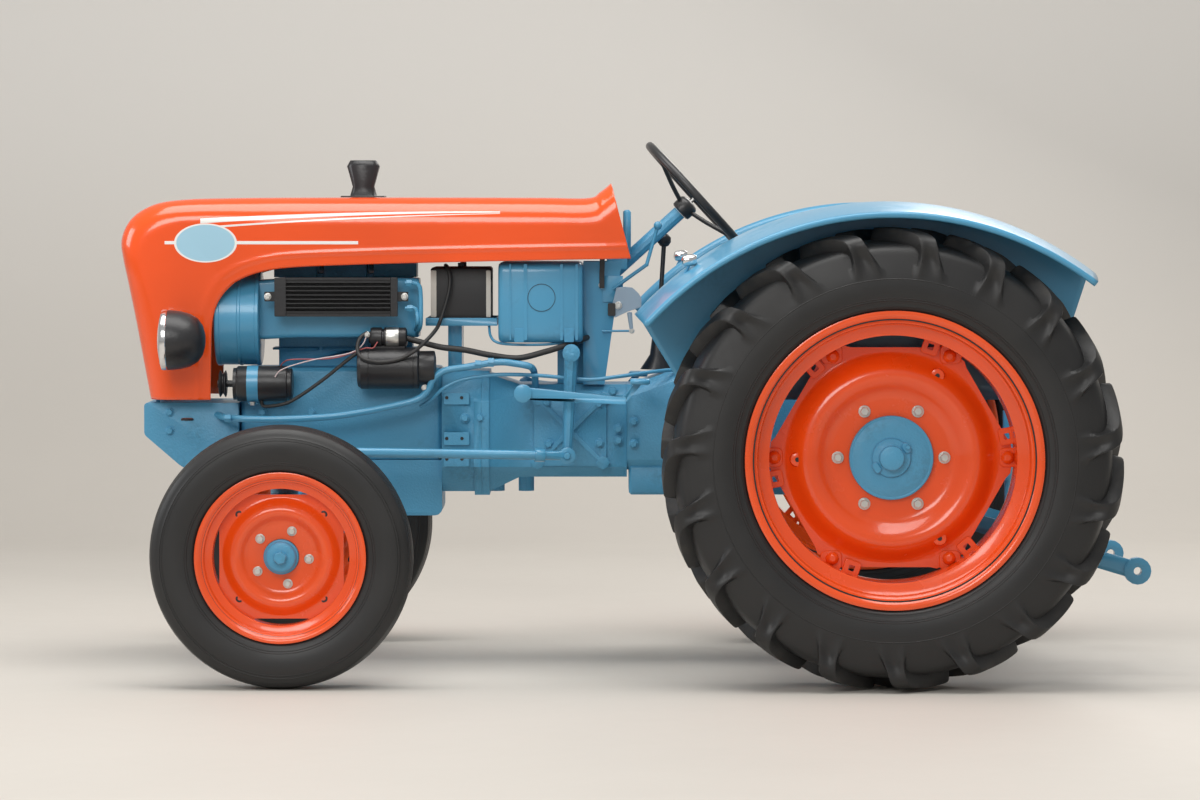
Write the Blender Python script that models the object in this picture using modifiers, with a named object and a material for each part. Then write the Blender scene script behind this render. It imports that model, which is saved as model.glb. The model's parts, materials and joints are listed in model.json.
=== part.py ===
"""A vintage tractor with an air-cooled engine under a one-piece bonnet.

Metres, +X towards the nose, +Y to the driver's left, +Z up, with the ground at Z = 0.
Every piece is its own object, in one collection; cutters and pieces that are joined into
another object stay in a second, hidden collection.
"""

import math

import bmesh
import bpy
from mathutils import Euler, Matrix, Vector

# Driving dimensions of the whole tractor
WHEELBASE = 1.570
REAR_AXLE_X = -0.665
REAR_WHEEL_Y = 0.630
FRONT_WHEEL_Y = 0.620
REAR_TYRE_RADIUS = 0.594
FRONT_TYRE_RADIUS = 0.340
FRONT_AXLE_X = REAR_AXLE_X + WHEELBASE

# Clearances: between pieces that touch, round a pin in its eye, beside a turning piece,
# and past a face that a cutter leaves
TOUCH = 0.0003
PIN_PLAY = 0.0006
RUN_GAP = 0.0008
OVERRUN = 0.010
WELD = 0.00001
SCREW_WELD = 0.0001

# Facets round a turned piece, by its size
FACETS_ROUND = 16
FACETS_SMALL = 10

QUARTER = math.pi / 2
HALF_TURN = math.pi
MIDWAY = 0.5
SIDES = (("left", 1), ("right", -1))
ALONG = {
    "X": Euler((0, QUARTER, 0)).to_matrix(),
    "Y": Euler((-QUARTER, 0, 0)).to_matrix(),
    "Z": Euler((0, 0, 0)).to_matrix(),
}


def new_collection(name):
    made = bpy.data.collections.new(name)
    bpy.context.scene.collection.children.link(made)
    return made


for old in list(bpy.data.objects):
    bpy.data.objects.remove(old, do_unlink=True)
TRACTOR = new_collection("vintage_tractor")
CUTTERS = new_collection("cutters")
CUTTERS.hide_render = True


# Materials of the real pieces
def paint(name, colour, roughness, metallic):
    made = bpy.data.materials.new(name)
    made.use_nodes = True
    shader = made.node_tree.nodes["Principled BSDF"]
    shader.inputs["Base Color"].default_value = (*colour, 1)
    shader.inputs["Roughness"].default_value = roughness
    shader.inputs["Metallic"].default_value = metallic
    made.diffuse_color = (*colour, 1)
    return made


ORANGE = paint("orange_paint", (0.87, 0.10, 0.012), 0.28, 0.0)
BLUE = paint("blue_paint", (0.055, 0.30, 0.52), 0.38, 0.0)
BLACK = paint("black_paint", (0.02, 0.02, 0.022), 0.45, 0.0)
RUBBER = paint("tyre_rubber", (0.025, 0.025, 0.027), 0.62, 0.0)
STEEL = paint("bright_steel", (0.62, 0.61, 0.58), 0.35, 1.0)
PLASTIC = paint("black_plastic", (0.03, 0.03, 0.032), 0.5, 0.0)


# Making and placing shapes
def keep(name, mesh, helper=True):
    made = bpy.data.objects.new(name, mesh)
    (CUTTERS if helper else TRACTOR).objects.link(made)
    if helper:
        made.hide_render = True
        made.display_type = "WIRE"
    return made


def place(shape, turn, at):
    """Turn a bmesh about the origin and then move it to its place."""
    bmesh.ops.transform(shape, matrix=Matrix.Translation(Vector(at)) @ turn.to_4x4(), verts=shape.verts)


def finish_mesh(name, shape):
    mesh = bpy.data.meshes.new(name)
    bmesh.ops.recalc_face_normals(shape, faces=shape.faces)
    shape.to_mesh(mesh)
    shape.free()
    return mesh


def block(size, at, lean=0.0, edge=0.0):
    """A box by its full size and centre, leaning about the Y axis, with its edges rounded."""
    shape = bmesh.new()
    bmesh.ops.create_cube(shape, size=1)
    bmesh.ops.scale(shape, vec=Vector(size), verts=shape.verts)
    if edge:
        bmesh.ops.bevel(shape, geom=shape.edges[:], offset=edge, segments=1, affect="EDGES")
    place(shape, Euler((0, lean, 0)).to_matrix(), at)
    return keep("block", finish_mesh("block", shape))


def rod(radius, length, at, axis="Y", facets=FACETS_SMALL, end_radius=None, turn=None):
    """A cylinder or cone about its centre; end_radius is the radius at its far end."""
    shape = bmesh.new()
    far = radius if end_radius is None else end_radius
    bmesh.ops.create_cone(
        shape, cap_ends=True, segments=facets, radius1=radius, radius2=far, depth=length
    )
    place(shape, turn or ALONG[axis], at)
    return keep("rod", finish_mesh("rod", shape))


def ball(radius, at, facets=FACETS_SMALL):
    shape = bmesh.new()
    bmesh.ops.create_uvsphere(shape, u_segments=facets, v_segments=facets // 2, radius=radius)
    place(shape, ALONG["Z"], at)
    return keep("ball", finish_mesh("ball", shape))


def rod_between(radius, start, end, facets=FACETS_SMALL, end_radius=None):
    """A straight rod from one point to another."""
    start = Vector(start)
    span = Vector(end) - start
    turn = span.to_track_quat("Z", "Y").to_matrix()
    return rod(radius, span.length, start + span / 2, facets=facets, end_radius=end_radius, turn=turn)


def mesh_of(made):
    """Turn a curve or a modified object into a plain mesh object in world space."""
    bpy.context.view_layer.update()
    graph = bpy.context.evaluated_depsgraph_get()
    mesh = bpy.data.meshes.new_from_object(made.evaluated_get(graph))
    shape = bmesh.new()
    shape.from_mesh(mesh)
    bmesh.ops.transform(shape, matrix=made.matrix_world, verts=shape.verts)
    bmesh.ops.remove_doubles(shape, verts=shape.verts, dist=WELD)
    bmesh.ops.recalc_face_normals(shape, faces=shape.faces)
    shape.to_mesh(mesh)
    shape.free()
    name = made.name
    old = made.data
    bpy.data.objects.remove(made, do_unlink=True)
    if isinstance(old, bpy.types.Curve):
        bpy.data.curves.remove(old)
    return keep(name, mesh)


def arc_corners(corners, facets=3):
    """A closed outline from a table of (across, up, corner radius), each corner an arc of facets."""
    outline = []
    count = len(corners)
    for index, (x, z, radius) in enumerate(corners):
        here = Vector((x, z))
        if not radius:
            outline.append(here)
            continue
        back = Vector(corners[index - 1][:2]) - here
        ahead = Vector(corners[(index + 1) % count][:2]) - here
        half_angle = back.angle(ahead) / 2
        reach = min(radius / math.tan(half_angle), back.length / 2, ahead.length / 2)
        bend = reach * math.tan(half_angle)
        middle = here + (back.normalized() + ahead.normalized()).normalized() * bend / math.sin(half_angle)
        first = here + back.normalized() * reach - middle
        last = here + ahead.normalized() * reach - middle
        sweep = first.angle_signed(last)
        for step in range(facets + 1):
            turned = first.copy()
            turned.rotate(Matrix.Rotation(-sweep * step / facets, 2))
            outline.append(middle + turned)
    return outline


def prism(outline, width, at=0.0, plane="XZ"):
    """A flat outline given a thickness: XZ outlines grow along Y, XY along Z and YZ along X."""
    curve = bpy.data.curves.new("outline", "CURVE")
    curve.dimensions = "2D"
    curve.fill_mode = "BOTH"
    curve.extrude = width / 2
    spline = curve.splines.new("POLY")
    spline.points.add(len(outline) - 1)
    for point, (x, y) in zip(spline.points, outline):
        point.co = (x, y, 0, 1)
    spline.use_cyclic_u = True
    made = bpy.data.objects.new("prism", curve)
    TRACTOR.objects.link(made)
    turns = {"XZ": (QUARTER, 0, 0), "XY": (0, 0, 0), "YZ": (QUARTER, 0, QUARTER)}
    shifts = {"XZ": (0, at, 0), "XY": (0, 0, at), "YZ": (at, 0, 0)}
    made.rotation_euler = turns[plane]
    made.location = shifts[plane]
    return mesh_of(made)


def turned(profile, at, axis="Y", facets=FACETS_ROUND, flip=False):
    """A closed profile of (radius, along), from top to bottom on its outer side, turned about an axis."""
    mesh = bpy.data.meshes.new("profile")
    points = [(radius, 0, -along if flip else along) for radius, along in profile]
    on_axis = profile[0][0] == 0 and profile[-1][0] == 0
    closing = [] if on_axis else [(len(points) - 1, 0)]
    edges = [(index, index + 1) for index in range(len(points) - 1)] + closing
    mesh.from_pydata(points, edges, [])
    made = bpy.data.objects.new("turned", mesh)
    TRACTOR.objects.link(made)
    screw = made.modifiers.new("turn", "SCREW")
    screw.steps = facets
    screw.render_steps = facets
    screw.use_merge_vertices = True
    screw.merge_threshold = SCREW_WELD
    made.rotation_euler = ALONG[axis].to_euler()
    made.location = at
    return mesh_of(made)


def loft(sections, closed_ends=True):
    """Skin a row of closed sections that have like numbers of points."""
    shape = bmesh.new()
    rings = [[shape.verts.new(point) for point in section] for section in sections]
    for ring, following in zip(rings, rings[1:]):
        for index in range(len(ring)):
            after = (index + 1) % len(ring)
            shape.faces.new((ring[index], ring[after], following[after], following[index]))
    if closed_ends:
        shape.faces.new(rings[0][::-1])
        shape.faces.new(rings[-1])
    return keep("loft", finish_mesh("loft", shape))


def boolean(target, others, operation):
    for other in others:
        step = target.modifiers.new(operation.lower(), "BOOLEAN")
        step.operation = operation
        step.solver = "EXACT"
        step.object = other
    return target


def fuse(target, *others):
    return boolean(target, others, "UNION")


def cut(target, *others):
    return boolean(target, others, "DIFFERENCE")


def common(target, *others):
    return boolean(target, others, "INTERSECT")


def piece(name, made, material, pivot=(0, 0, 0), smooth=40):
    """Finish an object: its name, its finish, and its origin on its joint's axis."""
    made.name = name
    made.data.name = name
    CUTTERS.objects.unlink(made)
    TRACTOR.objects.link(made)
    made.hide_render = False
    made.display_type = "TEXTURED"
    made.data.materials.clear()
    made.data.materials.append(material)
    made.data.transform(Matrix.Translation(-Vector(pivot)))
    made.location = pivot
    made.data.shade_smooth()
    made.data.set_sharp_from_angle(angle=math.radians(smooth))
    return made


# Rear wheels: ribbed drive tyre on a drop-centre rim, with a dished disc bolted to lugs inside the rim
REAR_TYRE_WIDTH = 0.284
REAR_SEAT_SHARE = 0.5993
REAR_FLANGE_TALL = 0.025
REAR_WELL_DEEP = 0.034
REAR_SEAT_RADIUS = REAR_TYRE_RADIUS * REAR_SEAT_SHARE
REAR_FLANGE_RADIUS = REAR_SEAT_RADIUS + REAR_FLANGE_TALL
REAR_RIM_WIDTH = 0.250
REAR_WELL_RADIUS = REAR_SEAT_RADIUS - REAR_WELL_DEEP
RIM_FLANGE_THICK = 0.007
RIM_WALL = 0.005
# Share of the rim's half width that its drop centre reaches
WELL_SHARE = 0.55
REAR_FACETS = 38
DISC_FACETS = 24
LUG_HEIGHT = 0.030
LUGS_PER_SIDE = 19
LUG_LAG = 2 * HALF_TURN / REAR_FACETS
# Shares of a lug's pitch at which its flanks start and end: foot, crest, crest, foot
LUG_FLANK_SHARES = (0.02, 0.12, 0.36, 0.46)
# Columns: share of the half width, share of the carcass height, share of the lug's height, share of its lag
TREAD_SHARES = (
    (0.06, 1.0, 1.0, 0.0),
    (0.50, 0.985, 1.0, 0.60),
    (0.93, 0.90, 1.0, 1.0),
    (1.00, 0.56, 0.10, 1.0),
)


def tyre_profile(seat, flange, top, half_bead, half_width, shares):
    """The tyre's closed section: the bead between the flanges, then out, round the tread and back."""
    height = top - seat
    side = [(seat, half_bead), (flange, half_bead)]
    side += [(seat + height * up, half_width * out) for up, out in shares[:-1]]
    other = [(radius, -along) for radius, along in side]
    return [(top, 0)] + side[::-1] + other


def ring_at(shape, middle, radius, y, angles):
    """A ring of points round the wheel's axis, one for each angle."""
    radii = radius if isinstance(radius, list) else [radius] * len(angles)
    made = []
    for angle, reach in zip(angles, radii):
        at = (middle[0] + reach * math.sin(angle), middle[1] + y, middle[2] + reach * math.cos(angle))
        made.append(shape.verts.new(at))
    return made


def stitch(shape, ring, following):
    """Quads between two rings, or triangles where the second has half as many points."""
    count = len(ring)
    for index in range(count):
        after = (index + 1) % count
        if len(following) == count:
            shape.faces.new((ring[index], ring[after], following[after], following[index]))
            continue
        near = following[index // 2]
        if index % 2:
            ahead = following[(index // 2 + 1) % len(following)]
            shape.faces.new((ring[index], ring[after], ahead))
            shape.faces.new((ring[index], ahead, near))
        else:
            shape.faces.new((ring[index], ring[after], near))


def rear_tyre(name, side):
    """Rings from the tread's centre out over the lugs to each bead; the sides are half a pitch apart."""
    middle = (REAR_AXLE_X, side * REAR_WHEEL_Y, REAR_TYRE_RADIUS)
    base = REAR_TYRE_RADIUS - LUG_HEIGHT
    seat = REAR_SEAT_RADIUS + TOUCH
    half_bead = REAR_RIM_WIDTH / 2 - RIM_FLANGE_THICK - TOUCH
    pitch = 2 * HALF_TURN / LUGS_PER_SIDE
    columns = len(LUG_FLANK_SHARES) * LUGS_PER_SIDE
    even = [pitch * index / len(LUG_FLANK_SHARES) for index in range(columns)]
    shape = bmesh.new()
    centre = ring_at(shape, middle, base, 0, even)
    beads = []
    for out in (1, -1):
        shift = 0 if out > 0 else len(LUG_FLANK_SHARES) // 2
        previous = centre
        for across, up, high, lag in TREAD_SHARES:
            radii = []
            angles = []
            for index in range(columns):
                place_in = (index + shift) % len(LUG_FLANK_SHARES)
                turn = (index + shift) // len(LUG_FLANK_SHARES)
                crest = LUG_HEIGHT * high if place_in in (1, 2) else 0
                radii.append(min(seat + (base - seat) * up + crest, REAR_TYRE_RADIUS))
                angles.append(
                    pitch * (turn + LUG_FLANK_SHARES[place_in] - shift / len(LUG_FLANK_SHARES))
                - LUG_LAG * lag,
                )
            ring = ring_at(shape, middle, radii, out * REAR_TYRE_WIDTH / 2 * across, angles)
            stitch(shape, previous, ring)
            previous = ring
        half = [angle - LUG_LAG / 2 for angle in even[::2]]
        for radius, y in ((REAR_FLANGE_RADIUS + TOUCH, half_bead), (seat, half_bead)):
            ring = ring_at(shape, middle, radius, out * y, half)
            stitch(shape, previous, ring)
            previous = ring
        beads.append(previous)
    stitch(shape, *beads)
    return piece(name, keep(name, finish_mesh(name, shape)), RUBBER, middle)


def rim_profile(flange, seat, well, width, wall):
    """The rim's closed section: flanges and seat on the tyre's side, and the drop centre inside."""
    half = width / 2
    foot = half - RIM_FLANGE_THICK
    shelf = foot * WELL_SHARE
    outer = [(flange, half), (seat, foot), (seat, -foot), (flange, -half)]
    inner = [
        (seat - wall, -half), (well - wall, -shelf - wall), (well - wall, shelf + wall), (seat - wall, half)
    ]
    return outer + inner


# The rear disc: hub seat, raised ring, slope and a flange whose edge is scalloped between the rim's lugs
DISC_Y = -0.030
DISC_WALL = 0.006
DISC_HOLE_RADIUS = 0.050
DISC_SEAT_RADIUS = REAR_SEAT_RADIUS * 0.4635
DISC_CREST_RADIUS = REAR_SEAT_RADIUS * 0.5955
DISC_SLOPE_RADIUS = REAR_SEAT_RADIUS * 0.7528
DISC_RADIUS = REAR_SEAT_RADIUS * 0.8596
DISC_CREST_RISE = 0.034
DISC_FLANGE_DROP = 0.010
SCALLOPS = 6
SCALLOP_DEEP = REAR_SEAT_RADIUS * 0.0955
RIM_LUG_LONG = 0.050
RIM_LUG_THICK = 0.012
RIM_LUG_REACH = 0.052
RIM_LUG_SINK = 0.0012
# Share of the rim's wall that a lug stops short of its tyre side
RIM_LUG_BITE_SHARE = 0.7


def disc_profile(hole, columns, wall):
    """A dished disc's closed section, from a table of radius and height of its outer face."""
    outer = [(radius, height) for radius, height in columns]
    inner = [(radius, height - wall) for radius, height in columns]
    return [(hole, columns[0][1])] + outer + inner[::-1] + [(hole, columns[0][1] - wall)]


def lobed(disc, middle, edge, deep, lobes):
    """Draw the points on the disc's edge in towards its middle between the lobes."""
    for point in disc.data.vertices:
        x = point.co.x - middle[0]
        z = point.co.z - middle[2]
        if math.hypot(x, z) < edge - deep:
            continue
        reach = edge - deep * (1 + math.cos(lobes * math.atan2(x, z))) / 2
        shrink = reach / math.hypot(x, z)
        point.co.x = middle[0] + x * shrink
        point.co.z = middle[2] + z * shrink
    return disc


def rear_wheel(name, side):
    """The rim with the lugs inside it, and the disc bolted against them."""
    middle = (REAR_AXLE_X, side * REAR_WHEEL_Y, REAR_TYRE_RADIUS)
    profile = rim_profile(REAR_FLANGE_RADIUS, REAR_SEAT_RADIUS, REAR_WELL_RADIUS, REAR_RIM_WIDTH, RIM_WALL)
    rim = turned(profile, middle, "Y", REAR_FACETS)
    flange_back = DISC_Y - DISC_FLANGE_DROP - DISC_WALL
    lug_y = side * (REAR_WHEEL_Y + flange_back - RIM_LUG_THICK / 2 + RIM_LUG_SINK)
    for index in range(SCALLOPS):
        angle = 2 * HALF_TURN * (index + MIDWAY) / SCALLOPS
        reach = REAR_WELL_RADIUS - RIM_WALL * RIM_LUG_BITE_SHARE - RIM_LUG_REACH / 2
        at = (REAR_AXLE_X + reach * math.sin(angle), lug_y, REAR_TYRE_RADIUS + reach * math.cos(angle))
        fuse(rim, block((RIM_LUG_LONG, RIM_LUG_THICK, RIM_LUG_REACH), at, lean=angle))
    return piece(name, fuse(rim, rear_disc(side)), ORANGE, middle)


def rear_disc(side):
    """The dished disc, its edge scalloped between the lugs."""
    middle = (REAR_AXLE_X, side * (REAR_WHEEL_Y + DISC_Y), REAR_TYRE_RADIUS)
    columns = (
        (DISC_SEAT_RADIUS, 0),
        (DISC_CREST_RADIUS, DISC_CREST_RISE),
        (DISC_SLOPE_RADIUS, -DISC_FLANGE_DROP),
        (DISC_RADIUS, -DISC_FLANGE_DROP),
    )
    disc = turned(
        disc_profile(DISC_HOLE_RADIUS, columns, DISC_WALL), middle, "Y", DISC_FACETS, flip=side < 0
    )
    return lobed(disc, middle, DISC_RADIUS, SCALLOP_DEEP, SCALLOPS)


# The rear hub: the axle shaft's flange in the disc's hole, with its boss and bolts
HUB_FLANGE_RADIUS = 0.1085
HUB_FLANGE_THICK = 0.014
HUB_RING_RADIUS = 0.050
HUB_RING_RISE = 0.008
HUB_BOSS_RADIUS = 0.032
HUB_BOSS_RISE = 0.030
HUB_BACK_RADIUS = 0.150
HUB_BACK_THICK = 0.014


def rear_hub(name, side):
    face = side * (REAR_WHEEL_Y + DISC_Y)
    flange = HUB_FLANGE_THICK + TOUCH
    back = -DISC_WALL - TOUCH
    profile = (
        (0, flange + HUB_BOSS_RISE),
        (HUB_BOSS_RADIUS, flange + HUB_BOSS_RISE),
        (HUB_BOSS_RADIUS, flange + HUB_RING_RISE),
        (HUB_RING_RADIUS, flange),
        (HUB_FLANGE_RADIUS, flange),
        (HUB_FLANGE_RADIUS, TOUCH),
        (DISC_HOLE_RADIUS - PIN_PLAY, TOUCH),
        (DISC_HOLE_RADIUS - PIN_PLAY, back),
        (HUB_BACK_RADIUS, back),
        (HUB_BACK_RADIUS, back - HUB_BACK_THICK),
        (0, back - HUB_BACK_THICK),
    )
    middle = (REAR_AXLE_X, face, REAR_TYRE_RADIUS)
    return piece(name, turned(profile, middle, "Y", FACETS_ROUND, flip=side < 0), BLUE, middle)


# Front wheels: ribbed tyre, drop-centre rim and a dished disc with four openings
FRONT_TYRE_WIDTH = 0.145
FRONT_SEAT_SHARE = 0.5926
FRONT_FLANGE_TALL = 0.019
FRONT_WELL_DEEP = 0.0215
FRONT_SEAT_RADIUS = FRONT_TYRE_RADIUS * FRONT_SEAT_SHARE
FRONT_FLANGE_RADIUS = FRONT_SEAT_RADIUS + FRONT_FLANGE_TALL
FRONT_WELL_RADIUS = FRONT_SEAT_RADIUS - FRONT_WELL_DEEP
FRONT_RIM_WIDTH = 0.118
FRONT_RIM_WALL = 0.004
FRONT_FACETS = 24
FRONT_TREAD_SHARES = ((0.45, 1.0), (0.80, 0.93), (0.96, 0.70), (1.0, 0.0))
FRONT_DISC_Y = 0.008
FRONT_DISC_WALL = 0.005
FRONT_SEAT_FLAT_RADIUS = FRONT_SEAT_RADIUS * 0.4367
FRONT_CREST_RADIUS = FRONT_SEAT_RADIUS * 0.5856
FRONT_CREST_RISE = 0.016
FRONT_SLOPE_RADIUS = FRONT_SEAT_RADIUS * 0.7444
FRONT_DISC_DROP = 0.006
FRONT_SLOTS = 4
FRONT_SLOT_DEEP = FRONT_SEAT_RADIUS * 0.0993


def front_tyre(name, side):
    middle = (FRONT_AXLE_X, side * FRONT_WHEEL_Y, FRONT_TYRE_RADIUS)
    half_bead = FRONT_RIM_WIDTH / 2 - RIM_FLANGE_THICK - TOUCH
    profile = tyre_profile(
        FRONT_SEAT_RADIUS + TOUCH,
        FRONT_FLANGE_RADIUS + TOUCH,
        FRONT_TYRE_RADIUS,
        half_bead,
        FRONT_TYRE_WIDTH / 2,
        FRONT_TREAD_SHARES,
    )
    return piece(name, turned(profile, middle, "Y", FRONT_FACETS), RUBBER, middle)


def front_wheel(name, side):
    """The front rim with its disc, whose flange is welded in the well."""
    middle = (FRONT_AXLE_X, side * FRONT_WHEEL_Y, FRONT_TYRE_RADIUS)
    profile = rim_profile(
        FRONT_FLANGE_RADIUS, FRONT_SEAT_RADIUS, FRONT_WELL_RADIUS, FRONT_RIM_WIDTH, FRONT_RIM_WALL
    )
    rim = turned(profile, middle, "Y", FRONT_FACETS)
    columns = (
        (FRONT_SEAT_FLAT_RADIUS, 0),
        (FRONT_CREST_RADIUS, FRONT_CREST_RISE),
        (FRONT_SLOPE_RADIUS, -FRONT_DISC_DROP),
        (FRONT_WELL_RADIUS - FRONT_RIM_WALL / 2, -FRONT_DISC_DROP),
    )
    at = (FRONT_AXLE_X, side * (FRONT_WHEEL_Y + FRONT_DISC_Y), FRONT_TYRE_RADIUS)
    disc = turned(
        disc_profile(FRONT_HUB_RADIUS + PIN_PLAY, columns, FRONT_DISC_WALL),
        at, "Y", DISC_FACETS, flip=side < 0
    )
    lobed(disc, at, columns[-1][0], FRONT_SLOT_DEEP, FRONT_SLOTS)
    return piece(name, fuse(rim, disc), ORANGE, middle)


# The front hub: bearing housing behind the disc, cap in front of it, turning on the stub axle
FRONT_HUB_RADIUS = 0.045
FRONT_HUB_FLANGE_RADIUS = 0.080
FRONT_HUB_FLANGE_THICK = 0.010
FRONT_HUB_BACK = 0.034
FRONT_CAP_RADIUS = 0.040
FRONT_CAP_RISE = 0.042
FRONT_CAP_LIP = 0.010
STUB_RADIUS = 0.022


def front_hub(name, side):
    at = (FRONT_AXLE_X, side * (FRONT_WHEEL_Y + FRONT_DISC_Y), FRONT_TYRE_RADIUS)
    back = -FRONT_DISC_WALL - TOUCH
    bore = STUB_RADIUS + PIN_PLAY
    profile = (
        (0, FRONT_CAP_RISE),
        (FRONT_CAP_RADIUS - FRONT_CAP_LIP, FRONT_CAP_RISE),
        (FRONT_CAP_RADIUS, FRONT_CAP_RISE - FRONT_CAP_LIP),
        (FRONT_CAP_RADIUS, FRONT_CAP_LIP),
        (FRONT_HUB_RADIUS, FRONT_CAP_LIP),
        (FRONT_HUB_RADIUS, back),
        (FRONT_HUB_FLANGE_RADIUS, back),
        (FRONT_HUB_FLANGE_RADIUS, back - FRONT_HUB_FLANGE_THICK),
        (FRONT_HUB_RADIUS, back - FRONT_HUB_FLANGE_THICK),
        (FRONT_HUB_RADIUS, back - FRONT_HUB_BACK),
        (bore, back - FRONT_HUB_BACK),
        (bore, 0),
        (0, 0),
    )
    return piece(name, turned(profile, at, "Y", FACETS_ROUND, flip=side < 0), BLUE, at)


# Front support: the casting that carries the axle pivot, the bonnet hinge and the lamps
SUPPORT_TOP_Z = 0.7147
SUPPORT_FRONT_X = 1.3084
SUPPORT_LIP_Z = 0.629
SUPPORT_BELLY_X = 1.205
SUPPORT_BELLY_Z = 0.540
SUPPORT_STEP_X = 1.055
SUPPORT_STEP_Z = 0.560
SUPPORT_REAR_X = 0.790
SUPPORT_HALF_WIDTH = 0.140
SUPPORT_CORNER = 0.018
PIVOT_Z = 0.450
PIVOT_RADIUS = 0.020
PIVOT_EYE_RADIUS = 0.045
PIVOT_EAR_THICK = 0.036
PIVOT_EAR_TOP_Z = 0.530
AXLE_THICK = 0.064


def front_support():
    outline = arc_corners(
        (
            (SUPPORT_FRONT_X, SUPPORT_TOP_Z, SUPPORT_CORNER / 2),
            (SUPPORT_FRONT_X, SUPPORT_LIP_Z, SUPPORT_CORNER),
            (SUPPORT_BELLY_X, SUPPORT_BELLY_Z, SUPPORT_CORNER * 3),
            (SUPPORT_STEP_X, PIVOT_EAR_TOP_Z - SUPPORT_CORNER, 0),
            (SUPPORT_REAR_X, PIVOT_EAR_TOP_Z - SUPPORT_CORNER, 0),
            (SUPPORT_REAR_X, SUPPORT_STEP_Z, 0),
            (SUPPORT_STEP_X, SUPPORT_STEP_Z, 0),
            (SUPPORT_STEP_X, SUPPORT_TOP_Z, 0),
        )
    )
    body = prism(outline, 2 * SUPPORT_HALF_WIDTH)
    ear_height = PIVOT_EAR_TOP_Z - PIVOT_Z
    for way in (1, -1):
        x = FRONT_AXLE_X + way * (AXLE_THICK + PIVOT_EAR_THICK + 2 * RUN_GAP) / 2
        fuse(
            body,
            block((PIVOT_EAR_THICK, 2 * PIVOT_EYE_RADIUS, ear_height), (x, 0, PIVOT_Z + ear_height / 2)),
        )
        fuse(body, rod(PIVOT_EYE_RADIUS, PIVOT_EAR_THICK, (x, 0, PIVOT_Z), "X", FACETS_ROUND))
    span = AXLE_THICK + 3 * PIVOT_EAR_THICK
    cut(body, rod(PIVOT_RADIUS + PIN_PLAY, span, (FRONT_AXLE_X, 0, PIVOT_Z), "X", FACETS_ROUND))
    return piece("front_support", body, BLUE)


# Front axle: a beam with a pivot pin at its middle and a kingpin eye at each end
KINGPIN_Y = 0.505
KINGPIN_RADIUS = 0.018
AXLE_EYE_RADIUS = 0.036
AXLE_EYE_LOW_Z = 0.400
AXLE_EYE_HIGH_Z = 0.496
AXLE_MIDDLE_HALF = 0.044
AXLE_ARM_HALF = 0.027
AXLE_SHOULDER_Y = 0.110


def front_axle():
    eye_z = (AXLE_EYE_LOW_Z + AXLE_EYE_HIGH_Z) / 2
    right = [
        (AXLE_SHOULDER_Y, PIVOT_Z + AXLE_MIDDLE_HALF),
        (KINGPIN_Y, eye_z + AXLE_ARM_HALF),
        (KINGPIN_Y, eye_z - AXLE_ARM_HALF),
        (AXLE_SHOULDER_Y, PIVOT_Z - AXLE_MIDDLE_HALF),
    ]
    outline = right + [(-y, z) for y, z in reversed(right)]
    beam = prism(outline, AXLE_THICK, FRONT_AXLE_X, "YZ")
    span = AXLE_THICK + 2 * (PIVOT_EAR_THICK + RUN_GAP)
    fuse(beam, rod(PIVOT_RADIUS, span, (FRONT_AXLE_X, 0, PIVOT_Z), "X", FACETS_ROUND))
    for _, side in SIDES:
        at = (FRONT_AXLE_X, side * KINGPIN_Y, eye_z)
        fuse(beam, rod(AXLE_EYE_RADIUS, AXLE_EYE_HIGH_Z - AXLE_EYE_LOW_Z, at, "Z", FACETS_ROUND))
        cut(beam, rod(KINGPIN_RADIUS + PIN_PLAY, FRONT_TYRE_RADIUS, at, "Z", FACETS_ROUND))
    return piece("front_axle", beam, BLUE)


# Knuckles: kingpin, stub axle, an arm back to the tie rod and on the left an arm in to the drag link
KNUCKLE_BODY_RADIUS = 0.034
KNUCKLE_LOW_Z = 0.296
STUB_END_INSET = 0.004
STEER_ARM_LONG = 0.135
STEER_ARM_THICK = 0.022
STEER_ARM_NECK_THICK = STEER_ARM_THICK * 0.9
STEER_ARM_WIDE = 0.036
STEER_ARM_Z = 0.553
KNUCKLE_CAP_Z = 0.520
TIE_ARM_LONG = 0.130
TIE_ARM_IN = 0.036
TIE_ARM_Z = 0.352
TIE_ARM_THICK = 0.020
TIE_ARM_WIDE = 0.034


def flat_arm(start, end, z, thick, wide):
    """A flat forged arm between two points at one height, round at both ends."""
    run = Vector((end[0] - start[0], end[1] - start[1]))
    heading = math.atan2(run.y, run.x)
    shape = bmesh.new()
    bmesh.ops.create_cube(shape, size=1)
    bmesh.ops.scale(shape, vec=Vector((run.length, wide, thick)), verts=shape.verts)
    middle = ((start[0] + end[0]) / 2, (start[1] + end[1]) / 2, z)
    place(shape, Euler((0, 0, heading)).to_matrix(), middle)
    arm = keep("arm", finish_mesh("arm", shape))
    return arm, rod(wide / 2 + OVERRUN / 10, thick + OVERRUN / 10, (*end, z), "Z", FACETS_SMALL)


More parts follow.
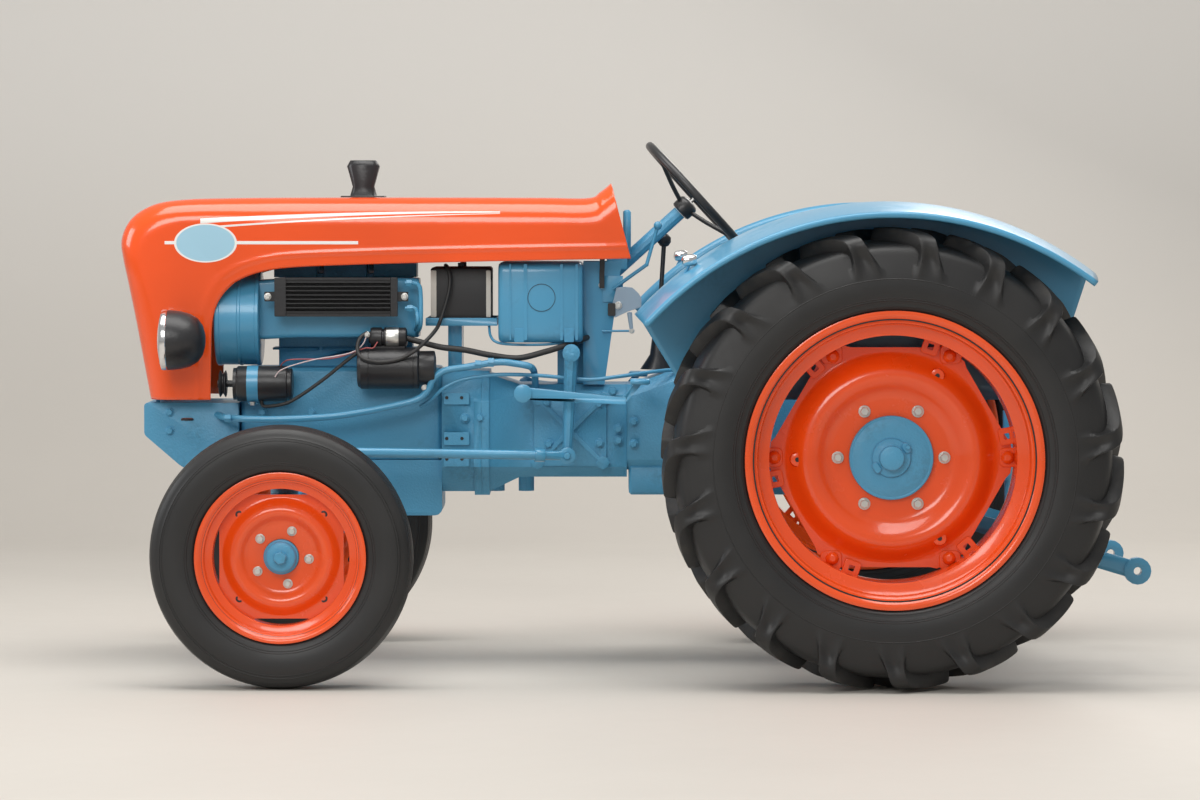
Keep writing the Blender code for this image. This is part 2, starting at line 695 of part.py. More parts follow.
def knuckle(name, side):
    y = side * KINGPIN_Y
    pivot = (FRONT_AXLE_X, y, FRONT_TYRE_RADIUS)
    low_top = AXLE_EYE_LOW_Z - RUN_GAP
    body = rod(
        KNUCKLE_BODY_RADIUS,
        low_top - KNUCKLE_LOW_Z,
        (FRONT_AXLE_X, y, (low_top + KNUCKLE_LOW_Z) / 2),
        "Z",
        FACETS_ROUND,
    )
    pin_top = KNUCKLE_CAP_Z
    fuse(
        body,
        rod(
            KINGPIN_RADIUS,
            pin_top - KNUCKLE_LOW_Z,
            (FRONT_AXLE_X, y, (pin_top + KNUCKLE_LOW_Z) / 2),
            "Z",
            FACETS_ROUND,
        ),
    )
    stub_end = FRONT_WHEEL_Y + FRONT_DISC_Y - STUB_END_INSET
    stub = rod(
        STUB_RADIUS,
        stub_end - KINGPIN_Y,
        (FRONT_AXLE_X, side * (stub_end + KINGPIN_Y) / 2, FRONT_TYRE_RADIUS),
        "Y",
        FACETS_ROUND,
    )
    fuse(body, stub)
    tie_end = (FRONT_AXLE_X - TIE_ARM_LONG, side * (KINGPIN_Y - TIE_ARM_IN))
    fuse(body, *flat_arm((FRONT_AXLE_X, y), tie_end, TIE_ARM_Z, TIE_ARM_THICK, TIE_ARM_WIDE))
    cap_low = AXLE_EYE_HIGH_Z + RUN_GAP
    cap_high = STEER_ARM_Z + STEER_ARM_THICK / 2 if side > 0 else KNUCKLE_CAP_Z
    fuse(
        body,
        rod(
            AXLE_EYE_RADIUS,
            cap_high - cap_low,
            (FRONT_AXLE_X, y, (cap_high + cap_low) / 2),
            "Z",
            FACETS_ROUND,
        ),
    )
    if side > 0:
        arm_end = (FRONT_AXLE_X, y - STEER_ARM_LONG)
        fuse(body, *flat_arm((FRONT_AXLE_X, y), arm_end, STEER_ARM_Z, STEER_ARM_NECK_THICK, STEER_ARM_WIDE))
    return piece(name, body, BLUE, pivot)


# Tie rod: behind the axle, on top of both knuckles' arms
TIE_ROD_RADIUS = 0.012
TIE_EYE_RADIUS = 0.018
TIE_EYE_TALL = 0.034


def tie_rod():
    x = FRONT_AXLE_X - TIE_ARM_LONG
    end_y = KINGPIN_Y - TIE_ARM_IN
    low = TIE_ARM_Z + TIE_ARM_THICK / 2 + OVERRUN / 10 + TOUCH
    z = low + TIE_EYE_TALL / 2
    body = rod(TIE_ROD_RADIUS, 2 * end_y, (x, 0, z), "Y")
    for _, side in SIDES:
        fuse(body, rod(TIE_EYE_RADIUS, TIE_EYE_TALL, (x, side * end_y, z), "Z", FACETS_SMALL))
    return piece("tie_rod", body, BLUE, (x, end_y, z))


# Steering box, pitman arm and drag link
BOX_HALF_WIDTH = 0.050
BOX_REAR_X = 0.088
BOX_FRONT_X = 0.128
BOX_NOSE_X = 0.200
BOX_TOP_Z = 1.000
BOX_STEP_Z = 0.872
BOX_LOW_Z = 0.7640
PITMAN_X = 0.1616
PITMAN_TOP_Z = 0.8508
PITMAN_Y = 0.212
PITMAN_BOSS_RADIUS = 0.0235
PITMAN_BOSS_LONG = 0.036
PITMAN_FOOT_X = 0.1722
PITMAN_FOOT_Z = 0.5787
PITMAN_THICK_RADIUS = 0.019
PITMAN_THIN_RADIUS = 0.012
LINK_PIN_RADIUS = PITMAN_THIN_RADIUS * 0.75
LINK_BALL_RADIUS = 0.020
LINK_Y = 0.240
LINK_RADIUS = 0.0125
LINK_EYE_TALL = 0.034
LINK_END_Z = 0.5975
LINK_CLAMP_RADIUS = 0.018
LINK_CLAMP_LONG = 0.026
# Share of the drag link's length at which its clamp sits
LINK_CLAMP_SHARE = 0.10


def steering_box():
    outline = (
        (BOX_REAR_X, BOX_TOP_Z),
        (BOX_FRONT_X, BOX_TOP_Z),
        (BOX_FRONT_X, BOX_STEP_Z),
        (BOX_NOSE_X, BOX_STEP_Z),
        (BOX_NOSE_X, BOX_LOW_Z),
        (BOX_REAR_X, BOX_LOW_Z),
    )
    body = prism(outline, 2 * BOX_HALF_WIDTH)
    end = PITMAN_Y - PITMAN_BOSS_LONG / 2 - RUN_GAP
    start = BOX_HALF_WIDTH - OVERRUN
    at = (PITMAN_X, (start + end) / 2, PITMAN_TOP_Z)
    fuse(body, rod(PITMAN_THICK_RADIUS, end - start, at, "Y"))
    fuse(body, rod_between(COLUMN_RADIUS, COLUMN_LOW, COLUMN_HIGH))
    return piece("steering_box", body, BLUE)


def pitman_arm():
    top = (PITMAN_X, PITMAN_Y, PITMAN_TOP_Z)
    foot = (PITMAN_FOOT_X, PITMAN_Y, PITMAN_FOOT_Z)
    body = rod(PITMAN_BOSS_RADIUS, PITMAN_BOSS_LONG, top, "Y", FACETS_ROUND)
    fuse(body, rod_between(PITMAN_THICK_RADIUS, top, foot, end_radius=PITMAN_THIN_RADIUS))
    pin_end = LINK_Y
    at = (PITMAN_FOOT_X, (PITMAN_Y + pin_end) / 2, PITMAN_FOOT_Z)
    fuse(body, rod(LINK_PIN_RADIUS, pin_end - PITMAN_Y + 2 * LINK_BALL_RADIUS, at, "Y"))
    fuse(body, rod(PITMAN_THIN_RADIUS + OVERRUN / 5, 2 * PITMAN_THIN_RADIUS, foot, "Y"))
    return piece("pitman_arm", body, BLUE, top)


def drag_link():
    start = Vector((PITMAN_FOOT_X, LINK_Y, PITMAN_FOOT_Z))
    end = Vector((FRONT_AXLE_X, KINGPIN_Y - STEER_ARM_LONG, LINK_END_Z))
    way = (end - start).normalized()
    body = rod_between(LINK_RADIUS, start, end)
    eye = rod(LINK_BALL_RADIUS + OVERRUN / 5, LINK_BALL_RADIUS + OVERRUN / 5, start, "Y", FACETS_ROUND)
    fuse(body, eye)
    cut(body, rod(LINK_PIN_RADIUS + PIN_PLAY, 4 * LINK_BALL_RADIUS, start, "Y", FACETS_SMALL))
    clamp = start + (end - start) * LINK_CLAMP_SHARE
    fuse(
        body,
        rod_between(LINK_CLAMP_RADIUS, clamp - way * LINK_CLAMP_LONG / 2, clamp + way * LINK_CLAMP_LONG / 2),
    )
    fuse(body, rod(LINK_BALL_RADIUS, LINK_EYE_TALL, end, "Z", FACETS_ROUND))
    stud_low = STEER_ARM_Z + STEER_ARM_THICK / 2 + TOUCH
    stud = rod(PITMAN_THIN_RADIUS, end.z - stud_low, (end.x, end.y, (end.z + stud_low) / 2), "Z")
    fuse(body, stud)
    return piece("drag_link", body, BLUE, start)


# Steering column and wheel
COLUMN_HIGH = (-0.1303, 0, 1.2249)
COLUMN_LOW = (0.1260, 0, 0.9912)
COLUMN_RADIUS = 0.019
WHEEL_RADIUS = 0.186
WHEEL_GRIP_RADIUS = 0.012
WHEEL_RISE = 0.062
WHEEL_HUB_RADIUS = 0.030
WHEEL_HUB_LONG = 0.046
WHEEL_SPOKE_RADIUS = 0.0055
WHEEL_SPOKES = 3
WHEEL_FACETS = 24
GRIP_FACETS = 6


SPOKE_FOOT_SHARE = 0.6


def steering_wheel():
    way = (Vector(COLUMN_HIGH) - Vector(COLUMN_LOW)).normalized()
    turn = way.to_track_quat("Z", "Y").to_matrix()
    foot = Vector(COLUMN_HIGH) + way * RUN_GAP
    rim_at = foot + way * WHEEL_RISE
    hub = rod(
        WHEEL_HUB_RADIUS,
        WHEEL_HUB_LONG,
        foot + way * WHEEL_HUB_LONG / 2,
        facets=FACETS_ROUND // 2,
        turn=turn,
    )
    bpy.ops.mesh.primitive_torus_add(
        major_radius=WHEEL_RADIUS, minor_radius=WHEEL_GRIP_RADIUS,
        major_segments=WHEEL_FACETS, minor_segments=GRIP_FACETS
    )
    grip = bpy.context.object
    grip.data.transform(Matrix.Translation(rim_at) @ turn.to_4x4())
    for owner in list(grip.users_collection):
        owner.objects.unlink(grip)
    CUTTERS.objects.link(grip)
    fuse(hub, grip)
    for index in range(WHEEL_SPOKES):
        angle = 2 * HALF_TURN * index / WHEEL_SPOKES + QUARTER
        out = turn @ Vector((math.cos(angle), math.sin(angle), 0))
        start = foot + way * WHEEL_HUB_LONG * SPOKE_FOOT_SHARE + out * WHEEL_HUB_RADIUS / 2
        fuse(hub, rod_between(WHEEL_SPOKE_RADIUS, start, rim_at + out * WHEEL_RADIUS, 6))
    return piece("steering_wheel", hub, PLASTIC, foot)


# Engine: one plain block of crankcase on the support, with a sump below
BLOCK_REAR_X = 0.5095
BLOCK_FRONT_X = 1.050
BLOCK_TOP_Z = 0.808
BLOCK_HALF_WIDTH = 0.120
BLOCK_CORNER = 0.020
SUMP_FRONT_X = 0.740
SUMP_LOW_Z = 0.410
SUMP_HALF_WIDTH = 0.115
SUMP_SLOPE = 0.050


def engine_block():
    low = SUPPORT_STEP_Z + TOUCH
    size = (BLOCK_FRONT_X - BLOCK_REAR_X, 2 * BLOCK_HALF_WIDTH, BLOCK_TOP_Z - low)
    at = ((BLOCK_FRONT_X + BLOCK_REAR_X) / 2, 0, (BLOCK_TOP_Z + low) / 2)
    return piece("engine_block", block(size, at, edge=BLOCK_CORNER / 2), BLUE)


def oil_sump():
    top = SUPPORT_STEP_Z
    outline = arc_corners(
        (
            (BLOCK_REAR_X, top, 0),
            (BLOCK_REAR_X, SUMP_LOW_Z, BLOCK_CORNER),
            (SUMP_FRONT_X - SUMP_SLOPE, SUMP_LOW_Z, BLOCK_CORNER),
            (SUMP_FRONT_X, top - SUMP_SLOPE, 0),
            (SUMP_FRONT_X, top, 0),
        )
    )
    return piece("oil_sump", prism(outline, 2 * SUMP_HALF_WIDTH), BLUE)


# Cooling: a blower drum in front and a duct that tapers back along the cylinders' left side
BLOWER_FRONT_X = 1.1165
BLOWER_REAR_X = 0.9965
BLOWER_RADIUS = 0.1253
BLOWER_Y = 0.062
BLOWER_Z = 0.9408
BLOWER_LIP = 0.003
DUCT_REAR_X = 0.570
DUCT_INNER_Y = 0.024
DUCT_REAR_Y = 0.142
DUCT_REAR_LOW_Z = 0.8900
DUCT_REAR_HIGH_Z = 1.050
DUCT_POINTS = 16
# Exponents of the duct's sections: round at the drum, squarer towards the rear
DUCT_SQUARE_SHARES = (1.0, 0.77, 0.55)
BLOWER_EYE_RADIUS = 0.070
BLOWER_EYE_DEEP = 0.030
BLOWER_FOOT_X = 1.025
BLOWER_FOOT_LONG = 0.030
BLOWER_FOOT_WIDE = 0.060


def duct_ring(x, low, high, inner, outer, square):
    """A closed ring of points between an ellipse and a rounded rectangle."""
    ring = []
    for index in range(DUCT_POINTS):
        angle = 2 * HALF_TURN * (index + MIDWAY) / DUCT_POINTS
        across = math.copysign(abs(math.cos(angle)) ** square, math.cos(angle))
        up = math.copysign(abs(math.sin(angle)) ** square, math.sin(angle))
        ring.append(
            (x, (inner + outer) / 2 + across * (outer - inner) / 2, (low + high) / 2 + up * (high - low) / 2)
        )
    return ring


def cooling_shroud():
    left = BLOWER_Y + BLOWER_RADIUS
    front = (BLOWER_Z - BLOWER_RADIUS, BLOWER_Z + BLOWER_RADIUS, DUCT_INNER_Y, left)
    rear = (DUCT_REAR_LOW_Z, DUCT_REAR_HIGH_Z, DUCT_INNER_Y, DUCT_REAR_Y)
    waist = tuple((a + b) / 2 for a, b in zip(front, rear))
    start_x = BLOWER_REAR_X + OVERRUN
    stations = zip(
        (start_x, (start_x + DUCT_REAR_X) / 2, DUCT_REAR_X), (front, waist, rear), DUCT_SQUARE_SHARES
    )
    duct = loft([duct_ring(x, *sides, square) for x, sides, square in stations])
    middle = ((BLOWER_FRONT_X + BLOWER_REAR_X) / 2, BLOWER_Y, BLOWER_Z)
    drum = rod(BLOWER_RADIUS + BLOWER_LIP, BLOWER_FRONT_X - BLOWER_REAR_X, middle, "X", FACETS_ROUND)
    foot_low = BLOCK_TOP_Z + TOUCH
    foot_tall = BLOWER_Z - BLOWER_RADIUS + OVERRUN - foot_low
    foot = (BLOWER_FOOT_X, BLOWER_Y, foot_low + foot_tall / 2)
    fuse(drum, duct, block((BLOWER_FOOT_LONG, BLOWER_FOOT_WIDE, foot_tall), foot))
    cut(
        drum,
        rod(BLOWER_EYE_RADIUS, 2 * BLOWER_EYE_DEEP, (BLOWER_FRONT_X, BLOWER_Y, BLOWER_Z), "X", FACETS_ROUND),
    )
    return piece("cooling_shroud", drum, BLUE)


# Cylinders: three in a row beside the duct, each a barrel with flat fins and a head
CYLINDERS = 3
CYLINDER_FIRST_X = 0.640
CYLINDER_PITCH = 0.135
CYLINDER_Y = -0.040
CYLINDER_HALF = 0.046
FIN_HALF = 0.062
FIN_THICK = 0.006
FINS = 4
HEAD_TOP_Z = 1.110
HEAD_HALF = 0.058
HEAD_TALL = 0.060
COVER_TALL = 0.036
COVER_HALF_WIDTH = 0.040


def cylinder_bank():
    low = BLOCK_TOP_Z + TOUCH
    head_low = HEAD_TOP_Z - HEAD_TALL
    first = CYLINDER_FIRST_X
    last = first + CYLINDER_PITCH * (CYLINDERS - 1)
    long = last - first + 2 * CYLINDER_HALF
    core = block(
        (long, 2 * CYLINDER_HALF, head_low - low + OVERRUN),
        ((first + last) / 2, CYLINDER_Y, (low + head_low + OVERRUN) / 2),
    )
    step = (head_low - low) / (FINS + 1)
    for index in range(CYLINDERS):
        x = first + CYLINDER_PITCH * index
        for fin in range(FINS):
            z = low + step * (fin + 1)
            fuse(core, block((2 * FIN_HALF, 2 * FIN_HALF, FIN_THICK), (x, CYLINDER_Y, z)))
        fuse(
            core,
            block((2 * HEAD_HALF, 2 * HEAD_HALF, HEAD_TALL), (x, CYLINDER_Y, HEAD_TOP_Z - HEAD_TALL / 2)),
        )
        cover = (x, CYLINDER_Y, HEAD_TOP_Z + COVER_TALL / 2 - OVERRUN / 2)
        fuse(
            core,
            block((2 * COVER_HALF_WIDTH, 2 * COVER_HALF_WIDTH, COVER_TALL + OVERRUN), cover, edge=OVERRUN),
        )
    return piece("cylinder_bank", core, BLUE)


# Exhaust manifold: three branches into a log and a pipe that rises to the bonnet
MANIFOLD_Y = -0.150
MANIFOLD_Z = 1.082
MANIFOLD_RADIUS = 0.026
BRANCH_RADIUS = 0.019
STACK_X = 0.7254
STACK_RADIUS = 0.021
STACK_BEND_RADIUS = STACK_RADIUS * 0.98
STACK_TOP_Z = 1.228


def exhaust_manifold():
    first = CYLINDER_FIRST_X
    last = first + CYLINDER_PITCH * (CYLINDERS - 1)
    log = rod(
        MANIFOLD_RADIUS,
        last - first + 2 * MANIFOLD_RADIUS,
        ((first + last) / 2, MANIFOLD_Y, MANIFOLD_Z),
        "X",
    )
    start = CYLINDER_Y - HEAD_HALF - TOUCH
    for index in range(CYLINDERS):
        x = first + CYLINDER_PITCH * index
        fuse(log, rod(BRANCH_RADIUS, start - MANIFOLD_Y, (x, (start + MANIFOLD_Y) / 2, MANIFOLD_Z), "Y"))
    bend_z = HEAD_TOP_Z + COVER_TALL + 2 * STACK_RADIUS
    fuse(
        log,
        rod_between(
            STACK_RADIUS, (STACK_X, MANIFOLD_Y, MANIFOLD_Z), (STACK_X, MANIFOLD_Y + OVERRUN, bend_z)
        ),
    )
    fuse(
        log,
        rod_between(
            STACK_BEND_RADIUS, (STACK_X, MANIFOLD_Y, bend_z - STACK_RADIUS / 2), (STACK_X, 0, bend_z)
        ),
    )
    fuse(
        log,
        rod(
            STACK_RADIUS,
            STACK_TOP_Z - bend_z + STACK_RADIUS,
            (STACK_X, 0, (STACK_TOP_Z + bend_z - STACK_RADIUS) / 2),
            "Z",
        ),
    )
    return piece("exhaust_manifold", log, BLACK)


# Oil cooler: a black finned core in a frame, bolted by two ears to the duct
COOLER_REAR_X = 0.6153
COOLER_FRONT_X = 0.9467
COOLER_LOW_Z = 0.9450
COOLER_HIGH_Z = 1.0590
COOLER_Y = 0.199
COOLER_THICK = 0.024
COOLER_FRAME = 0.010
COOLER_EAR_LONG = 0.024
COOLER_EAR_LOW_Z = 0.950
COOLER_EAR_HIGH_Z = 1.018
COOLER_SLATS = 8
COOLER_SLAT_THICK = 0.004


def oil_cooler():
    long = COOLER_FRONT_X - COOLER_REAR_X
    tall = COOLER_HIGH_Z - COOLER_LOW_Z
    x = (COOLER_FRONT_X + COOLER_REAR_X) / 2
    z = (COOLER_HIGH_Z + COOLER_LOW_Z) / 2
    body = block((long, COOLER_THICK, tall), (x, COOLER_Y, z))
    cut(
        body,
        block(
            (long - 2 * COOLER_FRAME, COOLER_THICK, tall - 2 * COOLER_FRAME),
            (x, COOLER_Y + COOLER_THICK / 2, z),
        ),
    )
    inner = tall - 2 * COOLER_FRAME
    for index in range(COOLER_SLATS):
        slat_z = z - inner / 2 + inner * (index + 1) / (COOLER_SLATS + 1)
        slat = (x, COOLER_Y + OVERRUN / 5, slat_z)
        fuse(body, block((long - COOLER_FRAME, COOLER_THICK - OVERRUN, COOLER_SLAT_THICK), slat))
    for end in (COOLER_REAR_X, COOLER_FRONT_X):
        way = 1 if end == COOLER_FRONT_X else -1
        ear_x = end + way * (COOLER_EAR_LONG / 2 - OVERRUN / 5)
        inside = duct_left_at(ear_x + COOLER_EAR_LONG / 2) + TOUCH
        outside = COOLER_Y + COOLER_THICK / 4
        ear = (ear_x, (outside + inside) / 2, (COOLER_EAR_LOW_Z + COOLER_EAR_HIGH_Z) / 2)
        fuse(body, block((COOLER_EAR_LONG, outside - inside, COOLER_EAR_HIGH_Z - COOLER_EAR_LOW_Z), ear))
    return piece("oil_cooler", body, BLACK)


def duct_left_at(x):
    """The left-most reach of the duct at one station, read from its faceted sections."""
    left = BLOWER_Y + BLOWER_RADIUS
    lefts = (left, (left + DUCT_REAR_Y) / 2, DUCT_REAR_Y)
    facet = math.cos(HALF_TURN / DUCT_POINTS)
    reaches = []
    for outer, square in zip(lefts, DUCT_SQUARE_SHARES):
        reaches.append((outer + DUCT_INNER_Y) / 2 + facet**square * (outer - DUCT_INNER_Y) / 2)
    start = BLOWER_REAR_X + OVERRUN
    place_on = min(max((start - x) / (start - DUCT_REAR_X), 0), 1) * (len(reaches) - 1)
    index = min(int(place_on), len(reaches) - 2)
    return reaches[index] + (reaches[index + 1] - reaches[index]) * (place_on - index)


# Dynamo with its pulley, and the starter with its solenoid
DYNAMO_REAR_X = 0.9069
DYNAMO_FRONT_X = 1.066
DYNAMO_RADIUS = 0.0475
DYNAMO_END_RADIUS = DYNAMO_RADIUS * 0.9
DYNAMO_CAP_RADIUS = DYNAMO_RADIUS * 0.86
DYNAMO_Y = 0.172
DYNAMO_Z = 0.7674
DYNAMO_CAP = 0.030
PULLEY_RADIUS = 0.036
PULLEY_GROOVE_RADIUS = PULLEY_RADIUS * 0.72
PULLEY_THICK = 0.022
PULLEY_GAP = 0.016
BRACKET_THICK = 0.030
STARTER_REAR_X = 0.5225
STARTER_FRONT_X = 0.7346
STARTER_RADIUS = 0.0560
STARTER_NOSE_RADIUS = STARTER_RADIUS * 0.82
STARTER_FACETS = 18
STARTER_Y = 0.180
STARTER_Z = 0.8100
STARTER_NOSE = 0.040
SOLENOID_RADIUS = 0.027
SOLENOID_REAR_X = 0.600
SOLENOID_FRONT_X = 0.7027
SOLENOID_Z = 0.8920
SOLENOID_Y = 0.186


def dynamo():
    profile = (
        (0, DYNAMO_FRONT_X + PULLEY_GAP + PULLEY_THICK),
        (PULLEY_RADIUS, DYNAMO_FRONT_X + PULLEY_GAP + PULLEY_THICK),
        (PULLEY_GROOVE_RADIUS, DYNAMO_FRONT_X + PULLEY_GAP + PULLEY_THICK / 2),
        (PULLEY_RADIUS, DYNAMO_FRONT_X + PULLEY_GAP),
        (PULLEY_RADIUS / 2, DYNAMO_FRONT_X),
        (DYNAMO_RADIUS, DYNAMO_FRONT_X),
        (DYNAMO_RADIUS, DYNAMO_REAR_X + DYNAMO_CAP),
        (DYNAMO_END_RADIUS, DYNAMO_REAR_X + DYNAMO_CAP),
        (DYNAMO_CAP_RADIUS, DYNAMO_REAR_X),
        (0, DYNAMO_REAR_X),
    )
    body = turned(profile, (0, DYNAMO_Y, DYNAMO_Z), "X", 18)
    inner = BLOCK_HALF_WIDTH + TOUCH
    middle_x = (DYNAMO_REAR_X + DYNAMO_FRONT_X) / 2
    foot = (middle_x, (inner + DYNAMO_Y) / 2, DYNAMO_Z)
    fuse(body, block((BRACKET_THICK, DYNAMO_Y - inner, DYNAMO_RADIUS), foot))
    return piece("dynamo", body, STEEL)


def starter_motor():
    long = STARTER_FRONT_X - STARTER_REAR_X - STARTER_NOSE
    body = rod(STARTER_RADIUS, long, (STARTER_FRONT_X - long / 2, STARTER_Y, STARTER_Z), "X", 18)
    nose = (STARTER_REAR_X + (STARTER_NOSE + OVERRUN) / 2, STARTER_Y, STARTER_Z)
    fuse(body, rod(STARTER_NOSE_RADIUS, STARTER_NOSE + OVERRUN, nose, "X", STARTER_FACETS))
    solenoid_long = SOLENOID_FRONT_X - SOLENOID_REAR_X
    coil = ((SOLENOID_FRONT_X + SOLENOID_REAR_X) / 2, SOLENOID_Y, SOLENOID_Z)
    fuse(body, rod(SOLENOID_RADIUS, solenoid_long, coil, "X"))
    bridge = (coil[0], (SOLENOID_Y + STARTER_Y) / 2, (SOLENOID_Z + STARTER_Z) / 2)
    fuse(body, block((solenoid_long / 2, SOLENOID_RADIUS, SOLENOID_Z - STARTER_Z), bridge))
    inner = BLOCK_HALF_WIDTH + TOUCH
    foot = (coil[0], (inner + STARTER_Y) / 2, STARTER_Z)
    fuse(body, block((BRACKET_THICK * 2, STARTER_Y - inner, STARTER_RADIUS), foot))
    return piece("starter_motor", body, BLACK)


# Battery on its tray behind the engine, and the fuel tank with pressed ribs behind that
BATTERY_REAR_X = 0.3780
BATTERY_FRONT_X = 0.5393
BATTERY_TOP_Z = 1.0780
BATTERY_HALF_WIDTH = 0.125
BATTERY_EDGE = 0.005
TERMINAL_RADIUS = 0.009
TERMINAL_TALL = 0.012
TERMINAL_Y = 0.100
TRAY_REAR_X = 0.3602
TRAY_FRONT_X = 0.5526
TRAY_LOW_Z = 0.9214
TRAY_HIGH_Z = 0.9427
TRAY_LIP = 0.010
TRAY_HALF_WIDTH = 0.140
POST_REAR_X = 0.457
POST_FRONT_X = 0.494
POST_HALF_WIDTH = 0.090
TANK_FRONT_X = 0.3569
SCUTTLE_FRONT_X = 0.1303
TANK_REAR_X = SCUTTLE_FRONT_X + TOUCH
TANK_LOW_Z = 0.8768
TANK_HIGH_Z = 1.0927
TANK_HALF_WIDTH = 0.190
TANK_CORNER = 0.016
RIB_RISE = 0.005
RIB_WIDE = 0.014
# Shares of the tank's length, from its front, at which its pressed ribs stand
RIB_SHARES = (0.13, 0.52, 0.61)


def battery():
    low = TRAY_LOW_Z + TRAY_LIP + TOUCH
    size = (BATTERY_FRONT_X - BATTERY_REAR_X, 2 * BATTERY_HALF_WIDTH, BATTERY_TOP_Z - low)
    body = block(
        size, ((BATTERY_FRONT_X + BATTERY_REAR_X) / 2, 0, (BATTERY_TOP_Z + low) / 2), edge=BATTERY_EDGE
    )
    for _, side in SIDES:
        x = (BATTERY_FRONT_X + BATTERY_REAR_X) / 2
        at = (x, side * TERMINAL_Y, BATTERY_TOP_Z + TERMINAL_TALL / 2 - TERMINAL_RADIUS / 2)
        fuse(body, rod(TERMINAL_RADIUS, TERMINAL_TALL + TERMINAL_RADIUS, at, "Z"))
    return piece("battery", body, PLASTIC)


def battery_tray():
    long = TRAY_FRONT_X - TRAY_REAR_X
    x = (TRAY_FRONT_X + TRAY_REAR_X) / 2
    tray = block(
        (long, 2 * TRAY_HALF_WIDTH, TRAY_HIGH_Z - TRAY_LOW_Z), (x, 0, (TRAY_HIGH_Z + TRAY_LOW_Z) / 2)
    )
    wall = TRAY_LIP / 3
    inside = block(
        (long - 2 * wall, 2 * (TRAY_HALF_WIDTH - wall), TRAY_HIGH_Z),
        (x, 0, TRAY_LOW_Z + TRAY_LIP + TRAY_HIGH_Z / 2),
    )
    cut(tray, inside)
    foot = HOUSING_TOP_Z + TOUCH
    post = block(
        (POST_FRONT_X - POST_REAR_X, 2 * POST_HALF_WIDTH, TRAY_LOW_Z - foot + TRAY_LIP / 2),
        ((POST_FRONT_X + POST_REAR_X) / 2, 0, (TRAY_LOW_Z + foot + TRAY_LIP / 2) / 2),
    )
    fuse(tray, post)
    return piece("battery_tray", tray, BLUE)


def fuel_tank():
    long = TANK_FRONT_X - TANK_REAR_X
    x = (TANK_FRONT_X + TANK_REAR_X) / 2
    z = (TANK_HIGH_Z + TANK_LOW_Z) / 2
    tall = TANK_HIGH_Z - TANK_LOW_Z
    body = block((long, 2 * TANK_HALF_WIDTH, tall), (x, 0, z), edge=TANK_CORNER)
    for share in RIB_SHARES:
        rib_x = TANK_FRONT_X - long * share
        fuse(
            body,
            block(
                (RIB_WIDE, 2 * (TANK_HALF_WIDTH + RIB_RISE), tall - 2 * TANK_CORNER),
                (rib_x, 0, z),
                edge=RIB_RISE * 0.9,
            ),
        )
    cut(body, rod_between(COLUMN_RADIUS + COLUMN_HOLE_PLAY, COLUMN_LOW, COLUMN_HIGH))
    return piece("fuel_tank", body, BLUE)


# Scuttle: two side plates and a rear panel that carry the tank, the column and the dash
SCUTTLE_REAR_X = 0.0264
SCUTTLE_FOOT_X = 0.085
SCUTTLE_HALF_WIDTH = 0.124
SCUTTLE_PLATE = 0.004
SCUTTLE_INSET = SCUTTLE_PLATE * 1.5
DASH_TOP_Z = 1.232
DASH_HALF_WIDTH = 0.1195
DASH_THICK = 0.020
DASH_X = 0.012
DASH_LOW_Z = 1.110
COLUMN_HOLE_PLAY = 0.012


def scuttle():
    """Side plates and a rear panel in one bent sheet, standing on the gearbox, with the dash above."""
    foot_z = GEARBOX_TOP_Z + TOUCH
    outline = (
        (SCUTTLE_FRONT_X, TANK_HIGH_Z),
        (SCUTTLE_REAR_X, TANK_HIGH_Z),
        (SCUTTLE_FOOT_X - SCUTTLE_PLATE * 3, foot_z),
        (SCUTTLE_FRONT_X, foot_z),
    )
    body = prism(outline, 2 * SCUTTLE_HALF_WIDTH)
    wall = SCUTTLE_PLATE
    hollow = (
        (SCUTTLE_FRONT_X + OVERRUN, TANK_HIGH_Z + OVERRUN),
        (SCUTTLE_REAR_X + wall, TANK_HIGH_Z + OVERRUN),
        (SCUTTLE_FOOT_X - SCUTTLE_PLATE * 3 + wall, foot_z - OVERRUN),
        (SCUTTLE_FRONT_X + OVERRUN, foot_z - OVERRUN),
    )
    cut(body, prism(hollow, 2 * (SCUTTLE_HALF_WIDTH - SCUTTLE_PLATE)))
    dash = block(
        (DASH_THICK, 2 * DASH_HALF_WIDTH, DASH_TOP_Z - DASH_LOW_Z),
        (DASH_X, 0, (DASH_TOP_Z + DASH_LOW_Z) / 2),
        edge=DASH_THICK / 4,
    )
    fuse(body, dash)
    for _, side in SIDES:
        long = SCUTTLE_REAR_X + 2 * DASH_THICK - DASH_X
        tall = DASH_LOW_Z - TANK_HIGH_Z + 2 * DASH_THICK
        y = side * (SCUTTLE_HALF_WIDTH - SCUTTLE_INSET)
        at = (DASH_X + long / 2, y, DASH_LOW_Z + DASH_THICK - tall / 2)
        fuse(body, block((long, SCUTTLE_PLATE * 2, tall), at))
    cut(body, rod_between(COLUMN_RADIUS + COLUMN_HOLE_PLAY, COLUMN_LOW, COLUMN_HIGH))
    return piece("scuttle", body, BLUE)


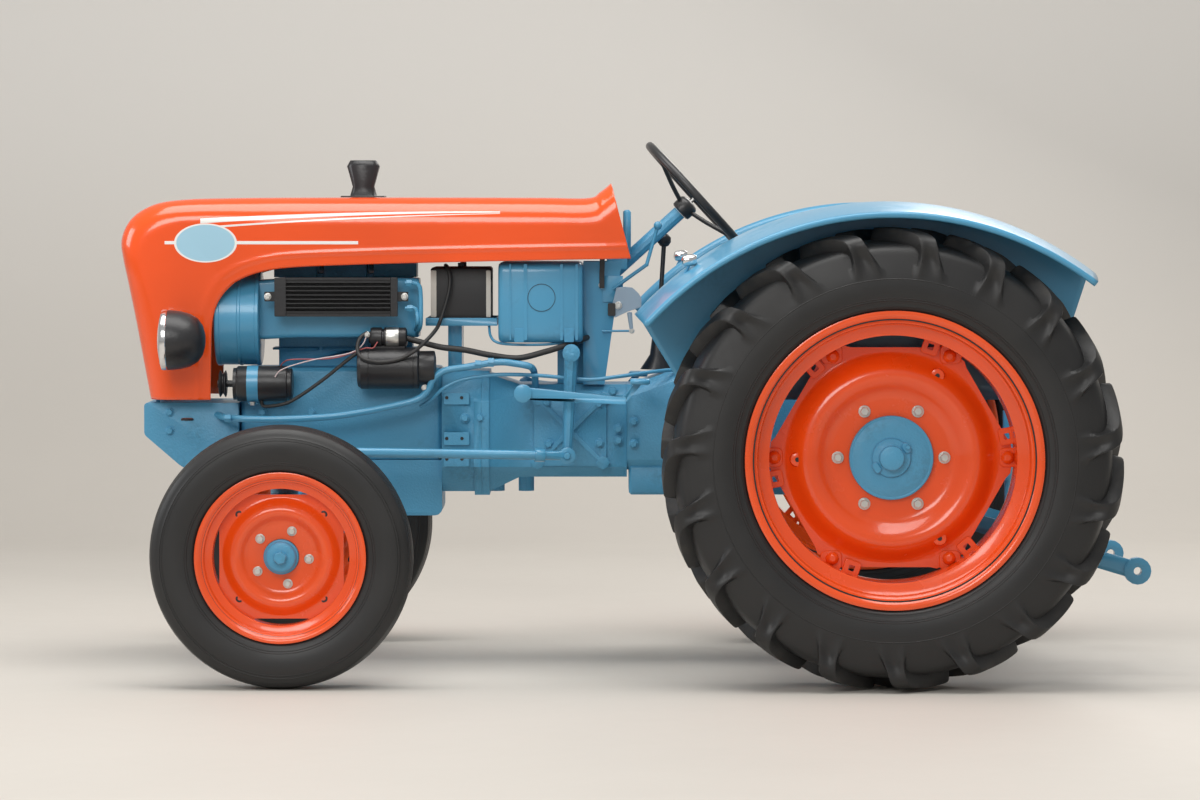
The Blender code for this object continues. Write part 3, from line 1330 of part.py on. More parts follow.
# Clutch housing, gearbox and rear transmission, bolted face to face in one line
HOUSING_FRONT_X = 0.5088
HOUSING_REAR_X = 0.4022
HOUSING_TOP_Z = 0.800
HOUSING_LOW_Z = 0.4744
HOUSING_HALF_WIDTH = 0.165
HOUSING_CORNER = 0.070
FLANGE_THICK = 0.020
FLANGE_RISE = 0.010
GEARBOX_WAIST_X = 0.300
GEARBOX_REAR_X = 0.0127
GEARBOX_TOP_Z = 0.7629
GEARBOX_LOW_Z = 0.5139
GEARBOX_HALF_WIDTH = 0.130
GEARBOX_CORNER = 0.028
COVER_FRONT_X = 0.262
COVER_REAR_X = 0.068
COVER_LOW_Z = 0.545
COVER_HIGH_Z = 0.735
COVER_RISE = 0.010
COVER_RIB = 0.012
COVER_BOSS_RADIUS = 0.018
COVER_BOSS_FACETS = 8
DRAIN_RADIUS = 0.022
DRAIN_DROP = 0.022
DRAIN_XS = (0.365, 0.285)


def chamfered(x, half, low, high, corner):
    """An eight-sided ring at one station: a rectangle with its corners cut off."""
    right = [(half - corner, high), (half, high - corner), (half, low + corner), (half - corner, low)]
    ring = right + [(-y, z) for y, z in reversed(right)]
    return [(x, y, z) for y, z in ring]


def clutch_housing():
    ring = (HOUSING_HALF_WIDTH, HOUSING_LOW_Z, HOUSING_TOP_Z, HOUSING_CORNER)
    body = loft((chamfered(HOUSING_REAR_X + TOUCH, *ring), chamfered(HOUSING_FRONT_X, *ring)))
    rise = FLANGE_RISE
    lip = (HOUSING_HALF_WIDTH + rise, HOUSING_LOW_Z - rise, HOUSING_TOP_Z - TOUCH, HOUSING_CORNER + rise)
    start = HOUSING_REAR_X + TOUCH
    fuse(body, loft((chamfered(start, *lip), chamfered(start + FLANGE_THICK, *lip))))
    return piece("clutch_housing", body, BLUE)


def gearbox():
    bell = (
        HOUSING_HALF_WIDTH + FLANGE_RISE,
        HOUSING_LOW_Z - FLANGE_RISE,
        HOUSING_TOP_Z - TOUCH,
        HOUSING_CORNER + FLANGE_RISE,
    )
    neck = (HOUSING_HALF_WIDTH, HOUSING_LOW_Z, HOUSING_TOP_Z - FLANGE_RISE, HOUSING_CORNER)
    box = (GEARBOX_HALF_WIDTH, GEARBOX_LOW_Z, GEARBOX_TOP_Z, GEARBOX_CORNER)
    body = loft(
        (
            chamfered(HOUSING_REAR_X, *bell),
            chamfered(HOUSING_REAR_X - FLANGE_THICK, *bell),
            chamfered(HOUSING_REAR_X - FLANGE_THICK, *neck),
            chamfered(GEARBOX_WAIST_X, *box),
            chamfered(GEARBOX_REAR_X, *box),
        )
    )
    x = (COVER_FRONT_X + COVER_REAR_X) / 2
    z = (COVER_HIGH_Z + COVER_LOW_Z) / 2
    long = COVER_FRONT_X - COVER_REAR_X
    tall = COVER_HIGH_Z - COVER_LOW_Z
    for _, side in SIDES:
        y = side * (GEARBOX_HALF_WIDTH + COVER_RISE / 2 - OVERRUN / 2)
        fuse(body, block((long, COVER_RISE + OVERRUN, tall), (x, y, z)))
        rib_y = side * (GEARBOX_HALF_WIDTH + COVER_RISE)
        slope = math.atan2(tall, long)
        for lean in (slope, -slope):
            reach = math.hypot(long, tall) - 2 * COVER_BOSS_RADIUS
            fuse(body, block((reach, COVER_RIB, COVER_RIB), (x, rib_y, z), lean=lean))
        for way_x in (1, -1):
            for way_z in (1, -1):
                at = (
                    x + way_x * (long / 2 - COVER_BOSS_RADIUS / 2),
                    rib_y - side * COVER_RIB / 2,
                    z + way_z * (tall / 2 - COVER_BOSS_RADIUS / 2),
                )
                fuse(body, rod(COVER_BOSS_RADIUS, COVER_RIB * 2, at, "Y", COVER_BOSS_FACETS))
    for drain_x in DRAIN_XS:
        fuse(body, rod(DRAIN_RADIUS, 3 * DRAIN_DROP, (drain_x, 0, GEARBOX_LOW_Z - DRAIN_DROP / 2), "Z"))
    return piece("gearbox", body, BLUE)


TRANS_REAR_X = -0.440
TRANS_HALF_WIDTH = 0.135
TRANS_TOP_Z = 0.800
TRANS_LOW_Z = 0.5335
PAN_FRONT_X = 0.0072
PAN_LOW_Z = 0.4664
PAN_HALF_WIDTH = 0.120
PAN_CORNER = 0.012
CENTRE_REAR_X = -0.880
CENTRE_HALF_WIDTH = 0.165
CENTRE_LOW_Z = 0.420
CENTRE_TOP_Z = 0.810
CENTRE_CORNER = 0.050
LIFT_FRONT_X = -0.560
LIFT_TOP_Z = 0.930
LIFT_HALF_WIDTH = 0.130
TOP_LINK_EAR_Y = 0.030
TOP_LINK_EAR_THICK = 0.014
TOP_LINK_LONG = 0.070
TOP_LINK_LOW_Z = 0.690
TOP_LINK_TALL = 0.080
TOP_LINK_HOLE_RADIUS = 0.010
PTO_RADIUS = 0.0175
PTO_LONG = 0.075
PTO_Z = 0.560


def rear_transmission():
    front_x = GEARBOX_REAR_X - TOUCH
    front = (TRANS_HALF_WIDTH, TRANS_LOW_Z, GEARBOX_TOP_Z, GEARBOX_CORNER)
    back = (TRANS_HALF_WIDTH, TRANS_LOW_Z, TRANS_TOP_Z, GEARBOX_CORNER)
    centre = (CENTRE_HALF_WIDTH, CENTRE_LOW_Z, CENTRE_TOP_Z, CENTRE_CORNER)
    body = loft(
        (
            chamfered(front_x, *front),
            chamfered(front_x - FLANGE_THICK, *front),
            chamfered(TRANS_REAR_X / 4, *back),
            chamfered(TRANS_REAR_X, *back),
            chamfered(TRANS_REAR_X - FLANGE_THICK, *centre),
            chamfered(CENTRE_REAR_X, *centre),
        )
    )
    pan_rear = TRANS_REAR_X + PAN_CORNER
    pan_size = (PAN_FRONT_X - pan_rear, 2 * PAN_HALF_WIDTH, TRANS_LOW_Z - PAN_LOW_Z + PAN_CORNER)
    pan_at = ((PAN_FRONT_X + pan_rear) / 2, 0, PAN_LOW_Z + pan_size[2] / 2)
    fuse(body, block(pan_size, pan_at, edge=PAN_CORNER / 2))
    lift_size = (LIFT_FRONT_X - CENTRE_REAR_X, 2 * LIFT_HALF_WIDTH, LIFT_TOP_Z - CENTRE_TOP_Z + OVERRUN)
    lift_at = ((LIFT_FRONT_X + CENTRE_REAR_X) / 2, 0, LIFT_TOP_Z - lift_size[2] / 2)
    fuse(body, block(lift_size, lift_at, edge=PAN_CORNER / 2))
    cut(
        body,
        rod(ROCKSHAFT_RADIUS + PIN_PLAY, HITCH_PIN_LONG * 10, (HITCH_X, 0, ROCKSHAFT_Z), "Y", FACETS_ROUND),
    )
    for _, side in SIDES:
        ear_x = CENTRE_REAR_X - TOP_LINK_LONG / 2 + OVERRUN / 2
        ear = (ear_x, side * TOP_LINK_EAR_Y, TOP_LINK_LOW_Z + TOP_LINK_TALL / 2)
        fuse(body, block((TOP_LINK_LONG + OVERRUN, TOP_LINK_EAR_THICK, TOP_LINK_TALL), ear))
        pin_start = CENTRE_HALF_WIDTH - CENTRE_CORNER
        pin_end = LOWER_LINK_Y + LOWER_LINK_EYE_THICK / 2 + HITCH_PIN_HEAD
        pin = (HITCH_X, side * (pin_start + pin_end) / 2, LOWER_PIVOT_Z)
        fuse(body, rod(LOWER_PIN_RADIUS, pin_end - pin_start, pin, "Y", FACETS_ROUND))
    hole_x = CENTRE_REAR_X - TOP_LINK_LONG + 2 * TOP_LINK_HOLE_RADIUS
    cut(
        body,
        rod(TOP_LINK_HOLE_RADIUS, 4 * TOP_LINK_EAR_Y, (hole_x, 0, TOP_LINK_LOW_Z + TOP_LINK_TALL / 2), "Y"),
    )
    fuse(
        body,
        rod(PTO_RADIUS, PTO_LONG + OVERRUN, (CENTRE_REAR_X - PTO_LONG / 2 + OVERRUN / 2, 0, PTO_Z), "X"),
    )
    return piece("rear_transmission", body, BLUE)


# Rear axle housings: a drum by the centre housing and a trumpet out to the hub
DRUM_RADIUS = 0.165
DRUM_END_Y = 0.380
TRUMPET_RADIUS = 0.085
TRUMPET_START_Y = 0.430
TRUMPET_FLANGE_RADIUS = 0.105
TRUMPET_FLANGE_THICK = 0.020
TRUMPET_NECK_BACK = TRUMPET_FLANGE_THICK * 1.5
FENDER_SEAT_LONG = 0.220
FENDER_SEAT_THICK = 0.012
FENDER_SEAT_TALL = 0.050


def rear_axle(name, side):
    end = REAR_WHEEL_Y + DISC_Y - DISC_WALL - TOUCH - HUB_BACK_THICK - RUN_GAP
    profile = (
        (0, end),
        (TRUMPET_FLANGE_RADIUS, end),
        (TRUMPET_FLANGE_RADIUS, end - TRUMPET_FLANGE_THICK),
        (TRUMPET_RADIUS, end - TRUMPET_NECK_BACK),
        (TRUMPET_RADIUS, TRUMPET_START_Y),
        (DRUM_RADIUS, DRUM_END_Y),
        (DRUM_RADIUS, CENTRE_HALF_WIDTH + TOUCH),
        (0, CENTRE_HALF_WIDTH + TOUCH),
    )
    body = turned(profile, (REAR_AXLE_X, 0, REAR_TYRE_RADIUS), "Y", FACETS_ROUND, flip=side < 0)
    seat_y = FENDER_INNER_Y - FENDER_WALL - TOUCH
    top = REAR_TYRE_RADIUS + DRUM_RADIUS
    size = (FENDER_SEAT_LONG, seat_y - DRUM_END_Y + 3 * FENDER_SEAT_TALL / 2, FENDER_SEAT_THICK)
    shelf = (REAR_AXLE_X, side * (seat_y - size[1] / 2), top)
    fuse(body, block(size, shelf))
    lip = (
        REAR_AXLE_X,
        side * (seat_y - FENDER_SEAT_THICK / 2),
        top + FENDER_SEAT_TALL / 2 - FENDER_SEAT_THICK / 2,
    )
    fuse(body, block((FENDER_SEAT_LONG, FENDER_SEAT_THICK, FENDER_SEAT_TALL), lip))
    return piece(name, body, BLUE)


# Three-point hitch: rockshaft and arms, lift rods and lower links as a parallelogram
HITCH_X = -0.800
LOWER_PIVOT_Z = 0.438
ROCKSHAFT_Z = 0.868
ROCKSHAFT_RADIUS = 0.022
LIFT_ARM_LONG = 0.260
LINK_END_X = -1.3385
LINK_END_Z_LOW = 0.2765
LIFT_ARM_Y = 0.245
LIFT_ARM_THICK = 0.020
LIFT_ARM_HUB_RADIUS = 0.040
LIFT_ARM_ROOT_TALL = LIFT_ARM_HUB_RADIUS * 1.7
LIFT_ARM_END_RADIUS = 0.022
LIFT_ROD_Y = 0.270
LIFT_ROD_RADIUS = 0.010
LIFT_ROD_EYE_RADIUS = 0.020
LIFT_ROD_EYE_THICK = 0.022
LIFT_SLEEVE_RADIUS = 0.015
LOWER_LINK_Y = 0.300
LOWER_LINK_THICK = 0.016
LOWER_LINK_TALL = 0.046
LOWER_LINK_EYE_RADIUS = 0.030
LOWER_LINK_BITE = LOWER_LINK_EYE_RADIUS * 0.8
LOWER_LINK_EYE_THICK = 0.030
LOWER_LINK_BALL_RADIUS = 0.036
LOWER_PIN_RADIUS = 0.014
LOWER_HOLE_RADIUS = 0.011
HITCH_PIN_RADIUS = 0.009
HITCH_PIN_HEAD = 0.004
HITCH_PIN_LONG = 0.040

LINK_SPAN = Vector((LINK_END_X - HITCH_X, LINK_END_Z_LOW - LOWER_PIVOT_Z))
LINK_WAY = LINK_SPAN.normalized()
ROD_FOOT = (HITCH_X + LINK_WAY.x * LIFT_ARM_LONG, LOWER_PIVOT_Z + LINK_WAY.y * LIFT_ARM_LONG)
ROD_TOP = (ROD_FOOT[0], ROD_FOOT[1] + ROCKSHAFT_Z - LOWER_PIVOT_Z)


def bar_between(start, end, y, thick, tall_start, tall_end):
    """A tapered flat bar in the plane of Y between two points of (X, Z)."""
    start = Vector(start)
    end = Vector(end)
    way = (end - start).normalized()
    side_way = Vector((-way.y, way.x))
    corners = (
        start + side_way * tall_start / 2,
        end + side_way * tall_end / 2,
        end - side_way * tall_end / 2,
        start - side_way * tall_start / 2,
    )
    return prism([tuple(corner) for corner in corners], thick, y)


def lift_arms():
    span = 2 * (LIFT_ARM_Y + LIFT_ARM_THICK / 2)
    shaft = rod(ROCKSHAFT_RADIUS, span - LIFT_ARM_THICK / 2, (HITCH_X, 0, ROCKSHAFT_Z), "Y", FACETS_ROUND)
    for _, side in SIDES:
        y = side * LIFT_ARM_Y
        fuse(
            shaft,
            rod(
                LIFT_ARM_HUB_RADIUS,
                LIFT_ARM_THICK + FLANGE_RISE,
                (HITCH_X, y, ROCKSHAFT_Z),
                "Y",
                FACETS_ROUND,
            ),
        )
        fuse(
            shaft,
            bar_between(
                (HITCH_X, ROCKSHAFT_Z),
                ROD_TOP,
                y,
                LIFT_ARM_THICK,
                LIFT_ARM_ROOT_TALL,
                LIFT_ARM_END_RADIUS * 1.8,
            ),
        )
        fuse(
            shaft,
            rod(
                LIFT_ARM_END_RADIUS,
                LIFT_ARM_THICK + OVERRUN / 10,
                (ROD_TOP[0], y, ROD_TOP[1]),
                "Y",
                FACETS_ROUND,
            ),
        )
        pin_end = LIFT_ROD_Y + LIFT_ROD_EYE_THICK / 2 + HITCH_PIN_HEAD
        pin = (ROD_TOP[0], side * (pin_end + LIFT_ARM_Y) / 2, ROD_TOP[1])
        fuse(shaft, rod(HITCH_PIN_RADIUS, pin_end - LIFT_ARM_Y, pin, "Y"))
    return piece("lift_arms", shaft, BLUE, (HITCH_X, 0, ROCKSHAFT_Z))


SLEEVE_SHARE = 0.45


def lift_rod(name, side):
    y = side * LIFT_ROD_Y
    top = (ROD_TOP[0], y, ROD_TOP[1])
    foot = (ROD_FOOT[0], y, ROD_FOOT[1])
    body = rod_between(LIFT_ROD_RADIUS, foot, top)
    tall = ROD_TOP[1] - ROD_FOOT[1]
    fuse(body, rod(LIFT_SLEEVE_RADIUS, tall * SLEEVE_SHARE, (foot[0], y, foot[2] + tall / 2), "Z"))
    for at in (top, foot):
        fuse(body, rod(LIFT_ROD_EYE_RADIUS, LIFT_ROD_EYE_THICK, at, "Y", FACETS_ROUND))
        cut(body, rod(HITCH_PIN_RADIUS + PIN_PLAY, 2 * LIFT_ROD_EYE_THICK, at, "Y"))
    return piece(name, body, BLUE, top)


def lower_link(name, side):
    y = side * LOWER_LINK_Y
    pivot = (HITCH_X, y, LOWER_PIVOT_Z)
    start = (HITCH_X + LINK_WAY.x * LOWER_LINK_BITE, LOWER_PIVOT_Z + LINK_WAY.y * LOWER_LINK_BITE)
    body = bar_between(
        start, (LINK_END_X, LINK_END_Z_LOW), y, LOWER_LINK_THICK, LOWER_LINK_TALL, LOWER_LINK_TALL
    )
    fuse(body, rod(LOWER_LINK_EYE_RADIUS, LOWER_LINK_EYE_THICK, pivot, "Y", FACETS_ROUND))
    cut(body, rod(LOWER_PIN_RADIUS + PIN_PLAY, 2 * LOWER_LINK_EYE_THICK, pivot, "Y", FACETS_ROUND))
    end = (LINK_END_X, y, LINK_END_Z_LOW)
    fuse(body, rod(LOWER_LINK_BALL_RADIUS, LOWER_LINK_EYE_THICK, end, "Y", FACETS_ROUND))
    cut(body, rod(LOWER_HOLE_RADIUS, 2 * LOWER_LINK_EYE_THICK, end, "Y"))
    pin_end = LIFT_ROD_Y - LIFT_ROD_EYE_THICK / 2 - HITCH_PIN_HEAD
    pin = (ROD_FOOT[0], side * (pin_end + LOWER_LINK_Y) / 2, ROD_FOOT[1])
    fuse(body, rod(HITCH_PIN_RADIUS, LOWER_LINK_Y - pin_end, pin, "Y"))
    return piece(name, body, BLUE, pivot)


# Bonnet: one pressed shell of nose, roof and sides, tilting forward on two hinge ears
BONNET_WALL = 0.003
BONNET_REAR_HALF = 0.225
BONNET_NOSE_HALF = 0.198
BONNET_REAR_X = 0.0026
BONNET_TIP_X = 0.056
BONNET_TIP_Z = 1.304
BONNET_ROOF_REAR_X = 0.1175
BONNET_ROOF_Z = 1.2645
BONNET_SHOULDER = 0.075
BONNET_FRONT_LOW_X = 1.2922
BONNET_FRONT_LEAN_SHARE = 0.1757
BONNET_LOW_Z = 0.7245
BONNET_EDGE_REAR_Z = 1.1024
BONNET_EDGE_FRONT_Z = 1.0800
NOSE_REAR_X = 1.1230
NOSE_ARCH_RADIUS = 0.110
NOSE_TOP_RADIUS = 0.118
NOSE_PLAN_RADIUS = 0.070
SHOULDER_FACETS = 3
NOSE_FACETS = 3
HINGE_X = 1.279
HINGE_Z = 0.742
HINGE_Y = 0.100
HINGE_PIN_RADIUS = 0.005
HINGE_EAR_THICK = 0.016
HINGE_EAR_HALF = 0.010
HINGE_NOTCH_WIDE = 0.034
HINGE_NOTCH_TALL = 0.040
HINGE_EYE_THICK = 0.008


def bonnet_front_at(z):
    return BONNET_FRONT_LOW_X + (z - BONNET_LOW_Z) * BONNET_FRONT_LEAN_SHARE


def bonnet_ring(x, roof, inset, foot):
    """One closed section: up the side, round the shoulder, over the roof and down the other side."""
    share = (x - BONNET_REAR_X) / (NOSE_REAR_X - BONNET_REAR_X)
    half = BONNET_REAR_HALF + (BONNET_NOSE_HALF - BONNET_REAR_HALF) * min(max(share, 0), 1) - inset
    top = roof - inset
    shoulder = BONNET_SHOULDER - inset
    right = [(half, foot)]
    for step in range(SHOULDER_FACETS + 1):
        angle = QUARTER * step / SHOULDER_FACETS
        right.append(
            (half - shoulder + shoulder * math.cos(angle), top - shoulder + shoulder * math.sin(angle))
        )
    ring = right + [(-y, z) for y, z in reversed(right)]
    return [(x, y, z) for y, z in ring]


def bonnet_body(inset, foot, tail):
    """The solid that the bonnet's skin bounds, drawn in by an inset and run on past the rear by a tail."""
    stations = [
        (BONNET_REAR_X - tail, BONNET_TIP_Z),
        (BONNET_TIP_X, BONNET_TIP_Z),
        (BONNET_ROOF_REAR_X, BONNET_ROOF_Z),
    ]
    nose_x = bonnet_front_at(BONNET_ROOF_Z) - NOSE_TOP_RADIUS
    stations.append((nose_x, BONNET_ROOF_Z))
    for step in range(1, NOSE_FACETS):
        angle = QUARTER * step / NOSE_FACETS
        stations.append(
            (
                nose_x + NOSE_TOP_RADIUS * math.sin(angle),
                BONNET_ROOF_Z - NOSE_TOP_RADIUS * (1 - math.cos(angle)),
            ),
        )
    stations.append((nose_x + NOSE_TOP_RADIUS, BONNET_ROOF_Z - NOSE_TOP_RADIUS))
    skin = loft([bonnet_ring(x, roof, inset, foot) for x, roof in stations])
    plan = arc_corners(
        (
            (BONNET_REAR_X - 2 * tail - BONNET_REAR_HALF, 2 * BONNET_REAR_HALF, 0),
            (BONNET_REAR_X - 2 * tail - BONNET_REAR_HALF, -2 * BONNET_REAR_HALF, 0),
            (NOSE_REAR_X, -2 * BONNET_REAR_HALF, 0),
            (NOSE_REAR_X, inset - BONNET_NOSE_HALF - OVERRUN / 20, 0),
            (BONNET_FRONT_LOW_X - inset, inset - BONNET_NOSE_HALF - OVERRUN / 20, NOSE_PLAN_RADIUS - inset),
            (BONNET_FRONT_LOW_X - inset, BONNET_NOSE_HALF - inset + OVERRUN / 20, NOSE_PLAN_RADIUS - inset),
            (NOSE_REAR_X, BONNET_NOSE_HALF - inset + OVERRUN / 20, 0),
            (NOSE_REAR_X, 2 * BONNET_REAR_HALF, 0),
        ),
        NOSE_FACETS,
    )
    tall = 2 * BONNET_TIP_Z
    leaning = prism(plan, tall, BONNET_TIP_Z, "XY")
    shear = Matrix.Identity(4)
    shear[0][2] = BONNET_FRONT_LEAN_SHARE
    shear[0][3] = -BONNET_FRONT_LEAN_SHARE * BONNET_LOW_Z
    leaning.data.transform(shear)
    return common(skin, leaning)


def bonnet():
    outer = bonnet_body(0, BONNET_LOW_Z - OVERRUN, 0)
    inner = bonnet_body(BONNET_WALL, BONNET_LOW_Z - 2 * OVERRUN, BONNET_SHOULDER)
    cut(outer, mesh_of(inner))
    below = arc_corners(
        (
            (BONNET_REAR_X - OVERRUN, BONNET_EDGE_REAR_Z, 0),
            (NOSE_REAR_X, BONNET_EDGE_FRONT_Z, NOSE_ARCH_RADIUS),
            (NOSE_REAR_X, BONNET_LOW_Z, 0),
            (2 * NOSE_REAR_X, BONNET_LOW_Z, 0),
            (2 * NOSE_REAR_X, BONNET_LOW_Z - 2 * BONNET_TIP_X, 0),
            (BONNET_REAR_X - OVERRUN, BONNET_LOW_Z - 2 * BONNET_TIP_X, 0),
        ),
        NOSE_FACETS,
    )
    cut(outer, prism(below, 3 * BONNET_REAR_HALF))
    slant = (
        (BONNET_REAR_X, BONNET_EDGE_REAR_Z - OVERRUN),
        (BONNET_TIP_X, BONNET_TIP_Z + OVERRUN),
        (BONNET_REAR_X - BONNET_TIP_X, BONNET_TIP_Z + OVERRUN),
        (BONNET_REAR_X - BONNET_TIP_X, BONNET_EDGE_REAR_Z - OVERRUN),
    )
    cut(outer, prism(slant, 3 * BONNET_REAR_HALF))
    cut(outer, rod(OUTLET_HOLE_RADIUS, BONNET_SHOULDER, (STACK_X, 0, BONNET_ROOF_Z), "Z", FACETS_ROUND))
    middle = (bonnet_front_at((GRILLE_LOW_Z + GRILLE_HIGH_Z) / 2), 0, (GRILLE_LOW_Z + GRILLE_HIGH_Z) / 2)
    window = (BONNET_SHOULDER, 2 * GRILLE_HALF_WIDTH, GRILLE_HIGH_Z - GRILLE_LOW_Z)
    cut(outer, block(window, middle, lean=GRILLE_LEAN))
    for _, side in SIDES:
        notch = (HINGE_X, side * HINGE_Y, BONNET_LOW_Z)
        cut(outer, block((BONNET_SHOULDER, HINGE_NOTCH_WIDE, HINGE_NOTCH_TALL), notch))
        for way in (1, -1):
            y = side * HINGE_Y + way * (HINGE_NOTCH_WIDE + HINGE_EYE_THICK + OVERRUN / 5) / 2
            front = bonnet_front_at(HINGE_Z) - BONNET_WALL / 2
            size = (front - HINGE_X, HINGE_EYE_THICK, 2 * HINGE_EAR_HALF)
            plate = block(size, (HINGE_X + size[0] / 2, y, HINGE_Z))
            fuse(
                outer, plate, rod(HINGE_EAR_HALF, HINGE_EYE_THICK + OVERRUN / 10, (HINGE_X, y, HINGE_Z), "Y")
            )
        cut(
            outer,
            rod(HINGE_PIN_RADIUS + PIN_PLAY, 2 * HINGE_NOTCH_WIDE, (HINGE_X, side * HINGE_Y, HINGE_Z), "Y"),
        )
    return piece("bonnet", outer, ORANGE, (HINGE_X, 0, HINGE_Z), smooth=30)


def hinge_ears(support):
    """The ears on the front support that hold the bonnet's hinge pins."""
    for _, side in SIDES:
        tall = HINGE_Z - SUPPORT_TOP_Z + OVERRUN
        at = (HINGE_X - HINGE_EAR_HALF / 2, side * HINGE_Y, HINGE_Z - tall / 2)
        fuse(support, block((HINGE_EAR_HALF, HINGE_EAR_THICK, tall), at))
        fuse(
            support,
            rod(HINGE_EAR_HALF, HINGE_EAR_THICK + OVERRUN / 10, (HINGE_X, side * HINGE_Y, HINGE_Z), "Y"),
        )
        long = HINGE_NOTCH_WIDE + 2 * HINGE_EYE_THICK + OVERRUN / 2
        fuse(support, rod(HINGE_PIN_RADIUS, long, (HINGE_X, side * HINGE_Y, HINGE_Z), "Y"))


# Grille: slats and two uprights in a frame, set into the nose
GRILLE_LOW_Z = 0.790
GRILLE_HIGH_Z = 1.110
GRILLE_HALF_WIDTH = 0.115
GRILLE_FRAME = 0.010
GRILLE_DEEP = 0.012
GRILLE_SLATS = 9
GRILLE_SLAT_TALL = 0.009
GRILLE_SLAT_DEEP = 0.008
GRILLE_BARS_Y = (-0.038, 0.038)
GRILLE_BAR_WIDE = 0.006
GRILLE_LEAN = math.atan(BONNET_FRONT_LEAN_SHARE)


def grille():
    z = (GRILLE_LOW_Z + GRILLE_HIGH_Z) / 2
    out = Vector((math.cos(GRILLE_LEAN), 0, -math.sin(GRILLE_LEAN)))
    up = Vector((math.sin(GRILLE_LEAN), 0, math.cos(GRILLE_LEAN)))
    centre = Vector((bonnet_front_at(z), 0, z)) - out * GRILLE_DEEP / 2
    tall = (GRILLE_HIGH_Z - GRILLE_LOW_Z) - 2 * TOUCH
    wide = 2 * (GRILLE_HALF_WIDTH - TOUCH)
    frame = block((GRILLE_DEEP, wide, tall), centre, lean=GRILLE_LEAN)
    window = (2 * GRILLE_DEEP, wide - 2 * GRILLE_FRAME, tall - 2 * GRILLE_FRAME)
    cut(frame, block(window, centre, lean=GRILLE_LEAN))
    inner = tall - 2 * GRILLE_FRAME
    for index in range(GRILLE_SLATS):
        at = centre + up * (-inner / 2 + inner * (index + 1) / (GRILLE_SLATS + 1))
        fuse(frame, block((GRILLE_SLAT_DEEP, wide - GRILLE_FRAME, GRILLE_SLAT_TALL), at, lean=GRILLE_LEAN))
    for y in GRILLE_BARS_Y:
        bar = centre - out * GRILLE_SLAT_DEEP / 2 + Vector((0, y, 0))
        fuse(frame, block((GRILLE_BAR_WIDE, GRILLE_BAR_WIDE, tall - GRILLE_FRAME), bar, lean=GRILLE_LEAN))
    return piece("grille", frame, BLACK, (HINGE_X, 0, HINGE_Z))


# Exhaust outlet: a flared square funnel on a base plate, riding on the bonnet's roof
OUTLET_BASE_HALF = 0.0587
OUTLET_BASE_THICK = 0.005
OUTLET_FOOT_HALF = 0.036
OUTLET_WAIST_HALF = 0.0285
OUTLET_WAIST_RISE = 0.030
OUTLET_FLARE_HALF = 0.043
OUTLET_MOUTH_HALF = OUTLET_FLARE_HALF * 0.8
OUTLET_FLARE_RISE = 0.085
OUTLET_TOP_RISE = 0.101
OUTLET_WALL = 0.004
OUTLET_HOLE_RADIUS = 0.024


def square_ring(half, z):
    corner = half / 3
    flat = half - corner
    points = (
        (half, flat),
        (flat, half),
        (-flat, half),
        (-half, flat),
        (-half, -flat),
        (-flat, -half),
        (flat, -half),
        (half, -flat),
    )
    return [(STACK_X + x, y, z) for x, y in points]


def exhaust_outlet():
    base = BONNET_ROOF_Z + TOUCH
    plate = block(
        (2 * OUTLET_BASE_HALF, 2 * OUTLET_BASE_HALF, OUTLET_BASE_THICK),
        (STACK_X, 0, base + OUTLET_BASE_THICK / 2),
    )
    table = (
        (OUTLET_FOOT_HALF, OUTLET_BASE_THICK / 2),
        (OUTLET_WAIST_HALF, OUTLET_WAIST_RISE),
        (OUTLET_FLARE_HALF, OUTLET_FLARE_RISE),
        (OUTLET_MOUTH_HALF, OUTLET_TOP_RISE),
    )
    fuse(plate, loft([square_ring(half, base + rise) for half, rise in table]))
    bore = [(OUTLET_WAIST_HALF - OUTLET_WALL, -OVERRUN)] + [
        (half - OUTLET_WALL, rise) for half, rise in table[1:-1]
    ]
    bore.append((OUTLET_MOUTH_HALF - OUTLET_WALL, OUTLET_TOP_RISE + OVERRUN / 10))
    cut(plate, loft([square_ring(half, base + rise) for half, rise in bore]))
    return piece("exhaust_outlet", plate, BLACK, (HINGE_X, 0, HINGE_Z))


# Headlamps on tapered posts that bolt to the front support's sides
LAMP_FRONT_X = 1.2564
LAMP_REAR_X = 1.1295
LAMP_Y = 0.292
LAMP_Z = 0.8875
LAMP_RADIUS = 0.082
LAMP_BOWL_RADIUS = 0.076
LAMP_BACK_RADIUS = 0.030
LAMP_GLASS_RADIUS = 0.072
LAMP_GLASS_RISE = 0.008
POST_X = 1.178
POST_FOOT_Z = 0.674
POST_FOOT_RADIUS = 0.021
POST_TOP_RADIUS = 0.014
POST_ARM_TALL = 0.034
POST_ARM_WIDE = 0.030


# Shares of the lamp's length behind its glass: the rim's end, the bowl and the bowl's turn
LAMP_BOWL_SHARES = (0.22, 0.30, 0.82)


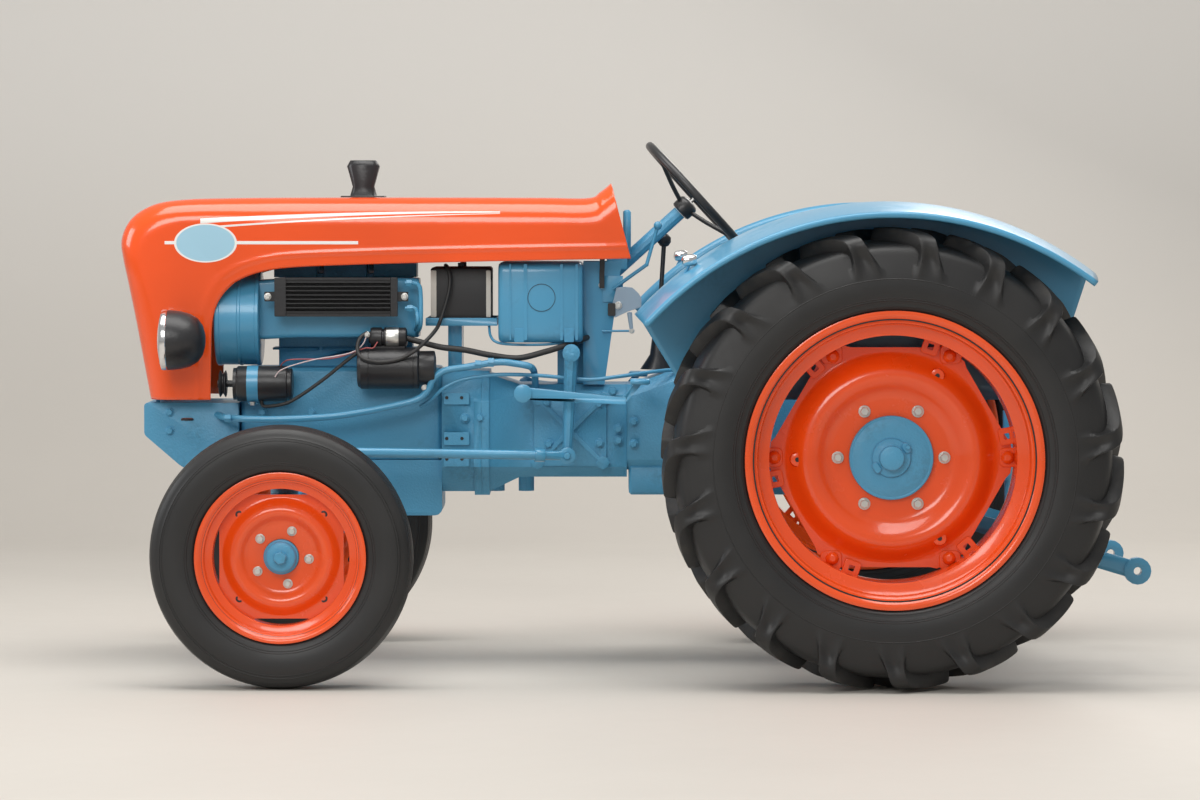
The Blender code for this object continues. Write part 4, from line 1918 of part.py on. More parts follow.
def headlamp(name, side):
    y = side * LAMP_Y
    long = LAMP_FRONT_X - LAMP_REAR_X
    profile = (
        (0, LAMP_FRONT_X),
        (LAMP_GLASS_RADIUS, LAMP_FRONT_X - LAMP_GLASS_RISE),
        (LAMP_RADIUS, LAMP_FRONT_X - LAMP_GLASS_RISE),
        (LAMP_RADIUS, LAMP_FRONT_X - long * LAMP_BOWL_SHARES[0]),
        (LAMP_BOWL_RADIUS, LAMP_FRONT_X - long * LAMP_BOWL_SHARES[1]),
        (LAMP_BACK_RADIUS * 2, LAMP_FRONT_X - long * LAMP_BOWL_SHARES[2]),
        (LAMP_BACK_RADIUS, LAMP_REAR_X),
        (0, LAMP_REAR_X),
    )
    body = turned(profile, (0, y, LAMP_Z), "X", FACETS_ROUND)
    fuse(
        body,
        rod_between(
            POST_FOOT_RADIUS, (POST_X, y, POST_FOOT_Z), (POST_X, y, LAMP_Z), end_radius=POST_TOP_RADIUS
        ),
    )
    inner = SUPPORT_HALF_WIDTH + TOUCH
    arm = (POST_X, side * (inner + LAMP_Y) / 2, POST_FOOT_Z + POST_ARM_TALL / 2)
    fuse(body, block((POST_ARM_WIDE, LAMP_Y - inner, POST_ARM_TALL), arm))
    return piece(name, body, BLACK)


# Fenders: an inner wall, a crown that drops outward and a rolled lip
FENDER_INNER_Y = 0.455
FENDER_OUTER_Y = 0.750
FENDER_WALL = 0.003
FENDER_ARC_X = -0.660
FENDER_ARC_DROP = 0.219
FENDER_REACH = 0.282
FENDER_CROWN_FALL = 0.026
FENDER_ARC_Z = REAR_TYRE_RADIUS - FENDER_ARC_DROP
FENDER_INNER_RADIUS = REAR_TYRE_RADIUS + FENDER_REACH
FENDER_OUTER_RADIUS = FENDER_INNER_RADIUS - FENDER_CROWN_FALL
FENDER_LIP = 0.014
FENDER_FRONT = math.radians(48.2)
FENDER_REAR = math.radians(-37.6)
FENDER_STEPS = 13
FENDER_CORNER = 0.016
FENDER_FOOT_FRONT_X = -0.1492
FENDER_FOOT_FRONT_Z = 0.7368
FENDER_FOOT_REAR_X = -1.080


def fender(name, side):
    """Sections fanned round the arc's centre, each from the inner wall's foot over the crown to the lip."""
    skin = bmesh.new()
    rings = []
    for step in range(FENDER_STEPS + 1):
        angle = FENDER_FRONT + (FENDER_REAR - FENDER_FRONT) * step / FENDER_STEPS
        across = math.sin(angle)
        up = math.cos(angle)
        share = step / FENDER_STEPS
        foot_x = FENDER_FOOT_FRONT_X + (FENDER_FOOT_REAR_X - FENDER_FOOT_FRONT_X) * share
        ring = [(foot_x, side * FENDER_INNER_Y, FENDER_FOOT_FRONT_Z)]
        columns = (
            (FENDER_INNER_RADIUS - FENDER_CORNER, FENDER_INNER_Y),
            (FENDER_INNER_RADIUS, FENDER_INNER_Y + FENDER_CORNER),
            (FENDER_OUTER_RADIUS, FENDER_OUTER_Y),
            (FENDER_OUTER_RADIUS - FENDER_LIP, FENDER_OUTER_Y),
        )
        for radius, y in columns:
            ring.append((FENDER_ARC_X + radius * across, side * y, FENDER_ARC_Z + radius * up))
        rings.append([skin.verts.new(point) for point in ring])
    for ring, following in zip(rings, rings[1:]):
        for index in range(len(ring) - 1):
            corners = (ring[index], ring[index + 1], following[index + 1], following[index])
            skin.faces.new(corners if side < 0 else corners[::-1])
    mesh = bpy.data.meshes.new(name)
    skin.to_mesh(mesh)
    skin.free()
    sheet = keep(name, mesh)
    wall = sheet.modifiers.new("wall", "SOLIDIFY")
    wall.thickness = FENDER_WALL
    wall.offset = -1
    return piece(name, sheet, BLUE)


# Seat: a pressed steel pan on a flat spring from the lift housing
SEAT_X = -0.600
SEAT_Z = 1.035
SEAT_HALF_LONG = 0.185
SEAT_HALF_WIDE = 0.215
SEAT_DEEP = 0.055
SEAT_BACK_RISE = 0.080
SEAT_WALL = 0.005
SEAT_RINGS = 3
SEAT_SPOKES = 16
SEAT_HUB = 0.045
SPRING_WIDE = 0.060
SPRING_THICK = 0.010
SPRING_FRONT_X = -0.480
SPRING_FOOT_X = -0.780


def seat():
    """A round dish that deepens to its middle and rises at the back, as rings round the middle."""
    skin = bmesh.new()
    middle = skin.verts.new((SEAT_X, 0, SEAT_Z))
    rings = []
    for ring_index in range(1, SEAT_RINGS + 1):
        share = ring_index / SEAT_RINGS
        ring = []
        for spoke in range(SEAT_SPOKES):
            angle = 2 * HALF_TURN * spoke / SEAT_SPOKES
            back = max(-math.cos(angle), 0)
            rise = SEAT_DEEP * share**3 + SEAT_BACK_RISE * back * share**4
            x = SEAT_X + SEAT_HALF_LONG * share * math.cos(angle)
            ring.append(skin.verts.new((x, SEAT_HALF_WIDE * share * math.sin(angle), SEAT_Z + rise)))
        rings.append(ring)
    for spoke in range(SEAT_SPOKES):
        after = (spoke + 1) % SEAT_SPOKES
        skin.faces.new((middle, rings[0][spoke], rings[0][after]))
        for ring, outer in zip(rings, rings[1:]):
            skin.faces.new((ring[spoke], outer[spoke], outer[after], ring[after]))
    mesh = bpy.data.meshes.new("seat")
    skin.to_mesh(mesh)
    skin.free()
    pan = keep("seat", mesh)
    wall = pan.modifiers.new("wall", "SOLIDIFY")
    wall.thickness = SEAT_WALL
    wall.offset = -1
    return piece("seat", pan, BLUE)


def seat_spring():
    top = SEAT_Z - SEAT_WALL - TOUCH
    foot = LIFT_TOP_Z + TOUCH
    thick = SPRING_THICK
    outline = (
        (SEAT_X - SEAT_HUB, top),
        (SEAT_X + SEAT_HUB, top),
        (SPRING_FRONT_X + thick, top - thick / 2),
        (SPRING_FRONT_X + 2 * thick, (top + foot) / 2),
        (SPRING_FRONT_X, foot),
        (SPRING_FOOT_X, foot),
        (SPRING_FOOT_X, foot + thick),
        (SPRING_FRONT_X - thick / 2, foot + thick),
        (SPRING_FRONT_X + thick, (top + foot) / 2),
        (SPRING_FRONT_X, top - 2 * thick),
        (SEAT_X + SEAT_HUB, top - thick),
        (SEAT_X - SEAT_HUB, top - thick),
    )
    return piece("seat_spring", prism(outline, SPRING_WIDE), BLACK)


# Controls: pedals on the gearbox's sides, gear lever and hand throttle
PEDAL_PIVOT_X = 0.2893
PEDAL_PIVOT_Z = 0.7457
PEDAL_PAD_X = -0.0211
PEDAL_PAD_Z = 0.7775
PEDAL_Y = 0.275
PEDAL_THICK = 0.014
PEDAL_END_THICK = PEDAL_THICK * 0.9
PEDAL_TALL = 0.026
PEDAL_ROOT_TALL = PEDAL_TALL * 1.3
PEDAL_BOSS_RADIUS = 0.024
PEDAL_SHAFT_RADIUS = 0.012
PEDAL_PAD_LONG = 0.052
PEDAL_PAD_WIDE = 0.090
PEDAL_PAD_THICK = 0.014
PEDAL_DIP_SHARE = 0.88
PEDAL_DIP = 0.020
GEAR_X = -0.070
GEAR_BASE_RADIUS = 0.046
GEAR_NECK_RADIUS = 0.020
GEAR_NECK_TOP_RADIUS = GEAR_NECK_RADIUS * 0.7
GEAR_BOOT_Z = 0.840
GEAR_NECK_Z = 0.885
GEAR_LEVER_RADIUS = 0.0065
GEAR_KNOB = (-0.090, -0.060, 1.150)
GEAR_KNOB_RADIUS = 0.020
THROTTLE_FOOT_Z = 1.020
THROTTLE_ELBOW = (-0.040, 1.085)
THROTTLE_KNOB = (-0.070, 1.190)
THROTTLE_RADIUS = 0.005
THROTTLE_HAND_RADIUS = THROTTLE_RADIUS * 0.98
THROTTLE_ELBOW_RADIUS = THROTTLE_RADIUS * 1.15
THROTTLE_KNOB_RADIUS = 0.012
THROTTLE_PLATE_LONG = 0.055
THROTTLE_PLATE_TALL = 0.070
THROTTLE_PLATE_THICK = 0.004


def pedal(name, side):
    y = side * PEDAL_Y
    inner = GEARBOX_HALF_WIDTH + TOUCH
    dip_x = PEDAL_PIVOT_X + (PEDAL_PAD_X - PEDAL_PIVOT_X) * PEDAL_DIP_SHARE
    dip_z = PEDAL_PIVOT_Z - PEDAL_DIP
    body = rod(PEDAL_BOSS_RADIUS, PEDAL_THICK * 2, (PEDAL_PIVOT_X, y, PEDAL_PIVOT_Z), "Y", FACETS_ROUND)
    fuse(
        body,
        bar_between(
            (PEDAL_PIVOT_X, PEDAL_PIVOT_Z), (dip_x, dip_z), y, PEDAL_THICK, PEDAL_ROOT_TALL, PEDAL_TALL * 0.7
        ),
    )
    fuse(
        body,
        bar_between(
            (dip_x + PEDAL_TALL / 4, dip_z),
            (PEDAL_PAD_X, PEDAL_PAD_Z),
            y,
            PEDAL_END_THICK,
            PEDAL_TALL * 0.68,
            PEDAL_TALL * 0.6,
        ),
    )
    fuse(
        body,
        block(
            (PEDAL_PAD_LONG, PEDAL_PAD_WIDE, PEDAL_PAD_THICK),
            (PEDAL_PAD_X, y, PEDAL_PAD_Z),
            edge=PEDAL_PAD_THICK / 4,
        ),
    )
    shaft = (PEDAL_PIVOT_X, side * (inner + PEDAL_Y) / 2, PEDAL_PIVOT_Z)
    fuse(body, rod(PEDAL_SHAFT_RADIUS, PEDAL_Y - inner, shaft, "Y"))
    return piece(name, body, BLUE)


def gear_lever():
    base = transmission_top_at(GEAR_X - GEAR_BASE_RADIUS) + TOUCH
    profile = (
        (0, GEAR_NECK_Z),
        (GEAR_NECK_TOP_RADIUS, GEAR_NECK_Z),
        (GEAR_NECK_RADIUS, GEAR_BOOT_Z),
        (GEAR_BASE_RADIUS, base),
        (0, base),
    )
    body = turned(profile, (GEAR_X, 0, 0), "Z", FACETS_SMALL + 4)
    fuse(body, rod_between(GEAR_LEVER_RADIUS, (GEAR_X, 0, GEAR_BOOT_Z), GEAR_KNOB, 8))
    fuse(body, ball(GEAR_KNOB_RADIUS, GEAR_KNOB, 10))
    return piece("gear_lever", body, BLACK)


def transmission_top_at(x):
    """The height of the rear transmission's top face, which rises behind its front flange."""
    start = GEARBOX_REAR_X - TOUCH - FLANGE_THICK
    share = min(max((start - x) / (start - TRANS_REAR_X / 4), 0), 1)
    return GEARBOX_TOP_Z + (TRANS_TOP_Z - GEARBOX_TOP_Z) * share


def throttle_lever():
    plate_y = SCUTTLE_HALF_WIDTH + TOUCH + THROTTLE_PLATE_THICK / 2
    plate_x = (SCUTTLE_REAR_X + SCUTTLE_FRONT_X) / 2 - THROTTLE_PLATE_LONG / 2
    plate = block(
        (THROTTLE_PLATE_LONG, THROTTLE_PLATE_THICK, THROTTLE_PLATE_TALL), (plate_x, plate_y, THROTTLE_FOOT_Z)
    )
    lever_y = plate_y + THROTTLE_RADIUS
    foot = (plate_x, lever_y, THROTTLE_FOOT_Z)
    elbow = (THROTTLE_ELBOW[0], lever_y, THROTTLE_ELBOW[1])
    knob = (THROTTLE_KNOB[0], lever_y, THROTTLE_KNOB[1])
    fuse(plate, rod_between(THROTTLE_RADIUS, foot, elbow, 8))
    fuse(plate, rod_between(THROTTLE_HAND_RADIUS, elbow, knob, 8), ball(THROTTLE_ELBOW_RADIUS, elbow, 8))
    fuse(plate, ball(THROTTLE_KNOB_RADIUS, knob, 10))
    return piece("throttle_lever", plate, BLUE)


# Build every piece
def build():
    support = front_support()
    hinge_ears(support)
    front_axle()
    tie_rod()
    steering_box()
    pitman_arm()
    drag_link()
    steering_wheel()
    engine_block()
    oil_sump()
    cooling_shroud()
    cylinder_bank()
    exhaust_manifold()
    oil_cooler()
    dynamo()
    starter_motor()
    battery()
    battery_tray()
    fuel_tank()
    scuttle()
    clutch_housing()
    gearbox()
    rear_transmission()
    lift_arms()
    bonnet()
    grille()
    exhaust_outlet()
    seat()
    seat_spring()
    pedal("clutch_pedal", 1)
    pedal("brake_pedal", -1)
    gear_lever()
    throttle_lever()
    for name, side in SIDES:
        rear_tyre("rear_tyre_" + name, side)
        rear_wheel("rear_wheel_" + name, side)
        rear_hub("rear_hub_" + name, side)
        front_tyre("front_tyre_" + name, side)
        front_wheel("front_wheel_" + name, side)
        front_hub("front_hub_" + name, side)
        knuckle("knuckle_" + name, side)
        rear_axle("rear_axle_" + name, side)
        lift_rod("lift_rod_" + name, side)
        lower_link("lower_link_" + name, side)
        headlamp("headlamp_" + name, side)
        fender("fender_" + name, side)


build()
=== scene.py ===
import json
import math

import bmesh
import bpy
import numpy as np
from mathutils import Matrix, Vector


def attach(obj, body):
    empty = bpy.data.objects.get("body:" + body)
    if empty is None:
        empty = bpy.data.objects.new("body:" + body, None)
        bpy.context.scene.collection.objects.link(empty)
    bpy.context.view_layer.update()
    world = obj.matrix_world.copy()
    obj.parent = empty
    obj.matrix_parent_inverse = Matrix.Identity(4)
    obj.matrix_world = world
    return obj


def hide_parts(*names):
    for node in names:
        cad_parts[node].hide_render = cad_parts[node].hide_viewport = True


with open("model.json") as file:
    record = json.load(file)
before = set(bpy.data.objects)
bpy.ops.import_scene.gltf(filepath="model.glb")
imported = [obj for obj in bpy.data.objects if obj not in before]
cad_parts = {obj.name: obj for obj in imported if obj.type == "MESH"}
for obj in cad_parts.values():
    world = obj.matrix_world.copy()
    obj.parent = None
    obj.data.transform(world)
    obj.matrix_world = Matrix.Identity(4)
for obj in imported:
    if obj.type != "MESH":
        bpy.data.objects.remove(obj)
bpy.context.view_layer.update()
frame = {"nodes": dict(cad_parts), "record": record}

# The view: a long lens on the tractor's left side at half its height, tipped slightly down,
# over a plain pale studio floor that sweeps up into a backdrop, as plaster and paint do.
CAMERA_AT = (0.085, 11.63, 1.226)
CAMERA_TILT = math.radians(2.51)
CAMERA_LENS = 128.6
FLOOR_HALF = 16.0
FLOOR_FRONT = 14.0
BACKDROP_Y = -6.5
BACKDROP_TALL = 9.0
BACKDROP_BEND = 2.4
FLOOR_COLOUR = (0.62, 0.585, 0.535)
WALL_COLOUR = (0.80, 0.78, 0.745)
SKY_COLOUR = (1.0, 0.995, 0.985)
SKY_LIGHT = 0.45
LAMPS = (
    # name, place, aimed at, size, watts, colour
    ("overhead", (0.4, 1.2, 5.2), (0.0, 0.0, 0.4), (5.0, 3.0), 215, (1.0, 0.985, 0.96)),
    ("camera_side", (1.8, 6.0, 3.6), (0.1, 0.4, 0.7), (3.2, 2.0), 125, (1.0, 0.99, 0.97)),
    ("nose_side", (6.0, 0.5, 2.8), (0.8, 0.0, 0.8), (2.4, 2.0), 70, (0.97, 0.98, 1.0)),
    ("far_side", (-2.5, -4.5, 3.8), (-0.2, 0.0, 0.8), (3.0, 1.6), 90, (1.0, 0.97, 0.94)),
)

camera_data = bpy.data.cameras.new("side_view")
camera_data.sensor_width = 36.0
camera_data.lens = CAMERA_LENS
camera = bpy.data.objects.new("side_view", camera_data)
camera.location = CAMERA_AT
camera.rotation_euler = (math.pi / 2 - CAMERA_TILT, 0, math.pi)
bpy.context.scene.collection.objects.link(camera)
bpy.context.scene.camera = camera
bpy.context.scene.view_settings.view_transform = "Standard"

for lamp_name, lamp_at, lamp_aim, lamp_size, lamp_watts, lamp_colour in LAMPS:
    lamp_data = bpy.data.lights.new(lamp_name, "AREA")
    lamp_data.shape = "RECTANGLE"
    lamp_data.size, lamp_data.size_y = lamp_size
    lamp_data.energy = lamp_watts
    lamp_data.color = lamp_colour
    lamp = bpy.data.objects.new(lamp_name, lamp_data)
    lamp.location = lamp_at
    lamp.rotation_euler = (Vector(lamp_aim) - Vector(lamp_at)).to_track_quat("-Z", "Y").to_euler()
    bpy.context.scene.collection.objects.link(lamp)


class Value:
    """A shader socket; Python arithmetic on it adds the Math nodes."""

    def __init__(self, finish, socket):
        self.finish = finish
        self.socket = socket

    def math(self, operation, *others):
        values = dict(enumerate((self, *others)))
        return self.finish.node("Math", values, {"operation": operation})

    def __add__(self, other):
        return self.math("ADD", other)

    def __sub__(self, other):
        return self.math("SUBTRACT", other)

    def __mul__(self, other):
        return self.math("MULTIPLY", other)

    def __truediv__(self, other):
        return self.math("DIVIDE", other)

    def __rsub__(self, other):
        return self.finish.node("Math", {0: other, 1: self}, {"operation": "SUBTRACT"})

    __radd__ = __add__
    __rmul__ = __mul__

    def step(self, low, high):
        """Nought below low, one above high, and a smooth change between them."""
        values = {"Value": self, "From Min": low, "From Max": high}
        return self.finish.node("MapRange", values, {"interpolation_type": "SMOOTHSTEP"})

    def within(self, low, high, soft):
        """One between low and high, nought outside them."""
        return self.step(low - soft, low + soft) * (1 - self.step(high - soft, high + soft))


class Finish:
    """One material's nodes; node() adds any node by its type, socket values and settings."""

    def __init__(self, name, metallic=0.0, coat=0.0):
        self.material = bpy.data.materials.new(name)
        self.material.use_nodes = True
        self.tree = self.material.node_tree
        self.shader = self.tree.nodes["Principled BSDF"]
        self.shader.inputs["Metallic"].default_value = metallic
        self.shader.inputs["Coat Weight"].default_value = coat
        self.place = self.node("TexCoord", output="Object")

    def node(self, kind, values=None, settings=None, output=0):
        made = self.tree.nodes.new("ShaderNode" + kind)
        for key, value in (settings or {}).items():
            setattr(made, key, value)
        for key, value in (values or {}).items():
            if isinstance(value, Value):
                self.tree.links.new(value.socket, made.inputs[key])
            else:
                made.inputs[key].default_value = value
        return Value(self, made.outputs[output])

    def axes(self):
        """The object's X, Y and Z at the shaded point."""
        split = self.node("SeparateXYZ", {0: self.place}).socket.node
        return [Value(self, split.outputs[index]) for index in range(3)]

    def noise(self, scale, detail=3.0, stretch=(1, 1, 1)):
        """Soft random blotches of 1 / scale metres, from nought to one."""
        place = self.place
        if stretch != (1, 1, 1):
            place = self.node("Mapping", {"Vector": self.place, "Scale": stretch})
        return self.node("TexNoise", {"Vector": place, "Scale": scale, "Detail": detail})

    def mix(self, share, first, second):
        """The first colour where share is nought, the second where it is one."""
        values = {"Factor": share, 6: colour_of(first), 7: colour_of(second)}
        return self.node("Mix", values, {"data_type": "RGBA"}, output=2)

    def feed(self, **sockets):
        """Gives the shader its colour, roughness and other sockets."""
        for key, value in sockets.items():
            name = key.replace("_", " ").title()
            if isinstance(value, Value):
                self.tree.links.new(value.socket, self.shader.inputs[name])
            else:
                self.shader.inputs[name].default_value = colour_of(value)
        return self.material

    def bump(self, height, distance, strength=1.0):
        values = {"Height": height, "Distance": distance, "Strength": strength}
        self.tree.links.new(self.node("Bump", values).socket, self.shader.inputs["Normal"])


def colour_of(value):
    """A three-part colour gets its alpha; a number or a socket stays as it is."""
    return (*value, 1.0) if isinstance(value, tuple) and len(value) == 3 else value


def studio_floor():
    """Sweep: X runs across; the other parameter goes along the floor, round a quarter bend and up."""
    flat = np.linspace(FLOOR_FRONT, BACKDROP_Y + BACKDROP_BEND, 12)
    turn = np.linspace(0, math.pi / 2, 24)
    rise = np.linspace(BACKDROP_BEND, BACKDROP_TALL, 8)
    bend = BACKDROP_Y + BACKDROP_BEND * (1 - np.sin(turn[1:]))
    y = np.concatenate([flat, bend, 0 * rise[1:] + BACKDROP_Y])
    z = np.concatenate([0 * flat, BACKDROP_BEND * (1 - np.cos(turn[1:])), rise[1:]])
    x = np.linspace(-FLOOR_HALF, FLOOR_HALF, 9)
    grid = np.stack([np.tile(x, (len(y), 1)), *(np.repeat(v[:, None], len(x), 1) for v in (y, z))], -1)
    mesh = bpy.data.meshes.new("studio_floor")
    mesh.from_pydata(grid.reshape(-1, 3).tolist(), [], grid_faces(len(y), len(x), False, False).tolist())
    mesh.shade_smooth()
    floor = bpy.data.objects.new("studio_floor", mesh)
    bpy.context.scene.collection.objects.link(floor)
    plaster = Finish("pale_plaster")
    _, _, height = plaster.axes()
    cloud = plaster.noise(0.9, 5.0).step(0.30, 0.75)
    floor_tone = plaster.mix(cloud * 0.5, FLOOR_COLOUR, tuple(0.93 * part for part in FLOOR_COLOUR))
    tone = plaster.mix(height.step(0.0, BACKDROP_BEND), floor_tone, WALL_COLOUR)
    plaster.bump(plaster.noise(60.0, 4.0), 0.0006, 0.3)
    mesh.materials.append(plaster.feed(base_color=tone, roughness=0.55 + 0.15 * plaster.noise(14.0)))


def grid_faces(rows, columns, close_rows=False, close_columns=True):
    """Quads between the neighbours of a grid of points, closed round in either direction."""
    row, column = np.meshgrid(
        np.arange(rows if close_rows else rows - 1),
        np.arange(columns if close_columns else columns - 1),
        indexing="ij",
    )
    row_after = (row + 1) % rows
    column_after = (column + 1) % columns
    corners = [(row, column), (row, column_after), (row_after, column_after), (row_after, column)]
    return np.stack([at * columns + across for at, across in corners], -1).reshape(-1, 4)


studio_floor()
sky = bpy.data.worlds.new("studio_air")
sky.use_nodes = True
sky_nodes = sky.node_tree.nodes
sky_light = sky_nodes["Background"]
sky_light.inputs["Color"].default_value = (*SKY_COLOUR, 1)
sky_light.inputs["Strength"].default_value = SKY_LIGHT
bpy.context.scene.world = sky


# Engine, clutch housing, gearbox and rear drive: iron castings bolted face to face, with the
# grain of sand moulds left under one coat of light blue paint that dulls where oil mist settles.
BLUE = (0.075, 0.315, 0.515)
BLUE_GRIME = (0.040, 0.140, 0.205)
SHARE_LIGHTER = 1.08
SHARE_DARKER = 0.90
MERGE = 0.000002
CASTING_EDGE = 0.0035
BODY_OF = {node: body for body, nodes in frame["record"]["behaviour"]["bodies"].items() for node in nodes}


def painted(name, colour, grime, roughness, grain_scale, grain_deep, grime_share=0.5, coat=0.0):
    """Paint: a tone that drifts, thin grime in blotches, and the grain of what lies under it."""
    finish = Finish(name, coat=coat)
    drift = finish.noise(2.6, 2.0)
    soiled = finish.noise(8.0, 6.0).step(0.52, 0.78)
    fine = finish.noise(90.0, 2.0)
    lighter = tuple(min(1.0, SHARE_LIGHTER * part) for part in colour)
    darker = tuple(SHARE_DARKER * part for part in colour)
    tone = finish.mix(drift.step(0.25, 0.75), darker, lighter)
    tone = finish.mix(soiled * grime_share * fine.step(0.3, 0.7), tone, grime)
    finish.bump(finish.noise(grain_scale, 3.0), grain_deep)
    finish.feed(base_color=tone, roughness=roughness + 0.16 * soiled + 0.06 * fine)
    return finish


def show(mesh, name, finish, body, stands_for=(), smooth=35.0, soften=0.0):
    """Puts a finished mesh in the scene as one piece that rides on a body."""
    shape = bmesh.new()
    shape.from_mesh(mesh)
    bmesh.ops.remove_doubles(shape, verts=shape.verts, dist=MERGE)
    bmesh.ops.dissolve_degenerate(shape, edges=shape.edges, dist=MERGE)
    if not stands_for or not soften:
        bmesh.ops.recalc_face_normals(shape, faces=shape.faces)
    shape.to_mesh(mesh)
    shape.free()
    mesh.shade_smooth()
    mesh.set_sharp_from_angle(angle=math.radians(smooth))
    mesh.materials.clear()
    mesh.materials.append(finish.material)
    made = bpy.data.objects.new(name, mesh)
    bpy.context.scene.collection.objects.link(made)
    if soften:
        edge = made.modifiers.new("soft_edges", "BEVEL")
        edge.width = soften
        edge.segments = 2
        edge.angle_limit = math.radians(smooth)
        edge.harden_normals = True
    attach(made, body)
    if stands_for:
        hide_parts(*stands_for)
    return made


def softened(node, finish, edge=CASTING_EDGE, smooth=35.0):
    """A copy of a CAD node with its doubled corners merged and its edges rounded."""
    mesh = frame["nodes"][node].data.copy()
    mesh.normals_split_custom_set_from_vertices([(0, 0, 0)] * len(mesh.vertices))
    return show(mesh, node + "_cast", finish, BODY_OF[node], (node,), smooth, edge)


cast_blue = painted("cast_blue", BLUE, BLUE_GRIME, 0.36, 190.0, 0.0012)
for casting in (
    "engine_block", "oil_sump", "clutch_housing", "gearbox", "rear_transmission", "rear_axle_left",
    "rear_axle_right", "front_support", "front_axle", "knuckle_left", "knuckle_right", "steering_box",
    "pitman_arm", "cylinder_bank",
):
    softened(casting, cast_blue)

# Cooling air: a spun sheet drum round the fan with rolled beads, and a pressed duct that leads
# the air along the cylinders, both spot welded at their seams and painted with the engine.
CHASSIS = BODY_OF["engine_block"]
FORWARD = (1, 0, 0)
DRUM_AT = (0.9965, 0.062, 0.9408)
DRUM_FACETS = 72
DRUM_PROFILE = [
    (0, 0.001), (0.124, 0.001), (0.1283, 0.003), (0.1283, 0.011), (0.1262, 0.013), (0.1262, 0.050),
    (0.1283, 0.052), (0.1283, 0.058), (0.1262, 0.060), (0.1262, 0.106), (0.1283, 0.108), (0.1283, 0.117),
    (0.125, 0.120), (0.078, 0.120), (0.071, 0.115), (0.070, 0.020), (0.024, 0.018), (0.022, 0.100),
    (0, 0.104),
]
# Where each section of the duct stands along X, its middle's Y and Z, its width and its height
DUCT_STATIONS = [
    (0.570, 0.083, 0.970, 0.112, 0.154), (0.574, 0.083, 0.970, 0.117, 0.159),
    (0.640, 0.083, 0.970, 0.118, 0.160), (0.900, 0.083, 0.970, 0.118, 0.160),
    (0.985, 0.083, 0.965, 0.118, 0.160), (1.000, 0.083, 0.965, 0.116, 0.158),
]
DUCT_BEADS = (0.700, 0.800, 0.900)
DUCT_BEAD_HALF = 0.005
DUCT_BEAD_FOOT = (0.083, 0.970, 0.117, 0.159)
DUCT_BEAD_CREST = (0.083, 0.970, 0.1195, 0.161)


def basis(axis):
    """Two unit vectors square to an axis, and the axis made a unit vector."""
    along = np.asarray(axis, float) / np.linalg.norm(axis)
    helper = (0.0, 0.0, 1.0) if abs(along[2]) < 0.9 else (1.0, 0.0, 0.0)
    first = np.cross(helper, along)
    first /= np.linalg.norm(first)
    return first, np.cross(along, first), along


def lathe(profile, at, axis, facets=48, phase=0.0, ring=False):
    """A profile of (radius, along) turned about an axis: point = at + radius (cos, sin) + along."""
    first, second, along = basis(axis)
    profile = np.asarray(profile, float)
    angle = phase + np.linspace(0, 2 * np.pi, facets, endpoint=False)
    round_way = np.cos(angle)[:, None] * first + np.sin(angle)[:, None] * second
    grid = np.asarray(at, float) + profile[:, :1, None] * round_way + profile[:, 1:, None] * along
    return grid, ring, True


def round_rect(wide, tall, corner, steps=5):
    """Corner points of a rectangle whose corners are arcs."""
    angle = np.linspace(0, np.pi / 2, steps)
    arcs = []
    for quarter, (x, y) in enumerate(((1, 1), (-1, 1), (-1, -1), (1, -1))):
        turned = angle + quarter * np.pi / 2
        across = x * (wide / 2 - corner) + corner * np.cos(turned)
        up = y * (tall / 2 - corner) + corner * np.sin(turned)
        arcs.append(np.stack([across, up], -1))
    return np.concatenate(arcs)


def mesh_of(name, parts):
    """One mesh of many grids of points."""
    points = []
    faces = []
    count = 0
    for grid, close_rows, close_columns in parts:
        rows, columns = grid.shape[:2]
        points.append(grid.reshape(-1, 3))
        faces.append(grid_faces(rows, columns, close_rows, close_columns) + count)
        count += rows * columns
    mesh = bpy.data.meshes.new(name)
    mesh.from_pydata(np.concatenate(points).tolist(), [], np.concatenate(faces).tolist())
    return mesh


def add(name, parts, finish, body, stands_for=(), smooth=35.0):
    return show(mesh_of(name, parts), name, finish, body, stands_for, smooth)


def duct(stations, corner=0.012):
    """Rounded rectangles (x, y, z, wide, tall) along X with closed ends: point = middle + outline."""
    rows = []
    for x, y, z, wide, tall in stations:
        outline = round_rect(wide, tall, corner)
        rows.append(np.column_stack([np.full(len(outline), x), y + outline[:, 0], z + outline[:, 1]]))
    ends = [np.broadcast_to(row.mean(0), row.shape) for row in (rows[0], rows[-1])]
    return np.stack([ends[0], *rows, ends[1]]), False, True


sheet_blue = painted("sheet_blue", BLUE, BLUE_GRIME, 0.26, 26.0, 0.0004, 0.25, coat=0.25)
drum = [lathe(DRUM_PROFILE, DRUM_AT, FORWARD, DRUM_FACETS), duct(DUCT_STATIONS)]
for x in DUCT_BEADS:
    crest = (x, *DUCT_BEAD_CREST)
    drum.append(duct([(x - DUCT_BEAD_HALF, *DUCT_BEAD_FOOT), crest, (x + DUCT_BEAD_HALF, *DUCT_BEAD_FOOT)]))
add("shroud_drum_and_duct", drum, sheet_blue, CHASSIS, ("cooling_shroud",))

